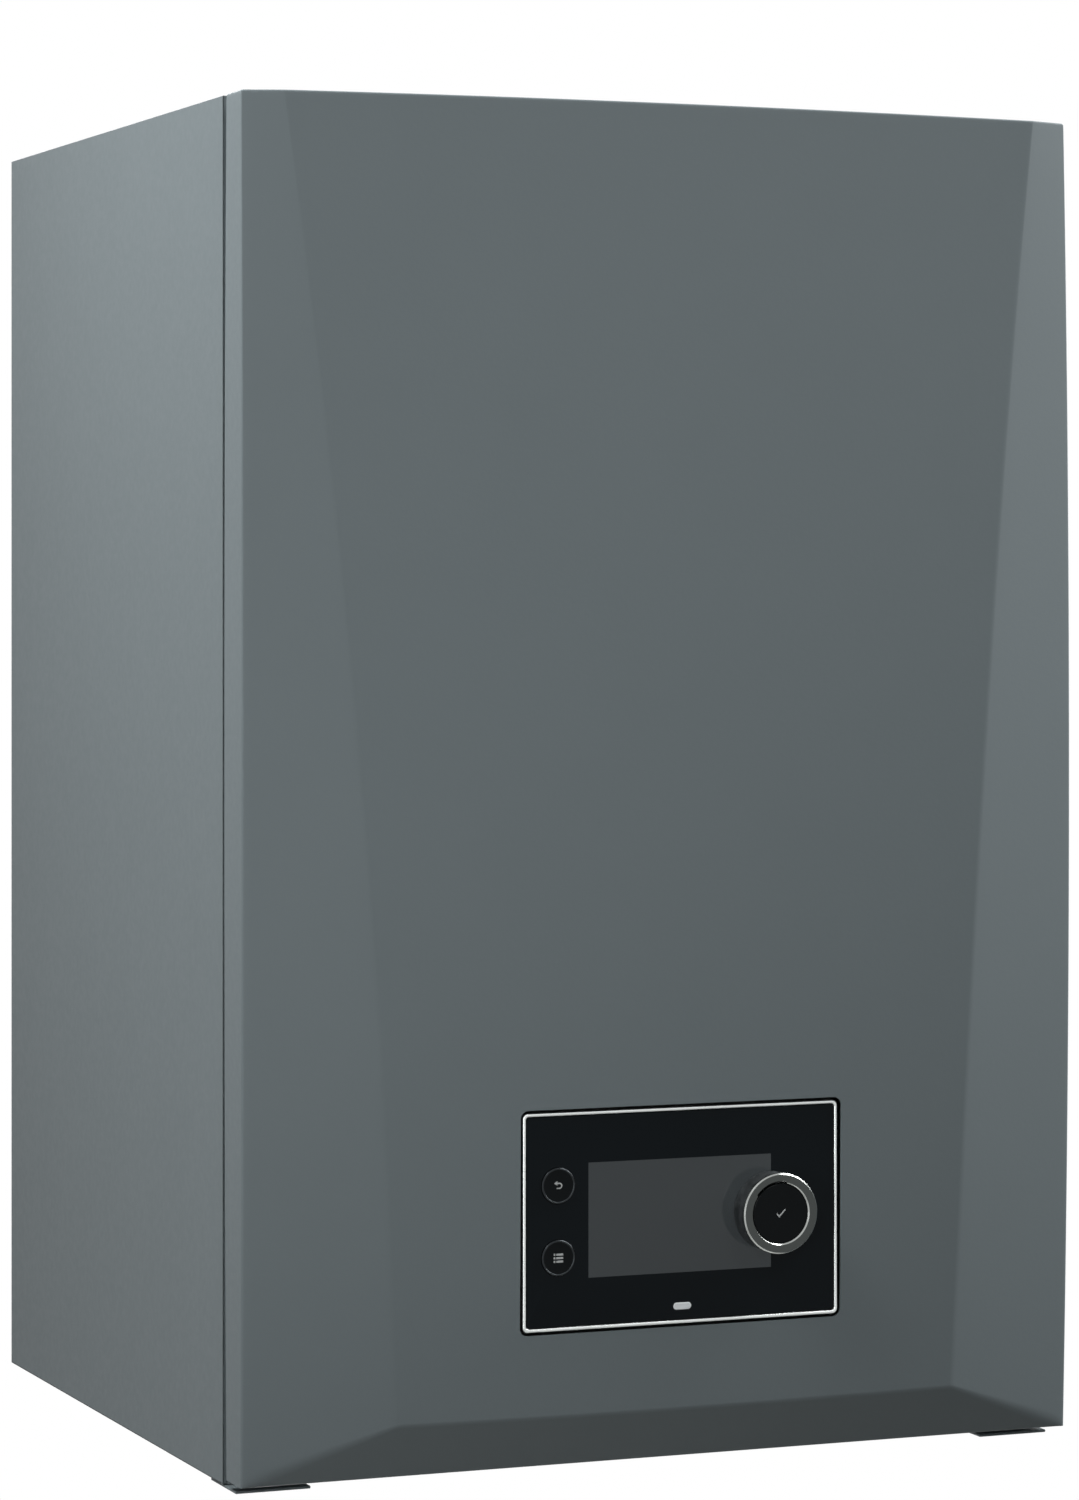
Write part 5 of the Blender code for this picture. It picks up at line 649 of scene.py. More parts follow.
def cover_columns():
    """All columns from left to right. The creases are rounded over five of them."""
    own = sizes()
    facet, middle = own.crease_inset, own.cover_width / 2 - own.crease_inset
    outer = [2, 2 - own.rim_radius / facet, 2 - 2.5 * own.rim_radius / facet]
    outer += [2 - i / 8 for i in range(1, 8)]
    places = (1 + own.crease_radius / facet, 1, 1 - own.crease_radius / middle)
    sides = []
    for sign in (-1, 1):
        trio = [cover_column(sign * place) for place in places]
        crease = [[curve(a, b, c, i / 4) for a, b, c in zip(*trio)] for i in range(5)]
        sides.append([cover_column(sign * place) for place in outer] + crease)
    return sides[0] + [cover_column(-1 + i / 10) for i in range(1, 20)] + sides[1][::-1]


def front_cover_form():
    """The skin of the cover inside its rim, and round it the rim's rounding and the return flange."""
    own, form = sizes(), bmesh.new()
    grid = cover_columns()
    inner = [[form.verts.new(point) for point in column[1:-1]] for column in grid[1:-1]]
    for left, right in zip(inner, inner[1:]):
        for i in range(len(left) - 1):
            form.faces.new((left[i], right[i], right[i + 1], left[i + 1]))
    wide, tall = len(grid), len(grid[0])
    round_trip = [(i, 0) for i in range(1, wide - 1)] + [(wide - 1, k) for k in range(1, tall - 1)]
    round_trip += [(i, tall - 1) for i in range(wide - 2, 0, -1)] + [(0, k) for k in range(tall - 2, 0, -1)]
    loop, rim = [], []
    for i, k in round_trip:
        vert = inner[min(max(i, 1), wide - 2) - 1][min(max(k, 1), tall - 2) - 1]
        if loop and vert is loop[-1]:
            rim[-1] = grid[0 if i < wide / 2 else -1][0 if k < tall / 2 else -1]
        else:
            loop.append(vert)
            rim.append(grid[i][k])
    if loop[0] is loop[-1]:
        loop.pop()
        rim[0] = grid[0][0]
        rim.pop()
    points = [point.copy() for point in rim]
    for n, point in enumerate(rim):
        if point in (grid[0][-1], grid[-1][-1]):
            points[n] = point / 2 + (rim[n - 1] + rim[(n + 1) % len(rim)]) / 4
    back = Vector((0, own.rim_radius, 0))
    starts = [vert.co.copy() for vert in loop]
    layers = [[curve(start, point, point + back, t) for start, point in zip(starts, points)]
              for t in (0.25, 0.5, 0.75, 1)]
    layers.append([Vector((point.x, own.cover_return - own.rim, point.z)) for point in points])
    for layer in layers:
        ring = [form.verts.new(point) for point in layer]
        for n in range(len(ring)):
            m = (n + 1) % len(ring)
            form.faces.new((loop[n], loop[m], ring[m], ring[n]))
        loop = ring
    return form


def cut_out(piece, name, form):
    """Takes a form out of a piece, and makes the piece's modifiers part of its mesh."""
    cutter = make_object(name, form)
    cut = piece.modifiers.new(name, "BOOLEAN")
    cut.operation, cut.object, cut.solver = "DIFFERENCE", cutter, "EXACT"
    bpy.context.view_layer.update()
    seen = piece.evaluated_get(bpy.context.evaluated_depsgraph_get())
    mesh = bpy.data.meshes.new_from_object(seen)
    piece.modifiers.clear()
    piece.data = mesh
    bpy.data.objects.remove(cutter)


class BoilerOperator:
    """What the operators share: they can be undone, and are listed in the sidebar."""
    bl_options = {"REGISTER", "UNDO"}


def build_ears():
    """The keyhole ears under the cover and the hems that hang on the casing's hooks."""
    own, form = sizes(), bmesh.new()
    back, sheet = -own.rim + own.cover_return, own.sheet
    screw_y, reach, radius, mouth = -own.rim + 0.045, -own.rim + 0.0535, 0.0064, 0.0034
    for sign in (-1, 1):
        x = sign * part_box("quarter_turn_screw_right")[0].x + sign * 0.007
        start = math.asin(mouth / radius)
        key = [Vector((x + radius * math.sin(a), screw_y + radius * math.cos(a)))
               for a in [start + (2 * math.pi - 2 * start) * i / 20 for i in range(21)]]
        outline = [Vector((x + mouth, reach)), *key, Vector((x - mouth, reach)), Vector((x - 0.012, reach)),
                   Vector((x - 0.012, back - 0.006)), Vector((x + 0.012, back - 0.006)),
                   Vector((x + 0.012, reach))]
        z = own.cover_lift + FOOT
        add_layers(form, [[Vector((p.x, p.y, z)) for p in outline],
                          [Vector((p.x, p.y, z + sheet)) for p in outline]])
        hem = sign * 0.150
        add_box(form, (hem - 0.035, back - sheet, 0.7444 + FOOT), (hem + 0.035, back, 0.7494 + FOOT))
    wrap("front_cover_ears", form, "front_cover", "paint")


class BOILER_OT_front_cover(BoilerOperator, bpy.types.Operator):
    """Builds the pressed front cover with its creases, rim, display opening and ears"""
    bl_idname = "boiler.front_cover"
    bl_label = "Front Cover"

    def execute(self, context):
        own = sizes()
        cover = make_object("front_cover_shown", front_cover_form(), faces_front=True)
        cover.data.materials.append(finishes()["paint"][1])
        cover.data.shade_smooth()
        wall = cover.modifiers.new("Sheet", "SOLIDIFY")
        wall.thickness, wall.offset = own.sheet, -1
        low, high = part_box("hmi_frame")
        gap, corner, ahead, behind = 0.0016, 0.003, 0.04, 0.004
        opening = bmesh.new()
        outline = rounded_outline((high.x - low.x) / 2 + gap, (high.z - low.z) / 2 + gap, corner + gap, 8)
        add_prism(opening, outline, -own.rim - ahead, -own.rim + behind, (0, (low.z + high.z) / 2))
        cut_out(cover, "display_opening", opening)
        settle(cover, "front_cover", "anthracite_paint", "front_cover", angle=30)
        build_ears()
        return {"FINISHED"}


class BOILER_OT_casing(BoilerOperator, bpy.types.Operator):
    """Builds the folded side panels and dresses the other sheets of the casing"""
    bl_idname = "boiler.casing"
    bl_label = "Casing"

    def execute(self, context):
        own = sizes()
        front, sheet, gap, fold = -own.rim + 0.0355, 0.0012, 0.0048, 0.0005
        lip_x = own.cover_width / 2 - own.sheet - gap
        lip_low = own.cover_lift + own.sheet + gap
        lip_high = own.cover_lift + own.cover_height - own.sheet - gap
        for side, sign in (("left", -1), ("right", 1)):
            node = f"{side}_side_panel"
            low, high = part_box(node)
            half = max(abs(low.x), abs(high.x))
            form = bmesh.new()
            add_box(form, (sign * (half - sheet), front, FOOT), (sign * half, high.y, HEAD), fold)
            add_box(form, (sign * (half - 0.018), high.y - sheet, FOOT), (sign * half, high.y, HEAD), fold)
            add_box(form, (sign * (half - 0.030), front, FOOT), (sign * half, high.y, FOOT + sheet), fold)
            add_box(form, (sign * (lip_x - sheet), front, FOOT), (sign * half, front + sheet, HEAD), fold)
            add_box(form, (sign * (lip_x - sheet), -own.rim + 0.010, FOOT + lip_low),
                    (sign * lip_x, front + sheet, FOOT + lip_high), fold)
            dress(node, form, "paint")
            tab = bmesh.new()
            low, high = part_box(f"cover_tab_{side}")
            add_box(tab, low, high, fold)
            dress(f"cover_tab_{side}", tab, "paint")
        return {"FINISHED"}


def build_frame():
    """A crowned satin ring, so that its front catches a line of light."""
    low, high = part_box("hmi_frame")
    half, tall, line, corner = (high.x - low.x) / 2, (high.z - low.z) / 2, 0.0023, 0.003
    profile = [(0, 0.0011), (0.0002, 0.0005), (0.0006, 0.0001), (0.0010, 0), (line - 0.0010, 0),
               (line - 0.0006, 0.0001), (line - 0.0002, 0.0005), (line, 0.0011), (line, high.y - low.y),
               (0, high.y - low.y)]
    form = bmesh.new()
    add_layers(form, [front_layer(rounded_outline(half - inset, tall - inset, corner - inset * 0.6, 8),
                                  low.y + y, (0, FOOT + sizes().panel_height)) for inset, y in profile],
               closed=True)
    dress("hmi_frame", form, "nickel")


def build_glass():
    """The plate of black glass, with holes for the window, which runs on under the dial, and for the
    buttons.
    """
    own = sizes()
    low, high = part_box("hmi_glass")
    half, tall = (high.x - low.x) / 2, (high.z - low.z) / 2
    form = bmesh.new()
    layers = [(0.0004, 0.0), (0.00012, 0.00008), (0.0, 0.0003), (0.0, high.y - low.y)]
    add_layers(form, [front_layer(rounded_outline(half - inset, tall - inset, 0.0016, 6), low.y + y,
                                  (0, FOOT + sizes().panel_height)) for inset, y in layers])
    glass = dress("hmi_glass", form, "glass")
    holes = bmesh.new()
    add_prism(holes, window_outline(0.00004), low.y - 0.002, high.y + 0.002)
    for sign in (1, -1):
        place = (-own.button_x, 0, FOOT + own.panel_height + sign * own.button_spread)
        add_turned(holes, [(0, -high.y - 0.002), (0.01005, -high.y - 0.002), (0.01005, -low.y + 0.002),
                           (0, -low.y + 0.002)], place, FRONT, 72)
    cut_out(glass, "glass_holes", holes)
    glass.data.set_sharp_from_angle(angle=math.radians(20))


def window_outline(room):
    """The display's outline: a rectangle that ends under the dial."""
    low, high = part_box("display_screen")
    points = [(high.x + room, high.z + room), (low.x - room, high.z + room), (low.x - room, low.z - room),
              (high.x + room, low.z - room)]
    return [Vector(point) for point in points]


def build_window():
    """The window set flush in the glass, with a fine pale edge where its border is cut."""
    front, form = GLASS + 0.00003, bmesh.new()
    layers = ((-0.0001, front), (0, front + 0.0001), (0, GLASS + 0.0024))
    add_layers(form, [front_layer(window_outline(room), y) for room, y in layers])
    wrap("display_window", form, "casing", "display")


def build_button(name, z):
    """A dished cap with a raised polished edge, its collar and its stem."""
    own = sizes()
    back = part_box(name)[1].y
    radius, place = 0.00975, (-own.button_x, GLASS, z)
    form = bmesh.new()
    dish = [(0, 0.00035), (0.004, 0.00037), (0.0075, 0.00045), (0.0087, 0.0006)]
    add_turned(form, dish + [(0.0090, 0.0009), (0.00945, 0.0009), (radius, 0.0006), (radius, -0.0055),
                             (0.0112, -0.0055), (0.0112, -0.0067), (0.003, -0.0067), (0.003, GLASS - back),
                             (0, GLASS - back)], place, FRONT, 72, index=[0, 0, 0, 1, 1, 1] + [0] * 7)
    dress(name, form, "gloss", "rim", body=name)


def build_signs():
    """Generic signs printed on the buttons: an arrow that turns back, and a list."""
    own = sizes()
    middle, front = Vector((-own.button_x, FOOT + own.panel_height + own.button_spread)), GLASS - 0.00037
    outer, inner, form = 0.0017, 0.0010, bmesh.new()
    ring = [Vector((r * math.cos(a), r * math.sin(a))) for r, turn in ((outer, 1), (inner, -1))
            for a in [turn * math.pi / 2 * (1 - i / 6) for i in range(13)]]
    hook = [Vector((-0.0012, outer)), *ring[:13], Vector((-0.0016, -outer)), Vector((-0.0016, -inner)),
            *ring[13:], Vector((-0.0012, inner))]
    add_prism(form, [p + Vector((0.0006, 0)) for p in hook], front - 0.00003, front + 0.0002, middle)
    tip = [Vector((-0.0026, 0.00135)), Vector((-0.0006, 0.0026)), Vector((-0.0006, 0.0001))]
    add_prism(form, tip, front - 0.00003, front + 0.0002, middle)
    wrap("back_sign", form, "back_button", "print")
    form, middle = bmesh.new(), Vector((-own.button_x, FOOT + own.panel_height - own.button_spread))
    for row in (-1, 0, 1):
        for left, right in ((-0.0028, -0.0018), (-0.0012, 0.0028)):
            bar = [Vector((right, 0.00055)), Vector((left, 0.00055)), Vector((left, -0.00055)),
                   Vector((right, -0.00055))]
            add_prism(form, [p + Vector((0, row * 0.0019)) for p in bar], front - 0.00003, front + 0.0002,
                      middle)
    wrap("menu_sign", form, "menu_button", "print")


def build_light():
    """The status light, a rod of opal acrylic with round ends."""
    low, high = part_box("status_light")
    half, tall, form = (high.x - low.x) / 2, 0.0021, bmesh.new()
    layers = [(0.0006, 0), (0.0002, 0.00012), (0, 0.0004), (0, high.y - low.y)]
    add_layers(form, [front_layer(rounded_outline(half - inset, tall - inset, tall - inset - 0.00001, 10),
                                  low.y + y, (0, (low.z + high.z) / 2)) for inset, y in layers])
    dress("status_light", form, "light")


class BOILER_OT_display_panel(BoilerOperator, bpy.types.Operator):
    """Builds the display panel: frame, glass, window, buttons with their signs, and status light"""
    bl_idname = "boiler.display_panel"
    bl_label = "Display Panel"

    def execute(self, context):
        own = sizes()
        build_frame()
        build_glass()
        build_window()
        for name, sign in (("back_button", 1), ("menu_button", -1)):
            build_button(name, FOOT + own.panel_height + sign * own.button_spread)
        build_signs()
        build_light()
        return {"FINISHED"}


class BOILER_OT_dial(BoilerOperator, bpy.types.Operator):
    """Builds the turning ring, its dark skirt, and the cap that is pressed to confirm"""
    bl_idname = "boiler.dial"
    bl_label = "Dial"

    def execute(self, context):
        own = sizes()
        place = Vector((own.dial_x, GLASS, FOOT + own.panel_height))
        low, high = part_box("dial_ring")
        radius, top = (high.x - low.x) / 2, GLASS - low.y
        inner, edge, foot = radius - 0.0056, 0.0007, GLASS - high.y
        form = bmesh.new()
        # outward from the ring's inner wall: inner edge, brushed face, outer edge, skirt, then the hollow
        profile = [(inner, top - 0.0040), (inner, top - edge), (inner + edge, top), (radius - edge, top),
                   (radius, top - edge), (radius, top - 0.0022), (radius - 0.0003, top - 0.0025),
                   (radius - 0.0003, foot + 0.0005), (radius - 0.0006, foot), (radius - 0.0024, foot),
                   (radius - 0.0024, 0.0055), (0.0087, 0.0055), (0.0087, 0.0015), (0.0065, 0.0015),
                   (0.0065, 0.0080), (inner, 0.0080)]
        rings = add_turned(form, profile, place, FRONT, 144, closed=True,
                           index=[0, 1, 0, 1, 1] + [2] * 11)
        # a shallow hollow in the ring's inner edge, from the top to the upper left
        hollow_from, hollow_to, hollow_depth = 78, 144, 0.0008
        for ring in rings[:3]:
            for vert in ring:
                across = vert.co - place
                if hollow_from <= math.degrees(math.atan2(across.z, across.x)) <= hollow_to:
                    vert.co += Vector((across.x, 0, across.z)).normalized() * hollow_depth
        dress("dial_ring", form, "gunmetal", "edge", "skirt", body="dial_ring")
        low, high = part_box("confirm_button")
        cap, form = (high.x - low.x) / 2, bmesh.new()
        front = GLASS - low.y
        add_turned(form, [(0, front - 0.0003), (cap * 0.7, front - 0.00022), (cap - 0.0006, front),
                          (cap, front - 0.0004), (cap, front - 0.0036), (0.0033, front - 0.0036),
                          (0.0033, GLASS - high.y), (0, GLASS - high.y)], place, FRONT, 96)
        dress("confirm_button", form, "gloss", body="confirm_button")
        tick = [(-0.0026, -0.0002), (-0.0020, 0.0003), (-0.0008, -0.0010), (0.0024, 0.0024),
                (0.0029, 0.0019), (-0.0008, -0.0022)]
        form = bmesh.new()
        add_prism(form, [Vector(p) for p in tick], low.y + 0.0002, low.y + 0.0005, (place.x, place.z))
        wrap("confirm_sign", form, "confirm_button", "print")
        return {"FINISHED"}


PIPE_Y = -0.150                     # plane of the pipes' lower ends
BURNER_Y = -0.2675                  # middle of the heat exchanger and burner
FAN = Vector((-0.085, -0.3135))     # the fan's axis
FLUE_Y = -0.115                     # the flue's axis


def build_pipe(node, finish, nut, radius, *corners):
    """A bent pipe, its union nut with the compression ring above, and the plug it is delivered with."""
    form = bmesh.new()
    x, y = corners[-1]
    route = round_route([at(*corner) for corner in corners[:-1]] + [at(x, y, -0.038)], 0.026, 12)
    add_tube(form, route, radius, 48)
    add_nut(form, at(x, y, -0.039), UP, radius + 0.009, 0.0145, 1)
    ring = [(radius + 0.0055, 0), (radius + 0.0055, 0.0025), (radius + 0.0045, 0.0035),
            (radius - 0.001, 0.0038)]
    add_turned(form, [(0, 0), *ring], at(x, y, -0.0245), steps=48, index=1)
    plug = [(0, 0.0028), (radius, 0.0028), (radius + 0.0003, 0.0024), (radius + 0.0003, 0.0005),
            (radius - 0.0003, 0), (radius - 0.003, 0), (radius - 0.004, 0.0010), (0, 0.0010)]
    add_turned(form, plug, at(x, y, -0.042), steps=48, index=2)
    dress(node, form, finish, nut, "black")


class BOILER_OT_pipework(BoilerOperator, bpy.types.Operator):
    """Builds the gas, flow, return and condensate pipes with their union nuts and closing plugs"""
    bl_idname = "boiler.pipework"
    bl_label = "Pipework"

    def execute(self, context):
        build_pipe("gas_pipe", "stainless", "brass", 0.013, (-0.178, -0.345, 0.3997),
                   (-0.178, -0.345, 0.3337), (-0.135, PIPE_Y, 0.2817), (-0.135, PIPE_Y))
        build_pipe("flow_pipe", "copper", "brass", 0.016, (0.1163, BURNER_Y, 0.485),
                   (0.185, BURNER_Y, 0.485), (0.185, BURNER_Y, 0.303), (0.185, PIPE_Y, 0.225),
                   (0.185, PIPE_Y))
        build_pipe("return_pipe", "copper", "brass", 0.016, (0.1163, BURNER_Y, 0.225),
                   (0.155, BURNER_Y, 0.225), (0.155, BURNER_Y, 0.123), (0.100, PIPE_Y, 0.062),
                   (0.100, PIPE_Y))
        build_pipe("condensate_pipe", "flue", "flue", 0.012, (-0.050, -0.2697, 0.070),
                   (-0.050, -0.186, 0.070), (-0.062, PIPE_Y, 0.0353), (-0.062, PIPE_Y))
        return {"FINISHED"}


def build_vent():
    """A float chamber on a threaded neck and a hexagon, with a black knurled cap."""
    form, place = bmesh.new(), at(0.1505, BURNER_Y, 0.5013)
    add_turned(form, [(0, 0), (0.008, 0), (0.008, 0.010), (0, 0.010)], place, steps=40)
    add_nut(form, place + UP * 0.006, UP, 0.0125, 0.006)
    add_turned(form, [(0, 0.0125), (0.0085, 0.0125), (0.0100, 0.0150), (0.0150, 0.0175), (0.0160, 0.0190),
                      (0.0160, 0.0300), (0.0155, 0.0304), (0.0155, 0.0316), (0.0160, 0.0320),
                      (0.0160, 0.0460), (0.0150, 0.0500), (0.0120, 0.0520), (0, 0.0520)], place, steps=56)
    add_grip(form, place, ((0.0056, 0.0518), (0.0060, 0.0524), (0.0060, 0.0592), (0.0052, 0.0600)), 72,
             0.0004, 1)
    dress("air_vent", form, "brass", "black")


def build_safety_valve():
    form, back = bmesh.new(), at(0.185, -0.1663, 0.160)
    add_turned(form, [(0, 0), (0.0075, 0), (0.0075, 0.007), (0, 0.007)], back, FRONT, 40)
    add_nut(form, back + FRONT * 0.005, FRONT, 0.012, 0.007)
    add_turned(form, [(0, 0.0115), (0.0095, 0.0115), (0.0115, 0.0140), (0.0120, 0.0160), (0.0120, 0.0300),
                      (0.0112, 0.0320), (0.0085, 0.0335), (0.0085, 0.0360), (0, 0.0360)], back, FRONT, 48)
    middle = back + FRONT * 0.018
    add_turned(form, [(0, 0.008), (0.0070, 0.008), (0.0070, 0.013), (0.0080, 0.014), (0.0080, 0.0232),
                      (0.0074, 0.0240), (0.0056, 0.0240), (0.0050, 0.0180), (0, 0.0180)], middle,
               (0, 0, -1), 40)
    dress("safety_valve", form, "brass")


def build_valve_knob():
    """A red cap with six scallops, a dished front and a raised bar to read its place by."""
    form, back = bmesh.new(), at(0.185, -0.2026, 0.160)
    layers = []
    for inset, rise in ((0.0012, 0), (0.0003, 0.0003), (0, 0.0010), (0, 0.0100), (0.0004, 0.0114),
                        (0.0014, 0.0120), (0.0050, 0.0120), (0.0062, 0.0112)):
        layer = []
        for i in range(144):
            angle = math.pi * i / 72
            dent = 0.0036 * ((1 + math.cos(6 * angle)) / 2) ** 2 * max(0, 1 - inset / 0.0062)
            layer.append(back + Vector(((0.0160 - inset - dent) * math.cos(angle), -rise,
                                        (0.0160 - inset - dent) * math.sin(angle))))
        layers.append(layer)
    add_layers(form, layers)
    add_slab(form, 0.0014, 0.0070, 0.0013, 0.0016, back + FRONT * 0.0104, FRONT, 0.0004)
    dress("safety_valve_knob", form, "red", body="safety_valve_knob")


def build_pressure_sensor():
    form, back = bmesh.new(), at(0.100, -0.1663, 0.022)
    add_nut(form, back, FRONT, 0.0090, 0.0093)
    add_turned(form, [(0, 0.009), (0.0066, 0.009), (0.0072, 0.0098), (0.0072, 0.0200), (0.0064, 0.0208),
                      (0, 0.0208)], back, FRONT, 40, index=1)
    add_slab(form, 0.0048, 0.0036, 0.0010, 0.0075, back + FRONT * 0.0205, FRONT, 0.0005, 2)
    dress("pressure_sensor", form, "brass", "stainless", "black")


def build_flow_sensor():
    form, middle = bmesh.new(), at(0.185, PIPE_Y, 0.109)
    add_turned(form, [(0.0163, 0), (0.0163, 0.012), (0.0187, 0.012), (0.0193, 0.0114), (0.0193, 0.0006),
                      (0.0187, 0)], middle, steps=56, closed=True)
    add_slab(form, 0.0070, 0.0058, 0.0010, 0.0165, middle + Vector((0, -0.0168, 0.006)), FRONT, 0.0008)
    dress("flow_sensor", form, "black")


def build_gland(side, sign):
    """A gland with its hexagon and domed cap below, its lock nut above, and a rubber insert."""
    form, place = bmesh.new(), at(sign * 0.035, -0.060, 0)
    add_turned(form, [(0, 0.011), (0.0078, 0.011), (0.0085, 0.0104), (0.0085, -0.0050), (0, -0.0050)],
               place, steps=48)
    add_nut(form, place + UP * 0.0030, UP, 0.0125, 0.0040)
    add_nut(form, place + UP * -0.0060, UP, 0.0125, 0.0072)
    add_turned(form, [(0, -0.0058), (0.0105, -0.0058), (0.0105, -0.0085), (0.0098, -0.0108),
                      (0.0085, -0.0120), (0.0062, -0.0120), (0.0060, -0.0112)], place, steps=48)
    add_turned(form, [(0.0061, -0.0113), (0.0012, -0.0108), (0.0008, -0.0098), (0, -0.0098)], place,
               steps=48, index=1)
    dress(f"cable_gland_{side}", form, "black", "rubber")


class BOILER_OT_fittings(BoilerOperator, bpy.types.Operator):
    """Builds the air vent, safety valve and knob, the two sensors and the cable glands"""
    bl_idname = "boiler.fittings"
    bl_label = "Fittings"

    def execute(self, context):
        build_vent()
        build_safety_valve()
        build_valve_knob()
        build_pressure_sensor()
        build_flow_sensor()
        for side, sign in (("left", -1), ("right", 1)):
            build_gland(side, sign)
        return {"FINISHED"}


def build_hatch():
    form, middle = bmesh.new(), at(0, -0.3603, 0.258)
    add_slab(form, 0.060, 0.035, 0.006, 0.006, middle, FRONT, 0.0010)
    add_slab(form, 0.040, 0.020, 0.004, 0.0022, middle + FRONT * 0.0055, FRONT, 0.0010)
    for x in (-0.051, 0.051):
        for z in (-0.026, 0.026):
            add_bolt(form, middle + Vector((x, -0.006, z)), FRONT, 0.0052, 0.005, 1)
    dress("cleaning_cover", form, "cast", "zinc")


def build_door():
    """The burner door with stiffening ribs, its flared neck, the sight glass and four bolts."""
    form, middle = bmesh.new(), at(0, BURNER_Y, 0.5265)
    add_slab(form, 0.104, 0.0865, 0.012, 0.012, middle, edge=0.0015)
    add_turned(form, [(0, 0.011), (0.038, 0.011), (0.0335, 0.0135), (0.0310, 0.0180), (0.0300, 0.0260),
                      (0.0300, 0.0660), (0.0322, 0.0672), (0.0322, 0.0712), (0.0314, 0.0720), (0, 0.0720)],
               middle, steps=64)
    for angle in (35, 145, 215, 325):
        ray = Vector((math.cos(math.radians(angle)), math.sin(math.radians(angle)), 0))
        add_beam(form, middle + ray * 0.030 + UP * 0.0115, middle + ray * 0.088 + UP * 0.0115, 0.005,
                 0.0045)
    sight = middle + Vector((-0.060, 0, 0.0115))
    add_turned(form, [(0, 0), (0.012, 0), (0.012, 0.0095), (0.0112, 0.0105), (0.0080, 0.0105),
                      (0.0074, 0.0085)], sight, steps=48, index=1)
    add_turned(form, [(0.0075, 0.0088), (0, 0.0088)], sight, steps=48, index=2)
    for x in (-0.095, 0.095):
        for y in (-0.0775, 0.0775):
            add_bolt(form, middle + Vector((x, y, 0.012)), UP, 0.0052, 0.005, 3)
    dress("burner_cover", form, "cast", "brass", "glass", "zinc")


def build_burner():
    """The burner cup with rings of fine ports pressed in its skin."""
    form, top = bmesh.new(), at(0, BURNER_Y, 0.5262)
    skin = [(0.0305, 0), (0.0355, 0), (0.0355, -0.0015), (0.0320, -0.0018)]
    for i in range(14):
        low = -0.010 - i * 0.008
        skin += [(0.0320, low), (0.0314, low - 0.001), (0.0314, low - 0.003), (0.0320, low - 0.004)]
    skin += [(0.0320, -0.1225), (0.0312, -0.1250), (0, -0.1250)]
    add_turned(form, [(0, -0.1235), (0.0305, -0.1235), *skin], top, steps=64)
    dress("burner_tube", form, "stainless")


def build_electrode():
    form, place = bmesh.new(), at(0.056, BURNER_Y, 0)
    ribs = [(r, 0.5430 + 0.004 * i + d) for i in range(4)
            for r, d in ((0.0060, 0), (0.0060, 0.0022), (0.0052, 0.0026), (0.0052, 0.0036))]
    add_turned(form, [(0, 0.5015), (0.0054, 0.5015), (0.0060, 0.5022), (0.0060, 0.5388), (0.0072, 0.5388),
                      (0.0072, 0.5400), (0.0060, 0.5402), *ribs, (0.0052, 0.5630), (0.0044, 0.5645),
                      (0, 0.5645)], place, steps=40)
    add_turned(form, [(0, 0.5640), (0.0019, 0.5640), (0.0019, 0.5675), (0.0013, 0.5685), (0, 0.5685)],
               place, steps=24, index=1)
    add_turned(form, [(0, 0.5020), (0.0013, 0.5020), (0.0013, 0.4468), (0, 0.4465)], place, steps=20,
               index=1)
    dress("ignition_electrode", form, "ceramic", "stainless")


class BOILER_OT_exchanger(BoilerOperator, bpy.types.Operator):
    """Builds the cast heat exchanger, its cleaning hatch, the burner door, the burner and the electrode"""
    bl_idname = "boiler.exchanger"
    bl_label = "Heat Exchanger"

    def execute(self, context):
        form = bmesh.new()
        add_slab(form, 0.110, 0.0925, 0.006, 0.335, at(0, BURNER_Y, 0.188), edge=0.0015)
        for i in range(1, 8):
            height = 0.188 + i * 0.335 / 8
            if abs(height - 0.258) > 0.041:
                add_box(form, at(-0.098, -0.3655, height - 0.003), at(0.098, -0.358, height + 0.003),
                        0.0014)
        for height in (0.225, 0.485):
            add_turned(form, [(0, -0.002), (0.020, -0.002), (0.020, 0.0045), (0.0188, 0.006), (0, 0.006)],
                       at(0.110, BURNER_Y, height), (1, 0, 0), 56)
        dress("heat_exchanger", form, "cast")
        build_hatch()
        build_door()
        build_burner()
        build_electrode()
        return {"FINISHED"}


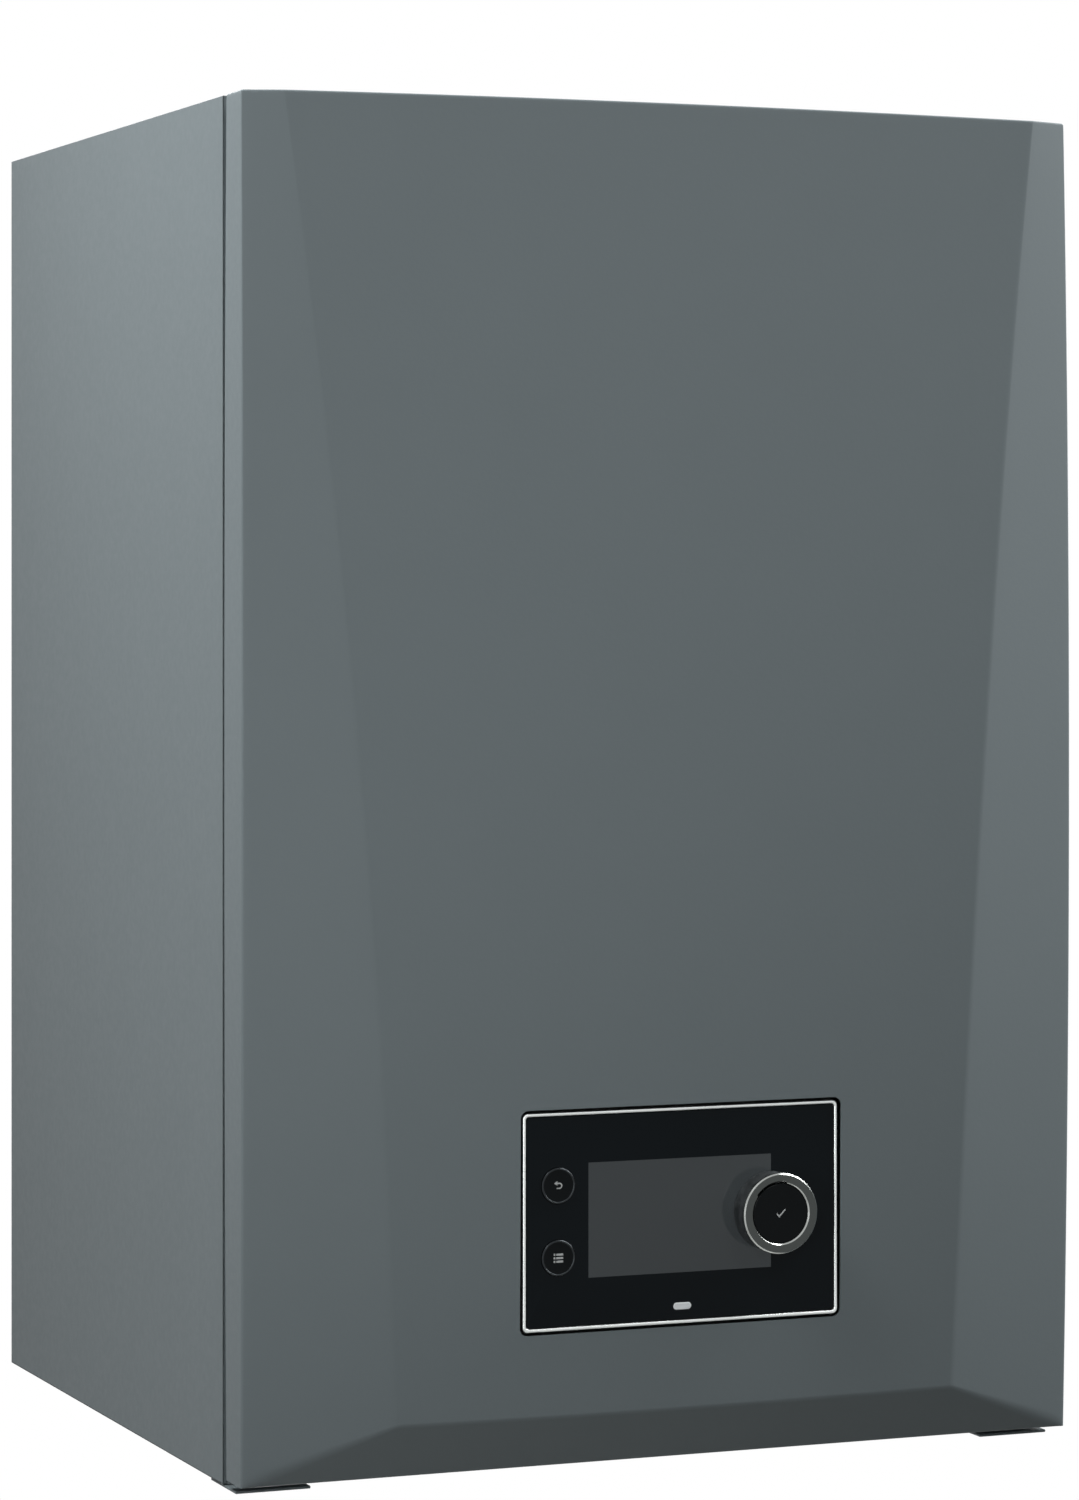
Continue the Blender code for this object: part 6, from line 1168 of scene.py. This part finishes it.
def build_housing():
    """A hollow drum with a clamped rim, and the outlet duct that ends over the burner door."""
    form, middle = bmesh.new(), at(FAN.x, FAN.y, 0.5988)
    add_turned(form, [(0.025, 0), (0.0715, 0), (0.0730, 0.0015), (0.0730, 0.0220), (0.0750, 0.0225),
                      (0.0750, 0.0275), (0.0730, 0.0280), (0.0730, 0.0485), (0.0715, 0.0500),
                      (0.010, 0.0500), (0.010, 0.0470), (0.0715, 0.0470), (0.0715, 0.0030),
                      (0.025, 0.0030)], middle, steps=96, closed=True)
    low, high, end, bend = 0.0180, 0.0740, 0.034 - FAN.x, 0.006
    duct = [Vector((0.0728 * math.cos(a), 0.0728 * math.sin(a)))
            for a in [math.pi / 2 - i / 16 * (math.pi / 2 - math.asin(low / 0.0728)) for i in range(17)]]
    quarter = [math.pi / 2 * (i / 6) for i in range(7)]
    for side, edge, angles in ((-1, low + bend, quarter), (1, high - bend, quarter[::-1])):
        duct += [Vector((end - bend + bend * math.sin(a), side * bend * math.cos(a) + edge))
                 for a in angles]
    duct.append(Vector((0, high)))
    add_layers(form, [[middle + Vector((p.x, p.y, rise)) for p in duct] for rise in (0.0002, 0.0498)])
    for i in range(3):
        add_screw(form, middle + Vector((end - 0.010 - i * 0.012, high - 0.006, 0.0498)), UP, 0.0026, 1)
    for i in range(5):
        angle = math.radians(200 + 48 * i)
        add_screw(form, middle + Vector((0.0665 * math.cos(angle), 0.0665 * math.sin(angle), 0.0500)), UP,
                  0.0028, 1)
    dress("fan_housing", form, "cast", "zinc", "black")


def build_impeller():
    """The back disc, twelve curved blades, the hub and its shaft."""
    form, middle = bmesh.new(), at(FAN.x, FAN.y, 0.6058)
    add_turned(form, [(0, 0), (0.0080, 0), (0.0090, 0.0010), (0.0105, 0.0120), (0.0135, 0.0220),
                      (0.0180, 0.0300), (0.0632, 0.0300), (0.0640, 0.0308), (0.0640, 0.0312),
                      (0.0632, 0.0320), (0.0030, 0.0320), (0.0030, 0.0474), (0.0024, 0.0480), (0, 0.0480)],
               middle, steps=96)
    for number in range(12):
        start = 2 * math.pi * number / 12
        near, far = [], []
        for i in range(9):
            reach = 0.0300 + 0.0335 * i / 8
            angle = start + 0.55 * (i / 8) ** 0.8
            point, aside = Vector((math.cos(angle), math.sin(angle))) * reach, math.radians(60)
            across = Vector((math.cos(angle + aside), math.sin(angle + aside))) * 0.0008
            near.append(point - across)
            far.append(point + across)
        blade = near + far[::-1]
        add_layers(form, [[middle + Vector((p.x, p.y, rise)) for p in blade] for rise in (0, 0.0305)])
    dress("fan_impeller", form, "black", body="fan_impeller")


def build_motor():
    """A drawn can on its flange, with a dished end, cooling slots and three screws."""
    form, foot = bmesh.new(), at(FAN.x, FAN.y, 0.6491)
    add_turned(form, [(0, 0.0080), (0.0033, 0.0080), (0.0033, 0), (0.0510, 0), (0.0520, 0.0008),
                      (0.0520, 0.0042), (0.0512, 0.0050), (0.0440, 0.0050), (0.0420, 0.0070),
                      (0.0420, 0.0480), (0.0408, 0.0525), (0.0375, 0.0552), (0.0340, 0.0560),
                      (0.0140, 0.0560), (0.0120, 0.0545), (0, 0.0545)], foot, steps=96)
    for i in range(18):
        angle = math.radians(20 * i)
        if abs(20 * i - 180) > 15:
            ray = Vector((math.cos(angle), math.sin(angle), 0))
            add_slab(form, 0.0013, 0.0065, 0.0012, 0.0006, foot + ray * 0.0416 + UP * 0.036, ray, 0.0001, 1)
    for angle in (30, 150, 270):
        ray = Vector((math.cos(math.radians(angle)), math.sin(math.radians(angle)), 0))
        add_screw(form, foot + ray * 0.0475 + UP * 0.0050, UP, 0.0027, 2)
    dress("fan_motor", form, "zinc", "rubber", "stainless", "black")


class BOILER_OT_fan(BoilerOperator, bpy.types.Operator):
    """Builds the fan's cast housing, its impeller and its motor"""
    bl_idname = "boiler.fan"
    bl_label = "Fan"

    def execute(self, context):
        build_housing()
        build_impeller()
        build_motor()
        return {"FINISHED"}


def build_silencer():
    """Two half shells with a welded seam, a snout on top and two clips on the side panel."""
    form = bmesh.new()
    low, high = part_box("intake_silencer")
    left, right = -0.238, high.x
    half, deep = (right - left) / 2, (high.y - low.y) / 2
    middle = at((left + right) / 2, (low.y + high.y) / 2, 0.535)
    add_slab(form, half, deep, 0.012, 0.185, middle, edge=0.0030)
    add_slab(form, half + 0.0012, deep + 0.0012, 0.0130, 0.0030, middle + UP * 0.092, edge=0.0006)
    for offset in (-0.060, 0, 0.060):
        add_slab(form, 0.022, 0.0015, 0.0014, 0.0012, middle + Vector((0, offset, 0.1845)), edge=0.0005)
    snout = Vector((middle.x, -0.184, middle.z + 0.185))
    add_turned(form, [(0.0195, -0.001), (0.0245, -0.001), (0.0225, 0.0015), (0.0220, 0.0040),
                      (0.0220, 0.0148), (0.0214, 0.0160), (0.0201, 0.0160), (0.0195, 0.0154)], snout,
               steps=64, closed=True)
    add_turned(form, [(0.0196, 0.0004), (0, 0.0004)], snout, steps=64, index=1)
    for height in (0.547, 0.696):
        add_box(form, at(low.x, -0.376, height), at(left + 0.001, -0.352, height + 0.012), 0.0010)
    dress("intake_silencer", form, "black", "rubber")


def build_gas_valve():
    """The die cast block with its bolted front, two coils with their plugs, and the feed tube."""
    form, middle = bmesh.new(), at(-0.178, -0.345, 0.400)
    add_slab(form, 0.040, 0.040, 0.005, 0.090, middle, edge=0.0012)
    front = middle + Vector((0, -0.040, 0.050))
    add_slab(form, 0.030, 0.028, 0.004, 0.0016, front + Vector((0, 0.0002, 0)), FRONT, 0.0006)
    for x in (-0.024, 0.024):
        for z in (-0.022, 0.022):
            add_screw(form, front + Vector((x, -0.0014, z)), FRONT, 0.0027, 1)
    for x in (-0.019, 0.019):
        coil = middle + Vector((x, 0, 0.090))
        add_turned(form, [(0, -0.001), (0.0172, -0.001), (0.0180, 0.0008), (0.0180, 0.0252),
                          (0.0170, 0.0270), (0, 0.0270)], coil, steps=56, index=2)
        add_turned(form, [(0, 0.0268), (0.0095, 0.0268), (0.0095, 0.0282), (0, 0.0282)], coil, steps=40,
                   index=1)
        add_nut(form, coil + UP * 0.0280, UP, 0.0058, 0.0020, 1)
        add_slab(form, 0.0085, 0.0080, 0.0012, 0.0095, coil + Vector((0, -0.0155, 0.013)), FRONT, 0.0008, 2)
    feed = at(-0.150, FAN.y, 0)
    add_turned(form, [(0, 0.489), (0.0080, 0.489), (0.0080, 0.5470), (0.0074, 0.5477), (0, 0.5477)], feed,
               steps=40, index=3)
    add_nut(form, feed + UP * 0.4902, UP, 0.0115, 0.0100, 4)
    dress("gas_valve", form, "cast", "zinc", "black", "stainless", "brass")


class BOILER_OT_gas_and_air(BoilerOperator, bpy.types.Operator):
    """Builds the mixer elbow, the intake silencer and the gas valve"""
    bl_idname = "boiler.gas_and_air"
    bl_label = "Gas and Air"

    def execute(self, context):
        form = bmesh.new()
        route = round_route([at(-0.1651, FAN.y, 0.570), at(FAN.x, FAN.y, 0.570), at(FAN.x, FAN.y, 0.5984)],
                            0.0308, 16)
        add_tube(form, route, 0.0215, 56)
        lip = [(0, 0), (0.0245, 0), (0.0255, 0.0008), (0.0255, 0.0032), (0.0245, 0.0040), (0, 0.0040)]
        add_turned(form, lip, at(-0.1651, FAN.y, 0.570), (1, 0, 0), 56)
        add_turned(form, lip, at(FAN.x, FAN.y, 0.5944), steps=56)
        add_turned(form, [(0, 0), (0.0105, 0), (0.0110, 0.0005), (0.0110, 0.0060), (0, 0.0060)],
                   at(-0.150, FAN.y, 0.5480), steps=40)
        dress("gas_air_mixer", form, "black")
        build_silencer()
        build_gas_valve()
        return {"FINISHED"}


def build_siphon():
    """A milky bottle with a ribbed union collar."""
    form, place = bmesh.new(), at(-0.050, -0.300, 0)
    add_turned(form, [(0, 0.0947), (0.0165, 0.0947), (0.0175, 0.0938), (0.0280, 0.0925), (0.0300, 0.0905),
                      (0.0300, 0.0190), (0.0285, 0.0160), (0.0265, 0.0150), (0.0060, 0.0150),
                      (0.0050, 0.0162), (0, 0.0162)], place, steps=72)
    add_grip(form, place, ((0.0310, 0.0488), (0.0328, 0.0494), (0.0328, 0.0544), (0.0310, 0.0550)), 96,
             0.0008, 1)
    dress("siphon", form, "opal", "black")


def build_collar():
    """Two sockets with rounded mouths and rubber lips, on a screwed flange with three webs."""
    form, place = bmesh.new(), at(0, FLUE_Y, 0)
    add_turned(form, [(0.0650, 0.7652), (0.0650, 0.7548), (0.0657, 0.7532), (0.0680, 0.7523),
                      (0.0817, 0.7523), (0.0825, 0.7517), (0.0825, 0.7503), (0.0650, 0.7503),
                      (0.0650, 0.7350), (0.0625, 0.7350), (0.0625, 0.7652), (0.0631, 0.7660),
                      (0.0644, 0.7660)], place, steps=120, closed=True)
    add_turned(form, [(0.0430, 0.7652), (0.0430, 0.6900), (0.0405, 0.6900), (0.0405, 0.7652),
                      (0.0411, 0.7660), (0.0424, 0.7660)], place, steps=96, closed=True)
    for radius in (0.0626, 0.0406):
        add_turned(form, [(radius, 0.7550), (radius - 0.0007, 0.7562), (radius - 0.0012, 0.7580),
                          (radius - 0.0007, 0.7598), (radius, 0.7610)], place, steps=96, closed=True,
                   index=1)
    for i in range(3):
        angle = math.radians(90 + 120 * i)
        ray = Vector((math.cos(angle), math.sin(angle), 0))
        add_beam(form, at(0, FLUE_Y, 0.7354) + ray * 0.0420, at(0, FLUE_Y, 0.7354) + ray * 0.0636, 0.004,
                 0.0144)
    for i in range(6):
        angle = math.radians(30 + 60 * i)
        add_screw(form, at(0.0742 * math.cos(angle), FLUE_Y + 0.0742 * math.sin(angle), 0.7522), UP, 0.0032,
                  2)
    dress("flue_collar", form, "flue", "rubber", "zinc", "black")


class BOILER_OT_condensate_and_flue(BoilerOperator, bpy.types.Operator):
    """Builds the condensate tray, the siphon, the flue pipe and the flue collar"""
    bl_idname = "boiler.condensate_and_flue"
    bl_label = "Condensate and Flue"

    def execute(self, context):
        form = bmesh.new()
        add_slab(form, 0.115, 0.150, 0.006, 0.0777, at(0, -0.210, 0.110), edge=0.0020)
        add_slab(form, 0.1164, 0.1514, 0.0070, 0.0050, at(0, -0.210, 0.1780), edge=0.0010)
        for x in (-0.075, -0.025, 0.025, 0.075):
            add_box(form, at(x - 0.0012, -0.3613, 0.114), at(x + 0.0012, -0.355, 0.1785), 0.0006)
        add_turned(form, [(0, 0.003), (0.0165, 0.003), (0.0145, 0), (0.0140, -0.0145), (0.0134, -0.0150),
                          (0, -0.0150)], at(-0.050, -0.300, 0.110), steps=48)
        dress("condensate_tray", form, "black")
        build_siphon()
        form = bmesh.new()
        add_turned(form, [(0.0400, 0.7194), (0.0400, 0.1880), (0.0375, 0.1880), (0.0375, 0.7200),
                          (0.0392, 0.7200)], at(0, FLUE_Y, 0), steps=72, closed=True)
        dress("flue_pipe", form, "flue")
        build_collar()
        return {"FINISHED"}


def build_main_board():
    form = bmesh.new()
    low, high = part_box("main_circuit_board")
    board, face, middle = low.y + 0.010, low.y + 0.0116, (low.z + high.z) / 2
    add_box(form, (low.x, board, low.z), (high.x, face, high.z), 0.0002)
    for x in (low.x + 0.016, high.x - 0.016):
        for z in (low.z + 0.016, high.z - 0.016):
            add_nut(form, (x, low.y, z), (0, 1, 0), 0.004, 0.0104, 1)
    left = low.x + 0.040
    add_box(form, (left, face, middle - 0.020), (left + 0.040, high.y, middle + 0.020), 0.0008, 2)
    add_box(form, (left + 0.005, face, middle - 0.0205), (left + 0.035, high.y - 0.003, middle + 0.0205),
            0.0008, 3)
    for i in range(3):
        x = left + 0.058 + 0.027 * i
        add_box(form, (x, face, middle), (x + 0.018, face + 0.018, middle + 0.018), 0.0008, 3)
    end = high.x - 0.016
    for i in range(9):
        x = end - 0.090 + 0.010 * i
        add_box(form, (x + 0.0002, face, low.z), (x + 0.0098, face + 0.016, low.z + 0.016), 0.0006, 4)
    dress("main_circuit_board", form, "board", "brass", "stainless", "black", "grey")


def build_panel_board():
    own, form = sizes(), bmesh.new()
    low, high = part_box("hmi_board")
    board = high.y - 0.0016
    add_box(form, (low.x, board, low.z), (high.x, high.y, high.z), 0.0002)
    for x, height in ((-own.button_x, own.panel_height + own.button_spread),
                      (-own.button_x, own.panel_height - own.button_spread),
                      (own.dial_x, own.panel_height)):
        add_box(form, (x - 0.0031, low.y, FOOT + height - 0.0031),
                (x + 0.0031, board, FOOT + height + 0.0031), 0.0004, 1)
    dress("hmi_board", form, "board", "black")


def build_conduit():
    """A stiff conduit with a screwed sleeve at each end."""
    x, y, top = -0.220, -0.4315, 0.6768
    route = round_route([at(x, y, 0.2203), at(x, y, top), at(-0.160, y, top), at(-0.160, FAN.y, top),
                         at(-0.1273, FAN.y, top)], 0.020, 12)
    form = bmesh.new()
    add_tube(form, route, 0.0042, 28)
    sleeve = [(0, 0), (0.0046, 0), (0.0050, 0.0006), (0.0050, 0.0110), (0.0045, 0.0118), (0.0040, 0.0118)]
    add_turned(form, sleeve, at(x, y, 0.2203), steps=36)
    add_turned(form, sleeve, at(-0.1273, FAN.y, top), (-1, 0, 0), 36)
    dress("wiring_conduit", form, "black")


def build_lighter():
    low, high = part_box("ignition_transformer")
    form = bmesh.new()
    middle = ((low.x + high.x) / 2, (low.y + high.y) / 2, low.z)
    add_slab(form, (high.x - low.x) / 2, (high.y - low.y) / 2, 0.005, high.z - low.z, middle, edge=0.0012)
    for x in (low.x + 0.007, high.x - 0.007):
        add_screw(form, (x, low.y, low.z + 0.007), FRONT, 0.0026, 1)
    add_slab(form, 0.020, 0.012, 0.002, 0.0010, (middle[0], low.y + 0.0004, low.z + 0.026), FRONT, 0.0004)
    dress("ignition_transformer", form, "black", "zinc", "black")


class BOILER_OT_wiring(BoilerOperator, bpy.types.Operator):
    """Builds the control box with its lid and boards, the conduit and the ignition transformer"""
    bl_idname = "boiler.wiring"
    bl_label = "Wiring"

    def execute(self, context):
        soften("control_box", "black", 0.0010)
        soften("control_box_lid", "grey", 0.0006)
        soften("hmi_housing", "black", 0.0003, 1)
        low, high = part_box("control_box_lid")
        form = bmesh.new()
        for x in (low.x + 0.009, 0, high.x - 0.009):
            for z in (low.z + 0.009, high.z - 0.009):
                add_screw(form, (x, high.y, z), (0, 1, 0), 0.0032)
        wrap("control_box_screws", form, "casing", "zinc", "black")
        build_main_board()
        build_panel_board()
        build_conduit()
        build_lighter()
        return {"FINISHED"}


def build_quarter_turn_screw(side):
    """A coin-slotted head, the shank, and the flat bar that locks in the cover's keyhole."""
    node = f"quarter_turn_screw_{side}"
    low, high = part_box(node)
    x, y = (low.x + high.x) / 2, (low.y + high.y) / 2
    form = bmesh.new()
    add_turned(form, [(0, 0.0011), (0.0060, 0.0011), (0.0060, 0.0002), (0.0064, 0), (0.0070, 0.0006),
                      (0.0070, 0.0021), (0.0066, 0.0025), (0.0055, 0.0025), (0.0055, 0.0078), (0, 0.0078)],
               (x, y, low.z), steps=64)
    for offset in (-1, 1):
        points = [Vector((0.0061 * math.cos(a), offset * 0.0061 * math.sin(a)))
                  for a in [0.115 + (math.pi - 0.230) * i / 24 for i in range(25)]]
        add_layers(form, [[Vector((x + p.x, y + p.y, low.z + rise)) for p in points]
                          for rise in (0, 0.0015)])
    add_box(form, (x - 0.0030, y - 0.0052, low.z + 0.0070), (x + 0.0030, y + 0.0052, high.z), 0.0003)
    dress(node, form, "zinc", body=node)


class BOILER_OT_sheets(BoilerOperator, bpy.types.Operator):
    """Rounds the edges of the folded sheets, brackets and seals, and builds the quarter-turn screws"""
    bl_idname = "boiler.sheets"
    bl_label = "Sheets"

    def execute(self, context):
        soften("top_panel bottom_plate", "paint", 0.0003, 1)
        soften("back_panel wall_bracket exchanger_bracket_left exchanger_bracket_right "
               "control_box_bracket_left control_box_bracket_right", "zinc", 0.0003, 1)
        soften("cover_seal", "rubber", 0.0015)
        soften("burner_seal", "gasket", 0.0006)
        for side in ("left", "right"):
            build_quarter_turn_screw(side)
        return {"FINISHED"}


class BOILER_OT_carried_nodes(BoilerOperator, bpy.types.Operator):
    """Gives every CAD node that still shows its own finish"""
    bl_idname = "boiler.carried_nodes"
    bl_label = "Carried Nodes"

    def execute(self, context):
        for node, finish in (("dial_sleeve", "brass"), ("display_screen", "display")):
            mesh = frame["nodes"][node].data
            mesh.materials.clear()
            mesh.materials.append(finishes()[finish][1])
        return {"FINISHED"}


# The photograph's camera looks level. These are in pixels of the photograph.
PHOTO_HEIGHT, FOCAL_LENGTH, HORIZON = 1500, 4650.2, 583.7
SENSOR = 36.0
AMBIENT = 0.03
# name, place, aim, side of the square, watts
LAMPS = (
    ("front_high", (0.4, -2.8, 1.9), (0, -0.4, -0.2), 1.2, 4.9),
    ("front_level", (-1.0, -2.9, 0.2), (0, -0.4, -0.3), 1.0, 3.1),
    ("right_level", (2.0, -0.5, 0.5), (0.25, -0.45, -0.2), 0.9, 14.8),
    ("right_near", (1.1, -0.55, 0.9), (0.22, -0.45, -0.1), 0.6, 5.0),
    ("left_near", (-0.9, -0.2, 1.0), (-0.25, -0.25, 0.0), 0.6, 2.5),
    ("left_edge", (-1.1, -0.6, 1.0), (-0.25, -0.4, 0.0), 0.6, 6.9),
    ("left_low", (-0.8, -1.2, -0.5), (-0.2, -0.45, -0.45), 0.4, 0.62),
    ("rear", (0.2, 2.6, 0.6), (0, 0, -0.3), 1.2, 12.0),
    ("rear_low", (0.1, 1.2, -1.6), (0, -0.2, -0.69), 0.9, 5.0),
)


def seen_rays(tree):
    """1 for what the camera sees, straight or reflected, and 0 for the light that falls on the object."""
    rays = add_node(tree, "LightPath")
    some = add_node(tree, "Math", {0: rays.outputs["Is Camera Ray"], 1: rays.outputs["Is Glossy Ray"]},
                    operation="MAXIMUM")
    return add_node(tree, "Math", {0: some.outputs[0], 1: rays.outputs["Is Transmission Ray"]},
                    operation="MAXIMUM").outputs[0]


def build_camera(scene):
    lens = bpy.data.cameras.new("photo_camera")
    lens.sensor_width, lens.sensor_fit = SENSOR, "AUTO"
    lens.lens = FOCAL_LENGTH * SENSOR / PHOTO_HEIGHT
    lens.shift_y = -(PHOTO_HEIGHT / 2 - HORIZON) / PHOTO_HEIGHT
    lens.clip_end = 50.0
    camera = bpy.data.objects.new("photo_camera", lens)
    camera.location = (-1.0266, -2.8177, -0.2036)
    camera.rotation_euler = (math.radians(90), 0, math.radians(-21.97))
    scene.collection.objects.link(camera)
    scene.camera = camera


def build_floor():
    """A pale floor far below. It shows the object's shadow, and throws little light up on it."""
    form, radius = bmesh.new(), 2.4
    add_turned(form, [(0, 0), (radius, 0)], (0, -0.2, -2.1), steps=96)
    floor = make_object("floor", form)
    material, tree, shader = start_material("pale floor")
    pale = colours()["floor"]
    set_shader(shader, pale, 0.9, Specular_IOR_Level=0.0)
    glow = add_node(tree, "Emission", {"Color": pale, "Strength": 0.62})
    shown = add_node(tree, "AddShader", {0: shader.outputs[0], 1: glow.outputs[0]})
    thrown = add_node(tree, "BsdfDiffuse", {"Color": (0.38, 0.34, 0.30, 1.0)})
    mix = add_node(tree, "MixShader", {0: seen_rays(tree), 1: thrown.outputs[0], 2: shown.outputs[0]})
    tree.links.new(mix.outputs[0], tree.nodes["Material Output"].inputs["Surface"])
    floor.data.materials.append(material)


def build_lamps(scene):
    for name, place, aim, size, power in LAMPS:
        light = bpy.data.lights.new(name, "AREA")
        light.shape, light.size, light.energy = "SQUARE", size, power
        light.spread = math.radians(90)
        lamp = bpy.data.objects.new(name, light)
        lamp.location = place
        lamp.rotation_euler = (Vector(aim) - Vector(place)).to_track_quat("-Z", "Y").to_euler()
        scene.collection.objects.link(lamp)


def build_surroundings(scene):
    """White to the camera and in reflections, and a plain grey for the light that it gives."""
    world = bpy.data.worlds.new("surroundings")
    scene.world = world
    world.use_nodes = True
    tree = world.node_tree
    tree.nodes.clear()
    light = add_node(tree, "Background", {"Color": (1, 1, 1, 1), "Strength": AMBIENT})
    white = add_node(tree, "Background", {"Color": (1, 1, 1, 1), "Strength": 1.0})
    mix = add_node(tree, "MixShader", {0: seen_rays(tree), 1: light.outputs[0], 2: white.outputs[0]})
    output = add_node(tree, "OutputWorld", {"Surface": mix.outputs[0]})
    output.is_active_output = True


class BOILER_OT_stage(BoilerOperator, bpy.types.Operator):
    """Sets the camera at the photograph's angle, the pale floor, the lamps and the white surroundings"""
    bl_idname = "boiler.stage"
    bl_label = "Stage"

    def execute(self, context):
        build_camera(context.scene)
        context.scene.view_settings.view_transform = "Standard"
        build_floor()
        build_lamps(context.scene)
        build_surroundings(context.scene)
        return {"FINISHED"}


class BOILER_PT_panel(bpy.types.Panel):
    """Sizes, colours and the steps that dress the boiler"""
    bl_idname = "BOILER_PT_panel"
    bl_label = "Condensing Boiler"
    bl_space_type = "VIEW_3D"
    bl_region_type = "UI"
    bl_category = "Boiler"

    def draw(self, context):
        layout = self.layout
        for group in (context.scene.boiler_sizes, context.scene.boiler_colours):
            column = layout.column(align=True)
            for name in group.__annotations__:
                column.prop(group, name)
        for operator in OPERATORS:
            layout.operator(operator.bl_idname)


OPERATORS = (BOILER_OT_stage, BOILER_OT_carried_nodes, BOILER_OT_front_cover, BOILER_OT_casing,
             BOILER_OT_display_panel, BOILER_OT_dial, BOILER_OT_pipework, BOILER_OT_fittings,
             BOILER_OT_exchanger, BOILER_OT_fan, BOILER_OT_gas_and_air, BOILER_OT_condensate_and_flue,
             BOILER_OT_wiring, BOILER_OT_sheets)
CLASSES = (BoilerSizes, BoilerColours, *OPERATORS, BOILER_PT_panel)


def register():
    for item in CLASSES:
        bpy.utils.register_class(item)
    bpy.types.Scene.boiler_sizes = PointerProperty(type=BoilerSizes)
    bpy.types.Scene.boiler_colours = PointerProperty(type=BoilerColours)


def unregister():
    del bpy.types.Scene.boiler_colours
    del bpy.types.Scene.boiler_sizes
    for item in reversed(CLASSES):
        bpy.utils.unregister_class(item)


def main():
    register()
    for operator in OPERATORS:
        group, name = operator.bl_idname.split(".")
        getattr(getattr(bpy.ops, group), name)()


if __name__ == "__main__":
    main()
